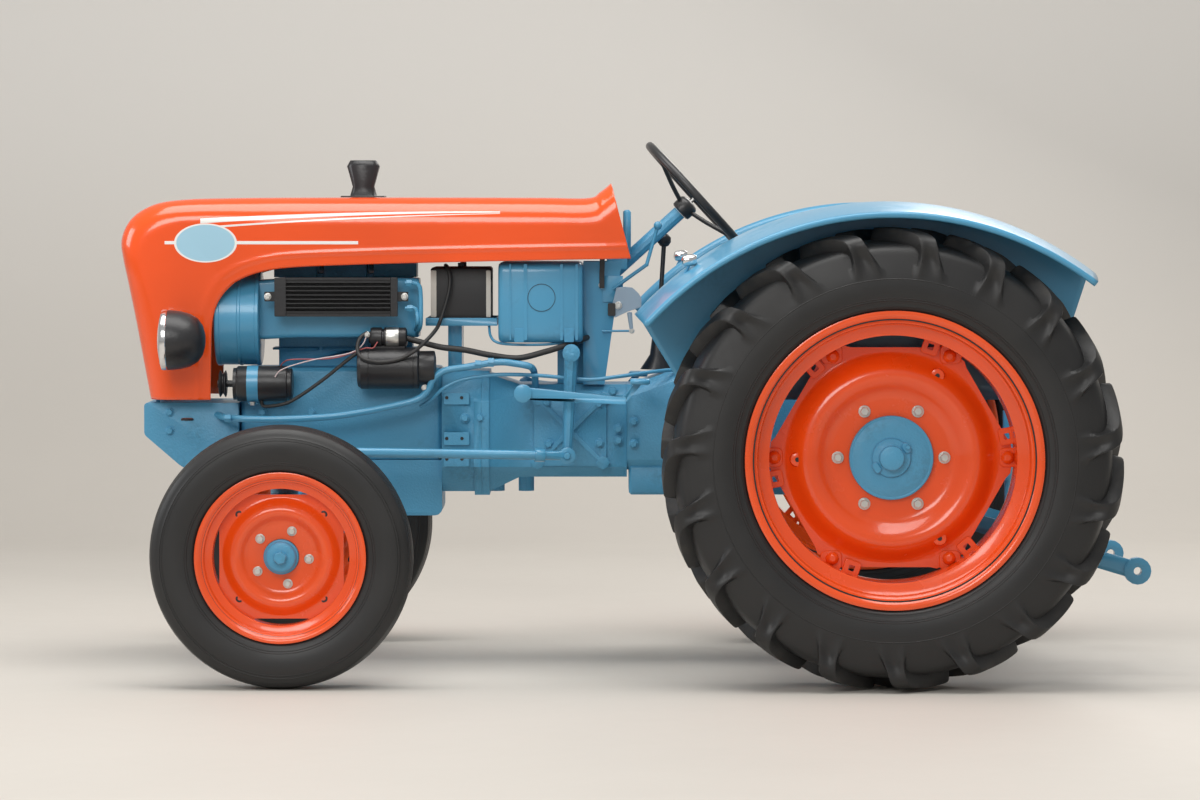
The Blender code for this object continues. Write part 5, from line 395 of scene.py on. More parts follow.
# Oil cooler: flat tubes with folded fins between two end tanks, dipped in black enamel and held
# by an ear with one zinc plated screw at each end.
BLACK = (0.018, 0.018, 0.020)
DUST = (0.070, 0.064, 0.056)
ZINC_TONES = ((0.58, 0.58, 0.55), (0.74, 0.73, 0.70))
TO_LEFT = (0, 1, 0)
PLATE_EDGE = 0.0008
COOLER_X = (0.6244, 0.9525)
COOLER_Z = (0.9478, 1.0517)
CORE_X = (0.6428, 0.9218)
COOLER_Y = 0.199
COOLER_PLATES = (
    # X from-to, Z from-to, depth
    ((COOLER_X[0], CORE_X[0]), COOLER_Z, 0.0236),
    ((CORE_X[1], COOLER_X[1]), COOLER_Z, 0.0236),
    (CORE_X, (COOLER_Z[0], COOLER_Z[0] + 0.006), 0.022),
    (CORE_X, (COOLER_Z[1] - 0.006, COOLER_Z[1]), 0.022),
    ((0.6420, 0.9225), (0.9520, 1.0480), 0.012),
    ((0.9500, 0.9800), (0.9880, 1.0140), 0.004),
    ((0.5960, 0.6260), (0.9880, 1.0140), 0.004),
)
TUBES_Z = np.linspace(0.9600, 1.0395, 8)
TUBE_HALF = 0.0016
TUBE_DEEP = 0.0200
TUBE_CORNER = 0.001
FINS_Z = np.linspace(0.9657, 1.0338, 7)
FIN_POINTS = 1117
FIN_RISE = 0.0038
FIN_HALF_DEEP = 0.009
COOLER_SCREWS = ((0.9708, 0.2012, 1.0008), (0.606, 0.2012, 1.0008))
COOLER_SCREW_SIZE = 0.013


def slab(outline, thick, at, axis, bevel=0.0015, spin=0.0):
    """A flat outline with a thickness. Its rings are the middle, the bevel's inner edge and the rim
    on one face, then the same back on the other."""
    first, second, along = basis(axis)
    outline = np.asarray(outline, float)
    turn = np.array([[np.cos(spin), -np.sin(spin)], [np.sin(spin), np.cos(spin)]])
    outline = outline @ turn.T
    middle = outline.mean(0)
    reach = np.linalg.norm(outline - middle, axis=1, keepdims=True)
    inner = middle + (outline - middle) * (1 - bevel / reach)
    centre = np.broadcast_to(middle, outline.shape)
    rings = [centre, inner, outline, outline, inner, centre]
    depth = [thick / 2, thick / 2, thick / 2 - bevel, bevel - thick / 2, -thick / 2, -thick / 2]
    rows = []
    for ring, deep in zip(rings, depth):
        rows.append(at + ring[:, :1] * first + ring[:, 1:] * second + along * deep)
    return np.stack(rows), False, True


def plate(x, y, z, deep, corner=0.003):
    """A flat part that fills X from-to and Z from-to, and stands on Y with a depth."""
    wide, tall = x[1] - x[0], z[1] - z[0]
    middle = ((x[0] + x[1]) / 2, y, (z[0] + z[1]) / 2)
    outline = round_rect(tall, wide, min(corner, wide / 3, tall / 3))[:, ::-1] * (-1, 1)
    return slab(outline, deep, middle, TO_LEFT, PLATE_EDGE)


def bolt(at, axis, size, washer=True, spin=0.3):
    """A hexagon head, size across its flats, with a chamfered crown, on its washer."""
    radius = size / 1.732
    tall = 0.62 * size
    base = 0.14 * size if washer else 0.0
    flank = base + 0.86 * tall
    crown = base + tall
    head = [(0, base), (radius, base), (radius, flank), (0.84 * radius, crown), (0, crown)]
    parts = [lathe(head, at, axis, 6, spin)]
    if washer:
        rim = 1.32 * radius
        disc = [(0, -0.001), (rim, -0.001), (rim, 0.10 * size), (1.22 * radius, base), (0, base)]
        parts.append(lathe(disc, at, axis, 18))
    return parts


def fin_strip(z):
    """A ribbon folded to and fro: its height steps between z + rise and z - rise along the core."""
    point = np.arange(FIN_POINTS)
    along = CORE_X[0] + np.linspace(0, 1, FIN_POINTS) * (CORE_X[1] - CORE_X[0])
    height = z + FIN_RISE * np.sign(np.sin(point * np.pi / 2 + 0.3))
    strip = np.column_stack([along, np.full(FIN_POINTS, COOLER_Y), height])
    return np.stack([strip + (0, -FIN_HALF_DEEP, 0), strip + (0, FIN_HALF_DEEP, 0)]), False, False


black_paint = painted("black_enamel", BLACK, DUST, 0.32, 120.0, 0.0005, 0.3)
zinc = Finish("zinc_plate", metallic=1.0)
zinc_tone = zinc.mix(zinc.noise(160.0), *ZINC_TONES)
zinc.feed(base_color=zinc_tone, roughness=0.26 + 0.22 * zinc.noise(70.0))
zinc.bump(zinc.noise(300.0), 0.0003)
cooler = [plate(x, COOLER_Y, z, deep) for x, z, deep in COOLER_PLATES]
cooler += [plate(CORE_X, COOLER_Y, (z - TUBE_HALF, z + TUBE_HALF), TUBE_DEEP, TUBE_CORNER) for z in TUBES_Z]
add("cooler_tanks_and_tubes", cooler, black_paint, CHASSIS, ("oil_cooler",))
add("cooler_fins", [fin_strip(z) for z in FINS_Z], black_paint, CHASSIS)
cooler_screws = [part for at in COOLER_SCREWS for part in bolt(at, TO_LEFT, COOLER_SCREW_SIZE)]
add("cooler_screws", cooler_screws, zinc, CHASSIS)

# Belt-driven dynamo, starter and its switch: drawn steel cans in black enamel with pressed end
# caps; the dynamo is clamped in a blue strap, the starter is bolted to the clutch housing.
DYNAMO_AT = (0.9069, 0.172, 0.7674)
DYNAMO_CAN = [
    (0, 0), (0.038, 0), (0.0415, 0.003), (0.0415, 0.013), (0.0470, 0.015), (0.0475, 0.018), (0.0475, 0.145),
    (0.0465, 0.147), (0.0425, 0.150), (0.0425, 0.158), (0.030, 0.159), (0.010, 0.1592), (0, 0.1592),
]
PULLEY_AT = (1.0832, 0.172, 0.7674)
PULLEY = [
    (0, -0.024), (0.009, -0.024), (0.009, 0.0), (0.030, 0.0), (0.0360, 0.002), (0.0350, 0.004),
    (0.026, 0.0095), (0.026, 0.0105), (0.0350, 0.016), (0.0360, 0.018), (0.030, 0.020), (0.011, 0.020),
    (0.011, 0.024), (0, 0.024),
]
DYNAMO_STRAP_AT = (0.9976, 0.172, 0.7674)
DYNAMO_STRAP = [(0.0470, 0.0), (0.0487, 0.0), (0.0487, 0.030), (0.0470, 0.030)]
DYNAMO_FACETS = 56
DYNAMO_BRACKET = ((1.000, 1.026), 0.150, (0.712, 0.724), 0.060)
DYNAMO_SCREW_AT = (1.0128, 0.190, 0.7185)
SMALL_NUT = 0.011
STARTER_AT = (0.5225, 0.180, 0.810)
STARTER_CAN = [
    (0, 0.001), (0.030, 0.001), (0.0445, 0.004), (0.0459, 0.008), (0.0459, 0.044), (0.0530, 0.046),
    (0.0555, 0.049), (0.0555, 0.058), (0.0545, 0.0585), (0.0545, 0.0605), (0.0560, 0.061),
    (0.0560, 0.178), (0.0550, 0.179), (0.0550, 0.181), (0.0560, 0.1815), (0.0560, 0.200), (0.0530, 0.204),
    (0.0500, 0.2085), (0.040, 0.211), (0, 0.2115),
]
STARTER_FACETS = 64
SWITCH_AT = (0.600, 0.186, 0.892)
SWITCH_CAN = [
    (0, 0.0), (0.019, 0.0), (0.0255, 0.003), (0.0265, 0.006), (0.0268, 0.060), (0.0225, 0.062),
    (0.0225, 0.066), (0.0268, 0.068), (0.0268, 0.092), (0.0240, 0.0975), (0.015, 0.0985), (0.015, 0.1027),
    (0, 0.1027),
]
SWITCH_FACETS = 44
SWITCH_FOOT = ((0.605, 0.690), 0.183, (0.862, 0.870), 0.030)
BAND_AT = (0.622, 0.186, 0.892)
BAND = [(0.0266, 0.0), (0.0272, 0.001), (0.0272, 0.033), (0.0266, 0.034)]
STARTER_NUTS = ((0.7065, 0.206, 0.900), (0.5530, 0.206, 0.758))
dynamo = [
    lathe(DYNAMO_CAN, DYNAMO_AT, FORWARD, DYNAMO_FACETS),
    lathe(PULLEY, PULLEY_AT, FORWARD, DYNAMO_FACETS),
]
add("dynamo_can_and_pulley", dynamo, black_paint, CHASSIS, ("dynamo",))
strap = [lathe(DYNAMO_STRAP, DYNAMO_STRAP_AT, FORWARD, DYNAMO_FACETS, ring=True), plate(*DYNAMO_BRACKET)]
add("dynamo_strap", strap, sheet_blue, CHASSIS)
add("dynamo_strap_screw", bolt(DYNAMO_SCREW_AT, (0, 0, -1), SMALL_NUT), zinc, CHASSIS)
starter = [
    lathe(STARTER_CAN, STARTER_AT, FORWARD, STARTER_FACETS),
    lathe(SWITCH_CAN, SWITCH_AT, FORWARD, SWITCH_FACETS),
    plate(*SWITCH_FOOT),
]
add("starter_and_switch", starter, black_paint, CHASSIS, ("starter_motor",))
bands = [lathe(BAND, BAND_AT, FORWARD, SWITCH_FACETS, ring=True)]
bands += [part for at in STARTER_NUTS for part in bolt(at, TO_LEFT, SMALL_NUT)]
add("starter_band_and_nuts", bands, zinc, CHASSIS)

# Battery: a moulded black case that stands in a folded sheet tray, with end walls moulded in a
# paler plastic.
CASE_BLACK = (0.022, 0.022, 0.024)
CASE_PALE = (0.66, 0.62, 0.56)
CASE_PALE_GRIME = (0.38, 0.34, 0.29)
CASE_EDGE = 0.004
END_WALLS_X = ((0.5240, 0.5392), (0.3782, 0.3905))
END_WALL_Z = (0.9440, 1.0700)
END_WALL_Y = 0.1246
END_WALL_DEEP = 0.0020
battery_case = painted("battery_case", CASE_BLACK, DUST, 0.42, 220.0, 0.0002, 0.15)
softened("battery", battery_case, CASE_EDGE)
pale_case = painted("pale_case", CASE_PALE, CASE_PALE_GRIME, 0.5, 160.0, 0.0003, 0.25)
ends = [plate(x, END_WALL_Y, END_WALL_Z, END_WALL_DEEP) for x in END_WALLS_X]
add("battery_end_walls", ends, pale_case, CHASSIS)

# Fuel tank on two sling straps: two drawn shells welded, with rolled stiffening beads and a thin
# ring drawn on its flank.
TANK_MIDDLE = (0.0, 0.9848)
TANK_STATIONS = [
    # X, width, height
    (0.1306, 0.356, 0.192), (0.1322, 0.368, 0.204), (0.1370, 0.376, 0.212), (0.1460, 0.379, 0.2155),
    (0.3415, 0.379, 0.2155), (0.3505, 0.376, 0.212), (0.3553, 0.368, 0.204), (0.3569, 0.356, 0.192),
]
TANK_CORNER = 0.026
TANK_BEADS = ((0.3221, 0.3268), (0.2792, 0.2888), (0.1840, 0.1912), (0.1436, 0.1507))
TANK_BEAD = (0.1896, (0.884, 1.088), 0.0030, 0.0022)
TANK_STRAPS = ((0.2880, 0.3140), (0.1545, 0.1805))
TANK_STRAP = (0.1900, (0.8790, 0.9154), 0.0044, 0.003)
TANK_RING_AT = (0.2412, 0.1900, 0.9978)
TANK_RING = [(0.0357, 0.0), (0.0370, 0.0), (0.0370, 0.0008), (0.0357, 0.0008)]
tank = duct([(x, *TANK_MIDDLE, wide, tall) for x, wide, tall in TANK_STATIONS], TANK_CORNER)
add("fuel_tank_shell", [tank], sheet_blue, CHASSIS, ("fuel_tank",))
beads = [plate(x, *TANK_BEAD) for x in TANK_BEADS] + [plate(x, *TANK_STRAP) for x in TANK_STRAPS]
add("tank_beads_and_straps", beads, sheet_blue, CHASSIS)
ring_outline = [lathe(TANK_RING, TANK_RING_AT, TO_LEFT, 64, ring=True)]
add("tank_ring", ring_outline, black_paint, CHASSIS)

# Steel pipes in the engine's blue, bent cold with flare nuts, and the loom: rubber-covered
# battery cables and thin coloured wires, fixed at both ends. Points are (X, Z), then the depths Y.
THICK_PIPE = [
    (1.1157, 0.684), (1.0708, 0.6759), (0.9482, 0.6738), (0.8257, 0.6791), (0.7439, 0.689), (0.6418, 0.7086),
    (0.5723, 0.727), (0.5440, 0.752), (0.5290, 0.781), (0.4984, 0.8036), (0.4413, 0.8132), (0.3603, 0.826),
    (0.3127, 0.8227), (0.2698, 0.8132), (0.2600, 0.790), (0.2580, 0.750),
]
THICK_DEPTH = np.interp(np.arange(16), (0, 1, 2, 13, 14, 15), (0.130, 0.190, 0.205, 0.205, 0.150, 0.110))
THIN_PIPE = [
    (0.5657, 0.7054), (0.5371, 0.7245), (0.5036, 0.7555), (0.4607, 0.777), (0.4082, 0.7875),
    (0.3606, 0.7923), (0.2986, 0.7923), (0.2318, 0.7889), (0.1174, 0.7794), (0.0411, 0.7866),
    (-0.0542, 0.7985), (-0.1162, 0.8033),
]
THIN_DEPTH = np.interp(np.arange(12), (0, 1, 2, 9, 11), (0.150, 0.180, 0.196, 0.190, 0.120))
FUEL_PIPE = [
    (0.3829, 0.9214), (0.3782, 0.8951), (0.3614, 0.8783), (0.3184, 0.8721), (0.2323, 0.8721),
    (0.1701, 0.8790),
]
FUEL_DEPTH = (0.120, 0.150, 0.165, 0.165, 0.165, 0.155)
UPPER_COOLER_PIPE = [
    (0.6050, 1.0375), (0.5835, 1.0375), (0.5700, 1.0320), (0.5640, 1.0100), (0.5640, 0.9300),
    (0.5760, 0.9000),
]
UPPER_COOLER_DEPTH = (0.192,) * 5 + (0.138,)
LOWER_COOLER_PIPE = [
    (0.6050, 0.9702), (0.5816, 0.9702), (0.5740, 0.9600), (0.5720, 0.9300), (0.5800, 0.9120),
]
LOWER_COOLER_DEPTH = (0.196,) * 4 + (0.138,)
PIPE_NUTS = (
    # place, axis, radius, length
    ((0.402, 0.205, 0.8203), (1, 0, 0.02), 0.0125, 0.016),
    ((0.368, 0.205, 0.8255), (1, 0, 0.02), 0.0135, 0.016),
    ((1.070, 0.205, 0.6760), (1, 0, 0.02), 0.0115, 0.016),
    ((0.5870, 0.194, 1.0375), FORWARD, 0.0095, 0.014),
    ((0.5850, 0.194, 0.9702), FORWARD, 0.0095, 0.014),
)
BATTERY_CABLE = [
    (0.5000, 1.0830), (0.494, 1.0770), (0.4869, 1.0485), (0.4917, 1.0056), (0.511, 0.9398), (0.5224, 0.9133),
    (0.5469, 0.8847), (0.5796, 0.8562), (0.6204, 0.835), (0.6693, 0.8276), (0.706, 0.8337), (0.7264, 0.848),
    (0.7304, 0.8725), (0.7222, 0.8929), (0.7058, 0.9051),
]
BATTERY_DEPTH = np.interp(
    np.arange(15), (0, 1, 4, 6, 10, 13, 14), (0.100, 0.131, 0.160, 0.232, 0.244, 0.212, 0.204)
)
REAR_CABLE = [
    (0.6030, 0.8900), (0.5654, 0.8796), (0.5082, 0.8653), (0.4463, 0.8581), (0.3748, 0.8438),
    (0.3033, 0.8366), (0.2318, 0.8533), (0.1698, 0.8724), (0.1341, 0.8843), (0.1180, 0.8900),
]
REAR_CABLE_DEPTH = (0.186,) * 7 + (0.176, 0.150, 0.118)
DYNAMO_CABLE = [
    (0.9900, 0.7220), (0.9808, 0.7080), (0.9277, 0.7147), (0.8868, 0.7352), (0.8254, 0.7781),
    (0.7845, 0.8108), (0.7435, 0.8434), (0.7260, 0.8500),
]
DYNAMO_CABLE_DEPTH = (0.182, 0.192) + (0.205,) * 5 + (0.198,)
RED_WIRE = [
    (0.9400, 0.8130), (0.9300, 0.8250), (0.9061, 0.8336), (0.8246, 0.8348), (0.7838, 0.8397),
    (0.743, 0.8519), (0.7103, 0.8642), (0.6899, 0.8642), (0.6776, 0.8805),
]
RED_DEPTH = (0.175, 0.190) + (0.212,) * 7
PALE_WIRE = [
    (0.9508, 0.7868), (0.9385, 0.8031), (0.9058, 0.8174), (0.8446, 0.8337), (0.7835, 0.8439),
    (0.7427, 0.8541), (0.7182, 0.8725), (0.7079, 0.8929),
]
PALE_DEPTH = 0.216
WIRE_RADIUS = 0.0016


def curve_through(points, count):
    """Catmull-Rom: each stretch leaves and meets its ends along the chord of their neighbours."""
    points = np.asarray(points, float)
    padded = np.concatenate([2 * points[:1] - points[1:2], points, 2 * points[-1:] - points[-2:-1]])
    place = np.linspace(0, len(points) - 1, count)
    index = np.minimum(place.astype(int), len(points) - 2)
    t = (place - index)[:, None]
    a, b, c, d = (padded[index + shift] for shift in range(4))
    return 0.5 * (2 * b + (c - a) * t + (2 * a - 5 * b + 4 * c - d) * t**2 + (3 * b - 3 * c + d - a) * t**3)


def tube(path, radius, facets=12):
    """A round section carried along a path; each end is closed by a shallow cone."""
    path = np.asarray(path, float)
    tangent = np.gradient(path, axis=0)
    tangent /= np.linalg.norm(tangent, axis=1, keepdims=True)
    helper = np.linalg.svd(tangent - tangent.mean(0))[2][-1] if len(path) > 2 else basis(tangent[0])[0]
    first = np.cross(tangent, np.cross(helper, tangent))
    first /= np.linalg.norm(first, axis=1, keepdims=True)
    second = np.cross(tangent, first)
    angle = np.linspace(0, 2 * np.pi, facets, endpoint=False)
    across = np.cos(angle)[None, :, None] * first[:, None]
    round_way = across + np.sin(angle)[None, :, None] * second[:, None]
    radii = np.broadcast_to(np.asarray(radius, float), (len(path),))[:, None, None]
    grid = path[:, None] + radii * round_way
    low = path[:1, None] - tangent[:1, None] * radii[:1] * 0.3
    high = path[-1:, None] + tangent[-1:, None] * radii[-1:] * 0.3
    caps = [np.repeat(end, facets, axis=1) for end in (low, high)]
    return np.concatenate([caps[0], grid, caps[1]]), False, True


def run(points, y, radius, count=72, facets=12):
    """A pipe along points (x, z) at a depth y: its path is the smooth curve through them."""
    flat = np.array([(x, y if np.isscalar(y) else y[index], z) for index, (x, z) in enumerate(points)])
    return tube(curve_through(flat, count), radius, facets)


pipes = [
    run(THICK_PIPE, THICK_DEPTH, 0.0092, 110, 16),
    run(THIN_PIPE, THIN_DEPTH, 0.0052, 96),
    run(FUEL_PIPE, FUEL_DEPTH, 0.0036),
    run(UPPER_COOLER_PIPE, UPPER_COOLER_DEPTH, 0.0062),
    run(LOWER_COOLER_PIPE, LOWER_COOLER_DEPTH, 0.0055),
]
for at, axis, radius, long in PIPE_NUTS:
    pipes.append(lathe([(0, 0), (radius, 0), (radius, long), (0, long)], at, axis, 6))
add("engine_pipes", pipes, sheet_blue, CHASSIS)
cable_rubber = painted("cable_rubber", (0.022, 0.021, 0.021), DUST, 0.45, 260.0, 0.0003, 0.3)
cables = [
    run(BATTERY_CABLE, BATTERY_DEPTH, 0.0052, 120),
    run(REAR_CABLE, REAR_CABLE_DEPTH, 0.0080, 90),
    run(DYNAMO_CABLE, DYNAMO_CABLE_DEPTH, 0.0048),
]
add("cables", cables, cable_rubber, CHASSIS)
for wire, points, depth, colour, grime in (
    ("red_wire", RED_WIRE, RED_DEPTH, (0.42, 0.10, 0.10), (0.12, 0.05, 0.05)),
    ("pale_wire", PALE_WIRE, PALE_DEPTH, (0.62, 0.50, 0.50), (0.2, 0.15, 0.15)),
):
    insulation = painted(wire, colour, grime, 0.4, 200.0, 0.0001, 0.2)
    add(wire, [run(points, depth, WIRE_RADIUS, 64, 8)], insulation, CHASSIS)

# Bolted joints of the castings: hexagon heads in the castings' paint, and drilled lugs on the
# clutch housing that attachments can be bolted to. Each drilled hole is a thin black disc on its
# lug: painted shade where the hole goes in.
CASTING_BOLTS = (
    (0.4472, 0.172, 0.6758), (0.4066, 0.172, 0.6768), (0.2287, 0.142, 0.7166), (0.223, 0.142, 0.6048),
    (0.0888, 0.142, 0.7127), (0.0864, 0.142, 0.6072), (-0.0046, 0.142, 0.6648), (-0.0046, 0.142, 0.6048),
    (0.0361, 0.142, 0.6144), (0.0361, 0.142, 0.6456), (0.0505, 0.142, 0.7463),
)
CASTING_BOLT_SIZE = 0.017
LUG_X = (0.4345, 0.503)
LUGS_Z = ((0.7117, 0.7428), (0.6031, 0.6375), (0.5456, 0.5801))
LUG_Y = 0.172
LUG_DEEP = 0.006
DRILLINGS = (
    (0.4949, 0.7299), (0.4552, 0.7299), (0.495, 0.6208), (0.4544, 0.6208), (0.4951, 0.5658),
    (0.4545, 0.5658),
)
DRILLING_Y = 0.1751
# A thin black disc, painted shade, that stands for each drilled hole
LUG_HOLE_SHADE = [(0, 0.0002), (0.0042, 0.0002), (0.0046, 0.0006), (0.0046, 0), (0, 0)]
fixings = [part for at in CASTING_BOLTS for part in bolt(at, TO_LEFT, CASTING_BOLT_SIZE)]
add("casting_bolts", fixings, cast_blue, CHASSIS)
lugs = [plate(LUG_X, LUG_Y, z, LUG_DEEP) for z in LUGS_Z]
add("housing_lugs", lugs, cast_blue, CHASSIS)
hole_shade = [lathe(LUG_HOLE_SHADE, (x, DRILLING_Y, z), TO_LEFT, 20) for x, z in DRILLINGS]
add("lug_hole_shade", hole_shade, black_paint, CHASSIS)

# Rear tyres: moulded black rubber drive tyres. Slanting bars stand on each half of the tread, those
# of one half set between those of the other, and each bar ends over the shoulder in two thin fins.
REAR_AXLE = np.array((-0.665, 0.0, 0.594))
REAR_WHEEL_Y = 0.630
TYRE_HALF_WIDE = 0.1417
LUGS_PER_SIDE = 19
LUG_LAG = 0.215
# Across one pitch, in shares of it: where a column stands, the bar's height there, and the fins'
LUG_COLUMNS = np.array((
    (0.000, 0.00, 0.00), (0.034, 0.90, 0.86), (0.050, 1.00, 1.00), (0.088, 1.00, 0.66), (0.125, 1.00, 0.34),
    (0.1675, 1.00, 0.28), (0.210, 1.00, 0.34), (0.247, 1.00, 0.66), (0.285, 1.00, 1.00), (0.301, 0.90, 0.86),
    (0.335, 0.00, 0.00), (0.416, 0.00, 0.00),
))
LUG_MIDDLE = 0.1675
# From the tread's middle to the bead: out from the middle, radius, bar height, share of the lag,
# share of the bar's width, share of fins against a plain bar
TREAD_ROWS = np.array((
    (0.0000, 0.5635, 0.000, 0.00, 1.00, 0.0), (0.0050, 0.5635, 0.000, 0.02, 1.00, 0.0),
    (0.0110, 0.5635, 0.026, 0.05, 1.00, 0.0), (0.0160, 0.5634, 0.0302, 0.08, 1.00, 0.0),
    (0.0400, 0.5622, 0.0306, 0.24, 1.00, 0.0), (0.0680, 0.5590, 0.0312, 0.46, 1.02, 0.0),
    (0.0920, 0.5540, 0.0325, 0.68, 1.02, 0.0), (0.1090, 0.5475, 0.0330, 0.86, 0.98, 0.0),
    (0.1180, 0.5400, 0.0310, 0.95, 0.92, 0.10), (0.1235, 0.5310, 0.0240, 1.00, 0.92, 0.55),
    (0.1275, 0.5200, 0.0160, 1.03, 1.02, 1.00), (0.1315, 0.5060, 0.0110, 1.06, 1.18, 1.00),
    (0.1350, 0.4920, 0.0068, 1.08, 1.36, 1.00), (0.1382, 0.4770, 0.0028, 1.10, 1.50, 1.00),
    (0.1402, 0.4640, 0.0000, 1.10, 1.56, 1.0), (0.1412, 0.4490, 0.0000, 1.10, 1.56, 1.0),
    (0.1406, 0.4340, 0.0000, 1.10, 1.56, 1.0), (0.1380, 0.4190, 0.0000, 1.10, 1.56, 1.0),
    (0.1335, 0.4050, 0.0000, 1.10, 1.56, 1.0), (0.1300, 0.3990, 0.0000, 1.10, 1.56, 1.0),
    (0.1292, 0.3950, 0.0000, 1.10, 1.56, 1.0), (0.1250, 0.3880, 0.0000, 1.10, 1.56, 1.0),
    (0.1195, 0.3840, 0.0000, 1.10, 1.56, 1.0), (0.1175, 0.3760, 0.0000, 1.10, 1.56, 1.0),
    (0.1172, 0.3575, 0.0000, 1.10, 1.56, 1.0),
))
TREAD_ROW_COUNT = 44
RUBBER_BLACK = (0.0125, 0.0125, 0.0130)
RUBBER_BLOOM = (0.0260, 0.0250, 0.0240)
RUBBER_DUST = (0.0620, 0.0560, 0.0480)
REAR_RINGS = ((0.4080, 0.0012, 1.0), (0.4135, 0.0008, 0.8), (0.3925, 0.0010, 1.0), (0.4630, 0.0010, 0.5))
REAR_DUST_RADIUS = 0.555
SIDES = (("left", 1), ("right", -1))


def drive_tyre(middle):
    """Half the tyre is a grid: columns round the wheel, sheared by the bars' lag, and rows from
    the tread's middle to the bead. A point stands off the carcass, along the outline's normal, by the
    row's bar height times the column's height. The other half is the same, half a pitch on."""
    rows = curve_through(TREAD_ROWS, TREAD_ROW_COUNT)
    rows[:, 2] = np.maximum(rows[:, 2], 0.0)
    slope = np.gradient(rows[:, :2], axis=0)
    normal = np.stack([-slope[:, 1], slope[:, 0]], -1)
    normal /= np.linalg.norm(normal, axis=1, keepdims=True)
    normal[0] = (0.0, 1.0)
    columns = np.concatenate([LUG_COLUMNS, LUG_COLUMNS * (1, 0, 0) + (0.5, 0, 0)])
    columns = columns[np.argsort(columns[:, 0], kind="stable")]
    shares = columns[:, 0]
    width = rows[:, 4:5]
    foot = LUG_MIDDLE - LUG_MIDDLE * width
    toe = LUG_MIDDLE + LUG_MIDDLE * width
    in_bar = LUG_MIDDLE + (shares - LUG_MIDDLE) * width
    in_gap = toe + (shares - 2 * LUG_MIDDLE) / (1 - 2 * LUG_MIDDLE) * (1 + foot - toe)
    placed = np.where(shares <= 2 * LUG_MIDDLE, in_bar, in_gap)
    plain = columns[:, 1] + 0 * placed
    fins = columns[:, 2] + 0 * placed
    height = rows[:, 2:3] * (plain + (fins - plain) * np.clip(rows[:, 5:6], 0, 1))
    height = np.tile(height, (1, LUGS_PER_SIDE))
    pitch = np.repeat(np.arange(LUGS_PER_SIDE), len(shares))
    share = np.tile(placed, (1, LUGS_PER_SIDE)) + pitch
    angle = 2 * np.pi * share / LUGS_PER_SIDE + LUG_LAG * rows[:, 3:4] * -1
    radius = rows[:, 1:2] + normal[:, 1:] * height
    out = np.minimum(rows[:, :1] + normal[:, :1] * height, TYRE_HALF_WIDE)
    shift = len(shares) // 2
    far_angle = np.roll(angle + np.pi / LUGS_PER_SIDE, shift, axis=1)
    turned = np.concatenate([angle[::-1], far_angle[1:]])
    radius = np.concatenate([radius[::-1], np.roll(radius, shift, axis=1)[1:]])
    out = np.concatenate([out[::-1], -np.roll(out, shift, axis=1)[1:]])
    grid = np.stack([radius * np.sin(turned), out, radius * np.cos(turned)], -1) + middle
    return grid, True, True


def tyre_rubber(name, middle, rings, dust_radius):
    """Black rubber: moulded rings round the sidewall as bump, dust on the tread, and a bloom below."""
    rubber = Finish(name)
    x, _, z = rubber.axes()
    across = x - float(middle[0])
    up = z - float(middle[2])
    radius = (across * across + up * up).math("SQRT")
    bloom = rubber.noise(6.0, 5.0).step(0.40, 0.72)
    worn = radius.step(dust_radius, dust_radius + 0.035) * rubber.noise(28.0, 4.0).step(0.42, 0.66)
    tone = rubber.mix(bloom * 0.35, RUBBER_BLACK, RUBBER_BLOOM)
    tone = rubber.mix(worn * 0.4, tone, RUBBER_DUST)
    relief = 0.12 * rubber.noise(240.0, 3.0)
    for ring, half, tall in rings:
        relief = relief + tall * radius.within(ring - half, ring + half, 0.0006)
    rubber.bump(relief, 0.0016)
    rubber.feed(base_color=tone, roughness=0.44 + 0.20 * bloom + 0.12 * worn)
    return rubber


drive_rubber = tyre_rubber("drive_tyre_rubber", REAR_AXLE, REAR_RINGS, REAR_DUST_RADIUS)
for name, side in SIDES:
    node = "rear_tyre_" + name
    middle = REAR_AXLE + (0, side * REAR_WHEEL_Y, 0)
    add(node + "_moulded", [drive_tyre(middle)], drive_rubber, BODY_OF[node], (node,), 38.0)

# Rear wheels: a rolled steel drop-centre rim with six pairs of welded ears, and a pressed disc whose
# six corners are bolted to them, all sprayed orange.
ORANGE = (0.86, 0.085, 0.006)
ORANGE_GRIME = (0.42, 0.045, 0.008)
# Radius and distance out from the wheel's middle, along the rim's air side and back over its tyre side
REAR_RIM = (
    (0.3590, 0.1165), (0.3800, 0.1180), (0.3822, 0.1205), (0.3815, 0.1240), (0.3770, 0.1254),
    (0.3700, 0.1242), (0.3640, 0.1205), (0.3585, 0.1130), (0.3545, 0.1085), (0.3500, 0.1050),
    (0.3485, 0.0900), (0.3470, 0.0760), (0.3400, 0.0690), (0.3260, 0.0640), (0.3175, 0.0590),
    (0.3165, 0.0400),
)
REAR_RIM_BACK = ((0.3205, 0.0400), (0.3530, 0.0800), (0.3545, 0.1110))
# Radius and height of the disc's outer face over its seat on the hub
REAR_DISC = (
    (0.050, 0.000), (0.150, 0.000), (0.160, 0.001), (0.170, 0.006), (0.180, 0.014), (0.192, 0.024),
    (0.204, 0.0315), (0.214, 0.034), (0.224, 0.0325), (0.236, 0.026), (0.248, 0.013), (0.258, 0.001),
    (0.266, -0.006), (0.274, -0.0092), (0.284, -0.0100), (0.310, -0.0100),
)
REAR_DISC_Y = 0.600
REAR_DISC_WALL = 0.006
REAR_DISC_CHORD = 0.284
REAR_DISC_REACH = 0.312
REAR_DISC_LOBE = math.radians(9.0)
REAR_BOLT_CIRCLE = 0.1375
EAR_RADIUS = 0.303
EAR_HOLE_ANGLE = math.radians(10.5)
EAR_OUT = -0.026
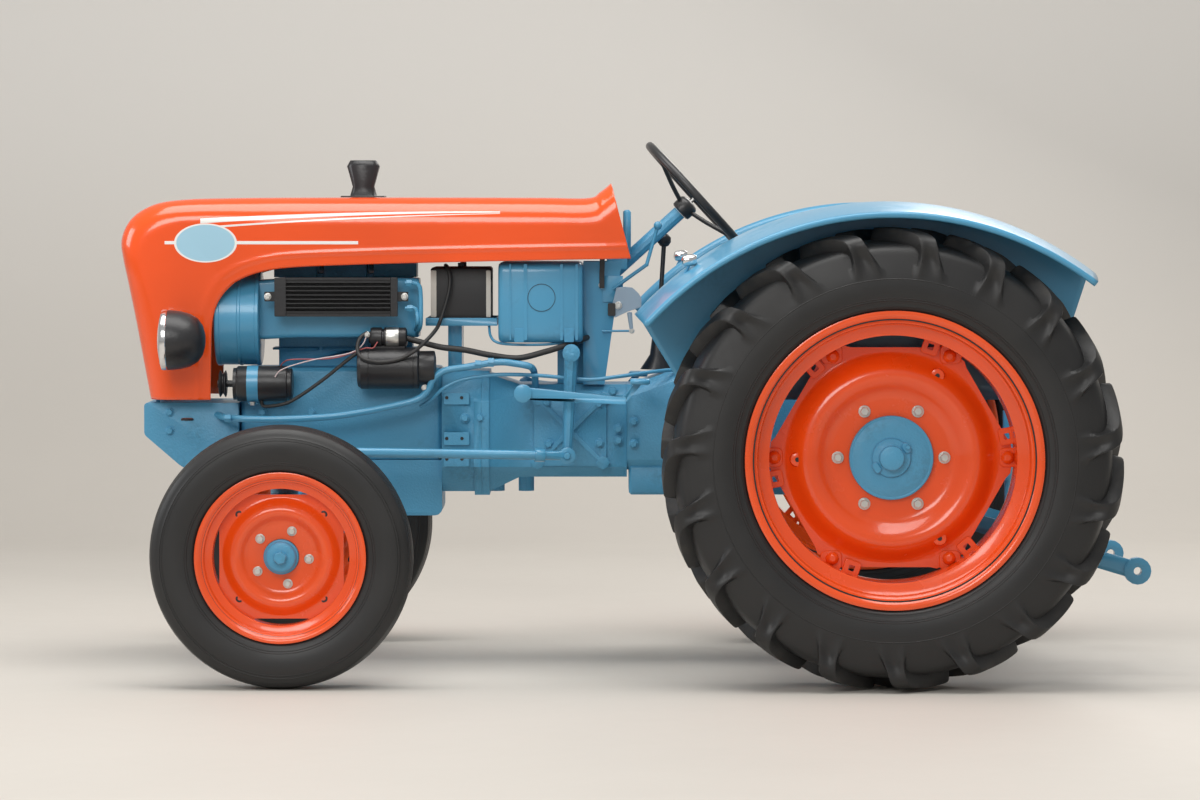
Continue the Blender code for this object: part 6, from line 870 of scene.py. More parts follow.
# Width, height, thickness and square hole of an ear
EAR_SIZE = (0.044, 0.040, 0.014, 0.015)
EAR_FOOT_OUT = -0.040
EAR_FOOT_OUTLINE = (0.056, 0.050, 0.014)
EAR_FOOT_THICK = 0.010
EAR_FOOT_EDGE = 0.002
EAR_BOSS_OUT = -0.032
EAR_BOSS = ((0, 0.012), (0.007, 0.012), (0.013, 0.008), (0.0165, 0.002), (0.018, -0.004), (0, -0.004))
REAR_BOLT_SIZE = 0.021


def rim_surface(air_side, tyre_side, middle, side, facets=128):
    """A closed section turned round the axle: the air side and its mirror, then the tyre side's."""
    air = np.asarray(air_side, float)
    back = np.asarray(tyre_side, float)
    section = np.concatenate([air, air[::-1] * (1, -1), back[::-1] * (1, -1), back])
    return lathe(section, middle, (0, side, 0), facets, ring=True)


def polygon_disc(profile, wall, middle, side, chord, reach, corners, lobe, facets=144):
    """A pressed disc: rings of its profile, drawn in towards a polygon's sides at its edge, where
    radius = chord / cos(angle from the side's middle), no further than reach."""
    profile = np.asarray(profile, float)
    angle = np.linspace(0, 2 * np.pi, facets, endpoint=False)
    turn = 2 * np.pi / corners
    from_side = np.abs((angle + turn / 2) % turn - turn / 2)
    edge = chord / np.cos(from_side)
    blend = np.clip((from_side - (turn / 2 - lobe)) / 0.035, 0, 1)
    edge = np.minimum(edge + (reach - edge) * blend * blend * (3 - 2 * blend), reach)
    share = np.clip((profile[:, :1] - 0.94 * chord) / (profile[-1, 0] - 0.94 * chord), 0, 1)
    radius = profile[:, :1] + share * (edge[None, :] - profile[-1, 0])
    height = profile[:, 1:] + 0 * radius
    radius = np.concatenate([radius, radius[::-1]])
    height = np.concatenate([height, height[::-1] - wall])
    grid = np.stack([radius * np.sin(angle), side * height, radius * np.cos(angle)], -1) + middle
    return grid, True, True


def wheel_point(middle, radius, angle, out, side):
    """A point on a wheel: angle runs from the top towards the nose."""
    return np.array(middle) + (radius * math.sin(angle), side * out, radius * math.cos(angle))


def square_eye(middle, radius, angle, out, side, wide, tall, thick, hole):
    """A welded ear: a rounded plate with a square hole, as one ring of its section carried round."""
    at = wheel_point(middle, radius, angle, out, side)
    across = np.array((math.cos(angle), 0.0, -math.sin(angle)))
    outward = np.array((math.sin(angle), 0.0, math.cos(angle)))
    outer = round_rect(wide, tall, 0.008)
    inner = round_rect(hole, hole, 0.002)
    rows = []
    sections = (
        (inner, -thick), (outer, -thick), (outer, -0.0015),
        (outer * 0.93, 0.0), (inner * 1.06, 0.0), (inner, -0.001),
    )
    for outline, deep in sections:
        flat = at + outline[:, :1] * across + outline[:, 1:] * outward
        rows.append(flat + np.array((0.0, side * deep, 0.0)))
    return np.stack(rows), True, True


sheet_orange = painted("sheet_orange", ORANGE, ORANGE_GRIME, 0.20, 34.0, 0.0006, 0.12, coat=0.5)
for name, side in SIDES:
    node = "rear_wheel_" + name
    facing = (0, side, 0)
    middle = REAR_AXLE + (0, side * REAR_WHEEL_Y, 0)
    seat = REAR_AXLE + (0, side * REAR_DISC_Y, 0)
    disc = (REAR_DISC_CHORD, REAR_DISC_REACH, 6, REAR_DISC_LOBE)
    parts = [
        rim_surface(REAR_RIM, REAR_RIM_BACK, middle, side),
        polygon_disc(REAR_DISC, REAR_DISC_WALL, seat, side, *disc),
    ]
    for corner in range(6):
        angle = (corner + 0.5) * math.pi / 3
        parts.append(square_eye(middle, EAR_RADIUS, angle + side * EAR_HOLE_ANGLE, EAR_OUT, side, *EAR_SIZE))
        foot = wheel_point(middle, EAR_RADIUS + 0.004, angle, EAR_FOOT_OUT, side)
        parts.append(slab(round_rect(*EAR_FOOT_OUTLINE), EAR_FOOT_THICK, foot, facing, EAR_FOOT_EDGE))
        boss_at = wheel_point(middle, EAR_RADIUS - 0.002, angle, EAR_BOSS_OUT, side)
        parts.append(lathe(EAR_BOSS, boss_at, facing, 20))
    add(node + "_pressed", parts, sheet_orange, BODY_OF[node], (node,), 32.0)
    bolts = []
    for index in range(6):
        at = wheel_point(seat, REAR_BOLT_CIRCLE, (index + 0.5) * math.pi / 3, 0.0, side)
        bolts += bolt(at, facing, REAR_BOLT_SIZE, spin=0.2 * index)
    add(node + "_bolts", bolts, zinc, BODY_OF[node])

# Front tyres: smooth black rubber with grooves moulded round the tread, a rounded shoulder and thin
# raised rings on the sidewall.
FRONT_AXLE = np.array((0.905, 0.0, 0.340))
FRONT_WHEEL_Y = 0.620
# Radius and distance out from the tyre's middle, from the bead to the tread's middle groove
FRONT_TYRE = (
    (0.2020, 0.0515), (0.2180, 0.0517), (0.2225, 0.0530), (0.2262, 0.0580), (0.2300, 0.0606),
    (0.2360, 0.0632), (0.2480, 0.0675), (0.2620, 0.0706), (0.2760, 0.0722), (0.2880, 0.0721),
    (0.2985, 0.0706), (0.3075, 0.0682), (0.3086, 0.0693), (0.3098, 0.0679), (0.3165, 0.0650),
    (0.3225, 0.0612), (0.3270, 0.0570), (0.3292, 0.0550), (0.3312, 0.0520), (0.3330, 0.0470),
    (0.3335, 0.0440), (0.3285, 0.0430), (0.3280, 0.0395), (0.3342, 0.0385), (0.3368, 0.0300),
    (0.3375, 0.0245), (0.3310, 0.0235), (0.3308, 0.0195), (0.3382, 0.0185), (0.3397, 0.0090),
    (0.3400, 0.0045), (0.3330, 0.0035), (0.3328, 0.0000),
)
FRONT_RINGS = ((0.2395, 0.0007, 0.9), (0.2450, 0.0006, 0.6), (0.3020, 0.0007, 0.7))
FRONT_DUST_RADIUS = 0.322
steer_rubber = tyre_rubber("steer_tyre_rubber", FRONT_AXLE, FRONT_RINGS, FRONT_DUST_RADIUS)
half = np.asarray(FRONT_TYRE)
section = np.concatenate([half, half[-2::-1] * (1, -1)])
for name, side in SIDES:
    node = "front_tyre_" + name
    middle = FRONT_AXLE + (0, side * FRONT_WHEEL_Y, 0)
    parts = [lathe(section, middle, (0, side, 0), 120, ring=True)]
    add(node + "_moulded", parts, steer_rubber, BODY_OF[node], (node,), 50.0)

# Front wheels: the same rolled rim and pressed disc at a smaller size, welded together, with four
# corners that leave a thin opening between each pair, and five studs round a blue grease cap. The
# round holes near the disc's corners are black cups: painted shade inside the holes.
FRONT_RIM = (
    (0.2040, 0.0525), (0.2195, 0.0540), (0.2208, 0.0565), (0.2202, 0.0590), (0.2168, 0.0602),
    (0.2120, 0.0594), (0.2075, 0.0565), (0.2040, 0.0520), (0.2010, 0.0495), (0.1978, 0.0480),
    (0.1966, 0.0400), (0.1950, 0.0340), (0.1880, 0.0305), (0.1800, 0.0285), (0.1765, 0.0260),
    (0.1760, 0.0180),
)
FRONT_RIM_BACK = ((0.1800, 0.0180), (0.2005, 0.0350), (0.2010, 0.0500))
FRONT_DISC = (
    (0.046, 0.0000), (0.084, 0.0000), (0.090, 0.0012), (0.097, 0.0050), (0.104, 0.0105), (0.111, 0.0145),
    (0.118, 0.0160), (0.125, 0.0146), (0.133, 0.0098), (0.141, 0.0030), (0.148, -0.0030), (0.154, -0.0054),
    (0.160, -0.0060), (0.177, -0.0060),
)
FRONT_DISC_Y = 0.628
FRONT_DISC_WALL = 0.005
FRONT_DISC_CHORD = 0.1600
FRONT_DISC_REACH = 0.1785
FRONT_DISC_LOBE = math.radians(22.0)
FRONT_STUD_CIRCLE = 0.0715
FRONT_STUD_FIRST = math.radians(-22.5)
FRONT_HOLE_RADIUS = 0.1530
FRONT_STUD_SIZE = 0.0165
# A black cup, painted shade, that stands for each round hole near the disc's corners
FRONT_HOLE_SHADE = (
    (0, -0.003), (0.0052, -0.003), (0.0052, 0.0008), (0.0075, 0.0012), (0.0105, 0.0004), (0.0105, -0.004),
    (0, -0.004),
)
for name, side in SIDES:
    node = "front_wheel_" + name
    facing = (0, side, 0)
    middle = FRONT_AXLE + (0, side * FRONT_WHEEL_Y, 0)
    seat = FRONT_AXLE + (0, side * FRONT_DISC_Y, 0)
    disc = (FRONT_DISC_CHORD, FRONT_DISC_REACH, 4, FRONT_DISC_LOBE)
    parts = [
        rim_surface(FRONT_RIM, FRONT_RIM_BACK, middle, side, 104),
        polygon_disc(FRONT_DISC, FRONT_DISC_WALL, seat, side, *disc),
    ]
    add(node + "_pressed", parts, sheet_orange, BODY_OF[node], (node,), 32.0)
    studs = []
    for index in range(5):
        at = wheel_point(seat, FRONT_STUD_CIRCLE, FRONT_STUD_FIRST + index * 2 * math.pi / 5, 0.0, side)
        studs += bolt(at, facing, FRONT_STUD_SIZE, spin=0.3 * index)
    add(node + "_studs", studs, zinc, BODY_OF[node])
    # Painted shade in the disc's round holes
    eye_hole_shades = []
    for index in range(4):
        at = wheel_point(seat, FRONT_HOLE_RADIUS, (index + 0.5) * math.pi / 2, -0.0062, side)
        eye_hole_shades.append(lathe(FRONT_HOLE_SHADE, at, facing, 16))
    add(node + "_eye_hole_shades", eye_hole_shades, black_paint, BODY_OF[node])

# Hubs: cast, machined on their faces and painted blue; the rear ones carry a breather boss with two
# lifting ears, the front ones a pressed grease cap with a hexagon raised on it.
REAR_HUB = (
    (0, 0.0443), (0.0270, 0.0443), (0.0305, 0.0425), (0.0320, 0.0390), (0.0325, 0.0240), (0.0345, 0.0228),
    (0.0480, 0.0224), (0.0500, 0.0205), (0.0515, 0.0150), (0.0700, 0.0146), (0.0985, 0.0146),
    (0.1000, 0.0136), (0.1025, 0.0136), (0.1040, 0.0146), (0.1070, 0.0144), (0.1085, 0.0125),
    (0.1085, 0.0004), (0.0490, 0.0004), (0.0490, -0.0062), (0.1480, -0.0064), (0.1500, -0.0080),
    (0.1500, -0.0190), (0.1480, -0.0203), (0, -0.0203),
)
FRONT_HUB = (
    (0, 0.0415), (0.0170, 0.0415), (0.0180, 0.0400), (0.0185, 0.0375), (0.0300, 0.0370), (0.0360, 0.0345),
    (0.0392, 0.0300), (0.0400, 0.0240), (0.0402, 0.0130), (0.0420, 0.0110), (0.0448, 0.0100),
    (0.0450, -0.0053), (0.0800, -0.0053), (0.0800, -0.0153), (0.0450, -0.0160), (0.0440, -0.0390),
    (0.0240, -0.0390), (0.0235, -0.0200), (0, -0.0200),
)
LIFTING_EARS = (math.radians(-56.0), math.radians(124.0))
LIFTING_EAR_OUTLINE = (0.030, 0.020, 0.009)
for name, side in SIDES:
    facing = (0, side, 0)
    node = "rear_hub_" + name
    seat = REAR_AXLE + (0, side * REAR_DISC_Y, 0)
    parts = [lathe(REAR_HUB, seat, facing, 72)]
    for angle in LIFTING_EARS:
        at = wheel_point(seat, 0.046, angle * side, 0.021, side)
        parts.append(slab(round_rect(*LIFTING_EAR_OUTLINE), 0.014, at, facing, 0.003, angle))
    parts += bolt(wheel_point(seat, 0.050, LIFTING_EARS[0] * side, 0.028, side), facing, 0.011, washer=False)
    add(node + "_cast", parts, cast_blue, BODY_OF[node], (node,))
    node = "front_hub_" + name
    seat = FRONT_AXLE + (0, side * FRONT_DISC_Y, 0)
    parts = [lathe(FRONT_HUB, seat, facing, 56)]
    parts += bolt(seat + (0, side * 0.0405, 0), facing, 0.030, washer=False)
    add(node + "_cast", parts, cast_blue, BODY_OF[node], (node,))

# Bonnet: one shell of pressed sheet steel from cowl to nose, bent over at the roof, open over the
# engine on both sides, with a pressed bead above its lower edge; orange gloss with white stripes.
# Its outline from the cowl's tip to the nose's foot, and the edge of the opening across from it
BONNET_OUTLINE = np.array((
    (0.0560, 1.3040), (0.0860, 1.2800), (0.1175, 1.2648), (0.2400, 1.2655), (0.4500, 1.2662),
    (0.7000, 1.2664), (0.9300, 1.2658), (1.0900, 1.2642), (1.1900, 1.2612), (1.2647, 1.2520),
    (1.3180, 1.2290), (1.3520, 1.1960), (1.3690, 1.1500), (1.3640, 1.1000), (1.3505, 1.0350),
    (1.3300, 0.9320), (1.3110, 0.8280), (1.2922, 0.7250),
))
BONNET_OPENING = np.array((
    (0.0026, 1.1024), (0.0400, 1.1016), (0.0800, 1.1008), (0.2200, 1.0982), (0.4350, 1.0938),
    (0.6900, 1.0875), (0.9000, 1.0790), (0.9900, 1.0660), (1.0500, 1.0430), (1.0800, 1.0180),
    (1.0980, 0.9950), (1.1100, 0.9700), (1.1180, 0.9380), (1.1212, 0.9080), (1.1220, 0.8900),
    (1.1230, 0.8450), (1.1240, 0.7850), (1.1245, 0.7250),
))
BONNET_ROWS = 220
BONNET_HALF_REAR = 0.225
BONNET_HALF_NOSE = 0.198
BONNET_SHOULDER = 0.072
BONNET_WALL = 0.003
# Places of the roof's columns off its middle; those from the fourth to the last but one stay put, as
# the grille's window and the hinge notches end on them
ROOF_COLUMNS = (0.0, 0.03, 0.06, 0.083, 0.099, 0.115, 0.117, 0.121)
BONNET_BEAD = (0.034, 0.006, 0.0022)
GRILLE_Z = (0.790, 1.110)
GRILLE_HALF = 0.115
HINGE_NOTCH = (0.083, 0.117, 0.7445)
NOSE_FROM_X = 1.27
# Stripes and badge, in metres along and up the side
STRIPE_WHITE = (0.86, 0.85, 0.82)
BADGE_BLUE = (0.36, 0.60, 0.74)
BADGE_MIDDLE = (1.1363, 1.1437)
BADGE_HALVES = (0.0838, 0.0520)
BADGE_RIM = 0.93
LONG_STRIPE_Z = 1.1445
LONG_STRIPE_HALF = 0.0042
LONG_STRIPE_X = (0.729, 1.2454)
TOP_STRIPE_X = (0.351, 1.150)


def bonnet_sheet():
    """Each row leaves the outline, runs over the shoulder's quarter circle and goes straight down the
    flat side to the opening's edge. Points near the grille and the hinge notches are left open."""
    outline = curve_through(BONNET_OUTLINE, BONNET_ROWS)
    opening = curve_through(BONNET_OPENING, BONNET_ROWS)
    span = opening - outline
    reach = np.linalg.norm(span, axis=1, keepdims=True)
    inward = span / reach
    nose = np.clip((outline[:, 0] - 0.1) / 1.15, 0, 1)[:, None]
    half = BONNET_HALF_REAR + (BONNET_HALF_NOSE - BONNET_HALF_REAR) * nose
    turn = np.linspace(0, np.pi / 2, 9)[None, :]
    bend_y = half - BONNET_SHOULDER + BONNET_SHOULDER * np.sin(turn)
    bend_deep = BONNET_SHOULDER * (1 - np.cos(turn)) + 0 * bend_y
    far = np.linspace(0, 1, 25)[1:][None, :]
    side_deep = BONNET_SHOULDER + (reach - BONNET_SHOULDER) * far
    from_edge = reach - side_deep
    rise = BONNET_BEAD[2] * np.exp(-((from_edge - BONNET_BEAD[0]) / BONNET_BEAD[1]) ** 2)
    side_y = half + rise
    flat = np.array(ROOF_COLUMNS)[None, :]
    flat_y = flat * (half - BONNET_SHOULDER) / (BONNET_HALF_NOSE - BONNET_SHOULDER)
    flat_y[:, 3:7] = flat[:, 3:7]
    flat_deep = 0 * flat_y + 0.0035 * (flat_y / half) ** 2
    deep = np.concatenate([flat_deep, bend_deep + 0.0010, side_deep], axis=1)
    y = np.concatenate([flat_y, bend_y, side_y], axis=1)
    deep = np.concatenate([deep[:, :0:-1], deep], axis=1)
    y = np.concatenate([-y[:, :0:-1], y], axis=1)
    along_x = outline[:, :1] + inward[:, :1] * deep
    up_z = outline[:, 1:] + inward[:, 1:] * deep
    return np.stack([along_x, y, up_z], -1)


def open_faces(grid):
    """The grid's quads, less those in the grille's window and the two hinge notches."""
    rows, columns = grid.shape[:2]
    quads = grid_faces(rows, columns, False, False)
    middle = grid.reshape(-1, 3)[quads].mean(1)
    in_front = middle[:, 0] > NOSE_FROM_X
    off_middle = np.abs(middle[:, 1])
    height = middle[:, 2]
    window = in_front & (off_middle < GRILLE_HALF) & (height > GRILLE_Z[0]) & (height < GRILLE_Z[1])
    hinge = (off_middle > HINGE_NOTCH[0]) & (off_middle < HINGE_NOTCH[1])
    notch = in_front & hinge & (height < HINGE_NOTCH[2])
    return quads[~(window | notch)][:, ::-1]


def sheet_metal(node, name, grid, quads, finishes, thick, outward):
    """A sheet of quads that a Solidify wall thickens; a second finish goes on the wall's inner face."""
    mesh = bpy.data.meshes.new(name)
    mesh.from_pydata(grid.reshape(-1, 3).tolist(), [], quads.tolist())
    mesh.shade_smooth()
    for finish in finishes:
        mesh.materials.append(finish.material)
    made = bpy.data.objects.new(name, mesh)
    bpy.context.scene.collection.objects.link(made)
    wall = made.modifiers.new("wall", "SOLIDIFY")
    wall.thickness = thick
    wall.offset = outward
    wall.material_offset = len(finishes) - 1
    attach(made, BODY_OF[node])
    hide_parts(node)


def top_line(middle, half):
    """A painted line between the top stripe's ends: its middle's height and half its width."""
    off = (up - middle).math("ABSOLUTE") - half
    return along.within(*TOP_STRIPE_X, 0.0008) * (1 - off.step(-0.0004, 0.0004))


bonnet_paint = Finish("bonnet_paint", coat=0.5)
along, _, up = bonnet_paint.axes()
drift = bonnet_paint.noise(2.6, 2.0).step(0.25, 0.75)
darker = tuple(0.90 * part for part in ORANGE)
lighter = tuple(min(1, 1.06 * part) for part in ORANGE)
tone = bonnet_paint.mix(drift, darker, lighter)
dulled = bonnet_paint.noise(7.0, 6.0).step(0.55, 0.80)
badge_x = (along - BADGE_MIDDLE[0]) / BADGE_HALVES[0]
badge_z = (up - BADGE_MIDDLE[1]) / BADGE_HALVES[1]
badge_at = (badge_x * badge_x + badge_z * badge_z).math("SQRT")
badge = 1 - badge_at.step(0.990, 1.010)
badge_field = 1 - badge_at.step(BADGE_RIM - 0.01, BADGE_RIM + 0.01)
long_stripe = along.within(*LONG_STRIPE_X, 0.0008) * up.within(
    LONG_STRIPE_Z - LONG_STRIPE_HALF, LONG_STRIPE_Z + LONG_STRIPE_HALF, 0.0004
)
top_share = (along - TOP_STRIPE_X[0]) / (TOP_STRIPE_X[1] - TOP_STRIPE_X[0])
top_middle = 1.2262 - 0.0240 * top_share * top_share
top_stripe = top_line(top_middle, 0.0012 + 0.0052 * top_share)
under_stripe = top_line(top_middle - 0.0145 * top_share - 0.004, 0.0006 + 0.0022 * top_share)
striped = long_stripe.math("MAXIMUM", top_stripe).math("MAXIMUM", under_stripe)
tone = bonnet_paint.mix(striped, tone, STRIPE_WHITE)
tone = bonnet_paint.mix(badge, tone, STRIPE_WHITE)
tone = bonnet_paint.mix(badge_field, tone, BADGE_BLUE)
bonnet_paint.bump(bonnet_paint.noise(24.0, 2.0) + 0.4 * striped.math("MAXIMUM", badge), 0.0005)
bonnet_paint.feed(base_color=tone, roughness=0.17 + 0.10 * dulled + 0.05 * bonnet_paint.noise(80.0))

bonnet_grid = bonnet_sheet()
bonnet_quads = open_faces(bonnet_grid)
finishes = (bonnet_paint, sheet_orange)
sheet_metal("bonnet", "bonnet_shell", bonnet_grid, bonnet_quads, finishes, BONNET_WALL, -1.0)

# Fenders: two pressings each, an inner wall and a crown welded along a rounded corner, with the
# crown's outer edge rolled round a wire; light blue gloss, with a lamp on a stalk at the front.
FENDER_MIDDLE = (-0.660, 0.375)
FENDER_INNER = (0.455, 0.876)
FENDER_OUTER = (0.750, 0.850)
FENDER_ANGLES = (math.radians(48.2), math.radians(-37.6))
FENDER_FOOT = np.array(((-0.1492, 0.7368), (-1.0800, 0.7368)))
FENDER_WALL = 0.003
FENDER_ROWS = 80


def fender_sheet(side):
    """Rows go round the arc, columns from the wall's foot up, over the corner and out to the roll.
    The foot's row runs straight from the front corner to the rear one."""
    angle = np.linspace(*FENDER_ANGLES, FENDER_ROWS)[:, None]
    share = np.linspace(0, 1, FENDER_ROWS)[:, None]
    foot = FENDER_FOOT[:1] + (FENDER_FOOT[1:] - FENDER_FOOT[:1]) * share
    corner = [(FENDER_INNER[0], FENDER_INNER[1] - 0.018)]
    turn = np.linspace(0, np.pi / 2, 6)
    bend_y = FENDER_INNER[0] + 0.016 * (1 - np.cos(turn))
    bend_r = FENDER_INNER[1] - 0.016 + 0.016 * np.sin(turn)
    corner += list(zip(bend_y, bend_r))
    crown = np.linspace(0, 1, 14)[1:]
    reach_y = FENDER_OUTER[0] - 0.006 - FENDER_INNER[0] - 0.016
    crown_y = FENDER_INNER[0] + 0.016 + reach_y * crown
    crown_r = FENDER_INNER[1] + (FENDER_OUTER[1] - FENDER_INNER[1]) * crown**1.7
    roll = np.linspace(0, 1.35 * np.pi, 11)[1:]
    roll_y = crown_y[-1] + 0.0055 * np.sin(roll)
    roll_r = crown_r[-1] - 0.0055 * (1 - np.cos(roll))
    section = np.array(corner + list(zip(crown_y, crown_r)) + list(zip(roll_y, roll_r)))
    radius = section[None, :, 1]
    arc_x = FENDER_MIDDLE[0] + radius * np.sin(angle)
    arc_z = FENDER_MIDDLE[1] + radius * np.cos(angle)
    lift = np.linspace(0, 1, 12)[:-1][None, :]
    wall_x = foot[:, :1] + (arc_x[:, :1] - foot[:, :1]) * lift
    wall_z = foot[:, 1:] + (arc_z[:, :1] - foot[:, 1:]) * lift
    wall_y = np.full((FENDER_ROWS, lift.shape[1]), FENDER_INNER[0])
    y = np.concatenate([wall_y, np.tile(section[:, 0], (FENDER_ROWS, 1))], axis=1)
    return np.stack([np.concatenate([wall_x, arc_x], 1), side * y, np.concatenate([wall_z, arc_z], 1)], -1)


for name, side in SIDES:
    node = "fender_" + name
    grid = fender_sheet(side)
    quads = grid_faces(*grid.shape[:2], False, False)[:, ::side]
    sheet_metal(node, node + "_pressing", grid, quads, (sheet_blue,), FENDER_WALL, 1.0)

# Headlamps: spun steel bowls in black enamel on forged posts, each with a plated rim that clamps
# a pressed glass lens.
CHROME_TONES = ((0.62, 0.62, 0.63), (0.80, 0.80, 0.80))
GLASS_TONES = ((0.50, 0.53, 0.55), (0.70, 0.72, 0.72))
LAMP_X = 1.1295
LAMP_Y = 0.292
LAMP_Z = 0.8875
BOWL = (
    (0, 0.0003), (0.018, 0.0008), (0.040, 0.007), (0.058, 0.020), (0.070, 0.040), (0.0765, 0.064),
    (0.0795, 0.090), (0.0795, 0.104), (0.070, 0.104), (0, 0.100),
)
LAMP_RIM = (
    (0.0790, 0.098), (0.0812, 0.100), (0.0820, 0.108), (0.0800, 0.114), (0.0740, 0.1165), (0.0700, 0.1140),
    (0.0715, 0.110), (0.076, 0.100),
)
LENS = (
    (0.0725, 0.110), (0.070, 0.1140), (0.060, 0.1190), (0.040, 0.1235), (0.020, 0.1260), (0, 0.1268),
    (0, 0.105), (0.0725, 0.106),
)
POST_X = 1.178
POST_Z = (0.675, 0.72, 0.80, 0.822)
POST_RADII = (0.0095, 0.0095, 0.0095, 0.013)
POST_FOOT_Z = 0.6745
POST_FOOT = ((0, 0), (0.017, 0), (0.017, 0.005), (0.012, 0.007), (0, 0.007))
chrome = Finish("chrome_rim", metallic=1.0)
chrome_tone = chrome.mix(chrome.noise(60.0), *CHROME_TONES)
chrome.feed(base_color=chrome_tone, roughness=0.08 + 0.12 * chrome.noise(24.0))
chrome.bump(chrome.noise(200.0), 0.0001)
lamp_glass = Finish("lamp_glass", coat=0.8)
glass_tone = lamp_glass.mix(lamp_glass.noise(14.0), *GLASS_TONES)
lamp_glass.feed(base_color=glass_tone, roughness=0.10 + 0.10 * lamp_glass.noise(30.0))
lamp_glass.bump(lamp_glass.noise(90.0, 1.0, (1, 6, 1)), 0.0008)
for name, side in SIDES:
    node = "headlamp_" + name
    y = side * LAMP_Y
    at = (LAMP_X, y, LAMP_Z)
    bowl = [
        lathe(BOWL, at, FORWARD, 64),
        tube(np.array([(POST_X, y, z) for z in POST_Z]), POST_RADII, 20),
        lathe(POST_FOOT, (POST_X, y, POST_FOOT_Z), (0, 0, 1), 32),
    ]
    add("headlamp_bowl_" + name, bowl, black_paint, BODY_OF[node], (node,))
    rim = [lathe(LAMP_RIM, at, FORWARD, 72, ring=True)]
    add("headlamp_rim_" + name, rim, chrome, BODY_OF[node])
    lens = [lathe(LENS, at, FORWARD, 64)]
    add("headlamp_lens_" + name, lens, lamp_glass, BODY_OF[node])

# Steering wheel: a rim, three spokes and a cap moulded in black over a steel core, and held on the
# column's end by a nut under the cap.
PIVOT = np.array((-0.1303, 0.0, 1.2249))
COLUMN_FOOT = np.array((0.1260, 0.0, 0.9912))
UP_COLUMN = PIVOT - COLUMN_FOOT
UP_COLUMN /= np.linalg.norm(UP_COLUMN)
GRIP_CIRCLE = 0.186
GRIP_RISE = 0.062
GRIP_RADIUS = 0.0118
WHEEL_CAP = (
    (0, 0.001), (0.024, 0.001), (0.0290, 0.004), (0.0298, 0.010), (0.0298, 0.030), (0.027, 0.036),
    (0.022, 0.040), (0.010, 0.043), (0, 0.0435),
)
# Each point of a spoke: how far up the column and how far out from it
SPOKE = ((0.022, 0.020), (0.034, 0.075), (0.052, 0.140), (GRIP_RISE, 0.184))
SPOKE_RADIUS = 0.0062
MOULDED_BLACK = (0.020, 0.020, 0.021)
angle = np.linspace(0, 2 * np.pi, 20, endpoint=False)
grip = np.column_stack([GRIP_CIRCLE + GRIP_RADIUS * np.cos(angle), GRIP_RISE + GRIP_RADIUS * np.sin(angle)])
parts = [lathe(grip, PIVOT, UP_COLUMN, 96, ring=True), lathe(WHEEL_CAP, PIVOT, UP_COLUMN, 48)]
first, second, _ = basis(UP_COLUMN)
for index in range(3):
    turn = 2 * np.pi * index / 3
    away = np.cos(turn) * first + np.sin(turn) * second
    spoke = np.array([PIVOT + UP_COLUMN * rise + away * out for rise, out in SPOKE])
    parts.append(tube(curve_through(spoke, 20), SPOKE_RADIUS, 12))
moulded = painted("moulded_black", MOULDED_BLACK, DUST, 0.34, 240.0, 0.0003, 0.2, coat=0.1)
node = "steering_wheel"
add("steering_wheel_rim_and_spokes", parts, moulded, BODY_OF[node], (node,))

# Levers, links, pedals, seat and hitch: forgings and pressings in the two paints, their edges
# broken by hand before they were painted.
for node in (
    "seat", "brake_pedal", "clutch_pedal", "throttle_lever", "drag_link", "tie_rod", "lift_arms",
    "lift_rod_left", "lift_rod_right", "lower_link_left", "lower_link_right", "scuttle", "battery_tray",
):
    softened(node, sheet_blue, 0.0016, 50.0)
for node in ("exhaust_manifold", "exhaust_outlet", "grille", "gear_lever", "seat_spring"):
    softened(node, black_paint, 0.0012, 50.0)

# Bonnet latches: a strap cut from black rubber sheet on each side, held by a plated hook on the
# scuttle; it is let go of the bonnet before that is tipped, and stays behind on the scuttle.
LATCH_PATH = (
    (0.079, 0.1755, 1.128), (0.079, 0.1700, 1.110), (0.079, 0.1560, 1.085), (0.080, 0.1440, 1.060),
    (0.080, 0.1400, 1.022),
)
LATCH_HALF_WIDE = 0.0068
LATCH_THICK = 0.0032
LATCH_HOOK_AT = (0.080, 0.1265, 1.030)
LATCH_HOOK_SIZE = 0.012
for name, side in SIDES:
    mirror = (1, side, 1)
    belt = curve_through(np.array(LATCH_PATH) * mirror, 24)
    across = np.array((LATCH_HALF_WIDE, 0.0, 0.0))
    thick = np.array((0.0, side * LATCH_THICK, 0.0))
    grid = np.stack([belt - across, belt + across, belt + across + thick, belt - across + thick], 1)
    first, last = (end.mean(1, keepdims=True).repeat(4, 1) for end in (grid[:1], grid[-1:]))
    strap = (np.concatenate([first, grid, last]), False, True)
    add("bonnet_latch_" + name, [strap], cable_rubber, CHASSIS)
    hook = bolt(np.array(LATCH_HOOK_AT) * mirror, (0, side, 0), LATCH_HOOK_SIZE)
    add("latch_hook_" + name, hook, zinc, CHASSIS)

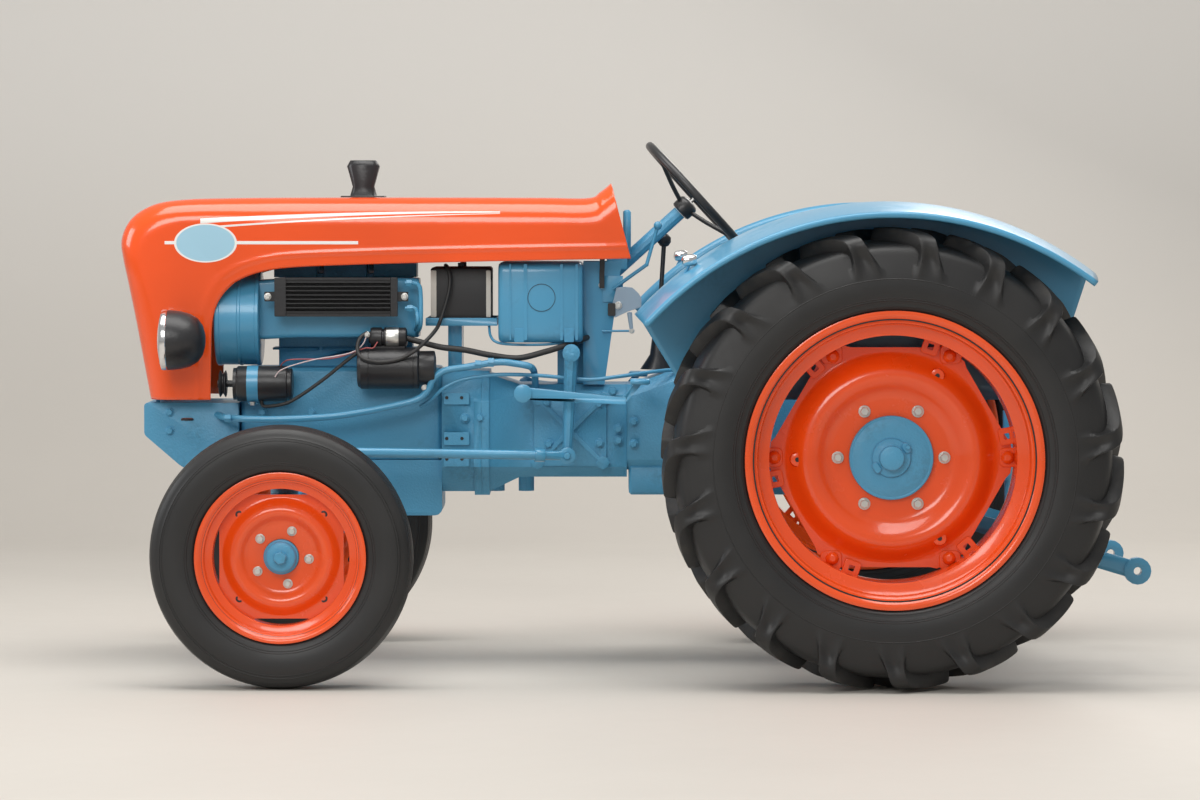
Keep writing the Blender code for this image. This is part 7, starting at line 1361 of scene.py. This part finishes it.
# Side lamps on the fenders: a small spun pot, chromium plated, on a bent steel bracket that is
# painted with the fender.
SIDE_LAMP_X = -0.1640
SIDE_LAMP_Y = 0.600
SIDE_LAMP_Z = 1.1040
SIDE_LAMP_AXIS = (1, 0, -0.10)
SIDE_LAMP = (
    (0, 0), (0.0100, 0.0), (0.0145, 0.006), (0.0155, 0.020), (0.0150, 0.030), (0.0120, 0.036),
    (0.006, 0.039), (0, 0.0395),
)
SIDE_BRACKET = ((-0.1310, 1.0560), (-0.1340, 1.0700), (-0.1440, 1.0900))
SIDE_BRACKET_RADIUS = 0.0042
for name, side in SIDES:
    y = side * SIDE_LAMP_Y
    pot = [lathe(SIDE_LAMP, (SIDE_LAMP_X, y, SIDE_LAMP_Z), SIDE_LAMP_AXIS, 40)]
    add("side_lamp_" + name, pot, chrome, CHASSIS)
    bracket = [tube(np.array([(x, y, z) for x, z in SIDE_BRACKET]), SIDE_BRACKET_RADIUS, 12)]
    add("side_lamp_bracket_" + name, bracket, sheet_blue, CHASSIS)

# Bolts of the front support: hexagon heads through its flanks, fitted before the casting was
# painted and covered in its blue.
SUPPORT_BOLTS = ((0.8600, 0.690), (0.9900, 0.690), (1.2400, 0.640), (1.2400, 0.690))
SUPPORT_BOLT_Y = 0.1405
SUPPORT_BOLT_SIZE = 0.016
front_bolts = []
for _, side in SIDES:
    for x, z in SUPPORT_BOLTS:
        front_bolts += bolt((x, side * SUPPORT_BOLT_Y, z), (0, side, 0), SUPPORT_BOLT_SIZE)
add("front_support_bolts", front_bolts, cast_blue, CHASSIS)

# Throttle and brake quadrant beside the column: a cut steel plate with two plated bolts, a rubber
# block, and the pull rod that runs forward from it.
QUADRANT = np.array((
    (0.0409, 1.0238), (0.0180, 1.0262), (-0.0021, 1.0238), (-0.0190, 1.0080), (-0.0261, 0.9951),
    (-0.0261, 0.9712), (0.0098, 0.9600), (0.0450, 0.9430), (0.0560, 0.9620),
))
QUADRANT_Y = 0.1365
QUADRANT_THICK = 0.003
QUADRANT_TONE = (0.30, 0.40, 0.50)
QUADRANT_GRIME = (0.10, 0.15, 0.20)
QUADRANT_STUB = ((0.0060, 0.957), (0.0030, 0.930), (0.0000, 0.908))
QUADRANT_STUB_RADII = (0.0070, 0.0058, 0.0048)
QUADRANT_BOLTS = (((0.0362, 0.1380, 0.976), 0.014), ((0.0000, 0.1385, 0.908), 0.010))
QUADRANT_BLOCK = ((0.0440, 0.0640), 0.1360, (0.9480, 0.9820), 0.012)
PULL_ROD = ((0.000, 0.9075), (0.030, 0.9075), (0.0793, 0.9070))
PULL_ROD_Y = 0.1330
PULL_ROD_RADIUS = 0.0030
quadrant_steel = painted("quadrant_steel", QUADRANT_TONE, QUADRANT_GRIME, 0.42, 420.0, 0.0008, 0.7)
quadrant_middle = QUADRANT.mean(0)
first, second, _ = basis(TO_LEFT)
flat = (QUADRANT - quadrant_middle) * (first[0], second[2])
quadrant = [
    slab(flat, QUADRANT_THICK, (quadrant_middle[0], QUADRANT_Y, quadrant_middle[1]), TO_LEFT, PLATE_EDGE),
    tube(np.array([(x, QUADRANT_Y, z) for x, z in QUADRANT_STUB]), QUADRANT_STUB_RADII, 14),
]
add("quadrant_plate", quadrant, quadrant_steel, CHASSIS)
quadrant_bolts = [part for at, size in QUADRANT_BOLTS for part in bolt(at, TO_LEFT, size)]
add("quadrant_bolt", quadrant_bolts, zinc, CHASSIS)
add("quadrant_block", [plate(*QUADRANT_BLOCK)], cable_rubber, CHASSIS)
add("pull_rod", [run(PULL_ROD, PULL_ROD_Y, PULL_ROD_RADIUS, 12)], sheet_blue, CHASSIS)

# Rear disc dimples: three to a disc, pressed outwards and drilled through at their middles, so that
# wheel weights can be bolted on. Each drilled hole is a thin black disc: painted shade inside it.
REAR_DIMPLES = (math.radians(-29.0), math.radians(91.0), math.radians(-149.0))
DIMPLE_CIRCLE = 0.2420
DIMPLE_OUT = 0.0150
DIMPLE = (
    (0, -0.0200), (0.0200, -0.0200), (0.0200, -0.0060), (0.0170, 0.0050), (0.0110, 0.0068), (0.0080, 0.0070),
    (0, 0.0070),
)
# A thin black disc, painted shade, that stands for the hole drilled through each dimple
DRILL_HOLE_SHADE = ((0, 0.0), (0.0062, 0.0), (0.0062, 0.0004), (0, 0.0004))
for name, side in SIDES:
    facing = (0, side, 0)
    seat = REAR_AXLE + (0, side * REAR_DISC_Y, 0)
    dimples = []
    drill_shades = []
    for angle in REAR_DIMPLES:
        at = wheel_point(seat, DIMPLE_CIRCLE, angle * side, DIMPLE_OUT, side)
        dimples.append(lathe(DIMPLE, at, facing, 28))
        drill_shades.append(lathe(DRILL_HOLE_SHADE, at + (0, side * DIMPLE[-1][1], 0), facing, 20))
    body = BODY_OF["rear_wheel_" + name]
    add("rear_disc_dimples_" + name, dimples, sheet_orange, body)
    add("rear_disc_drill_shades_" + name, drill_shades, black_paint, body)
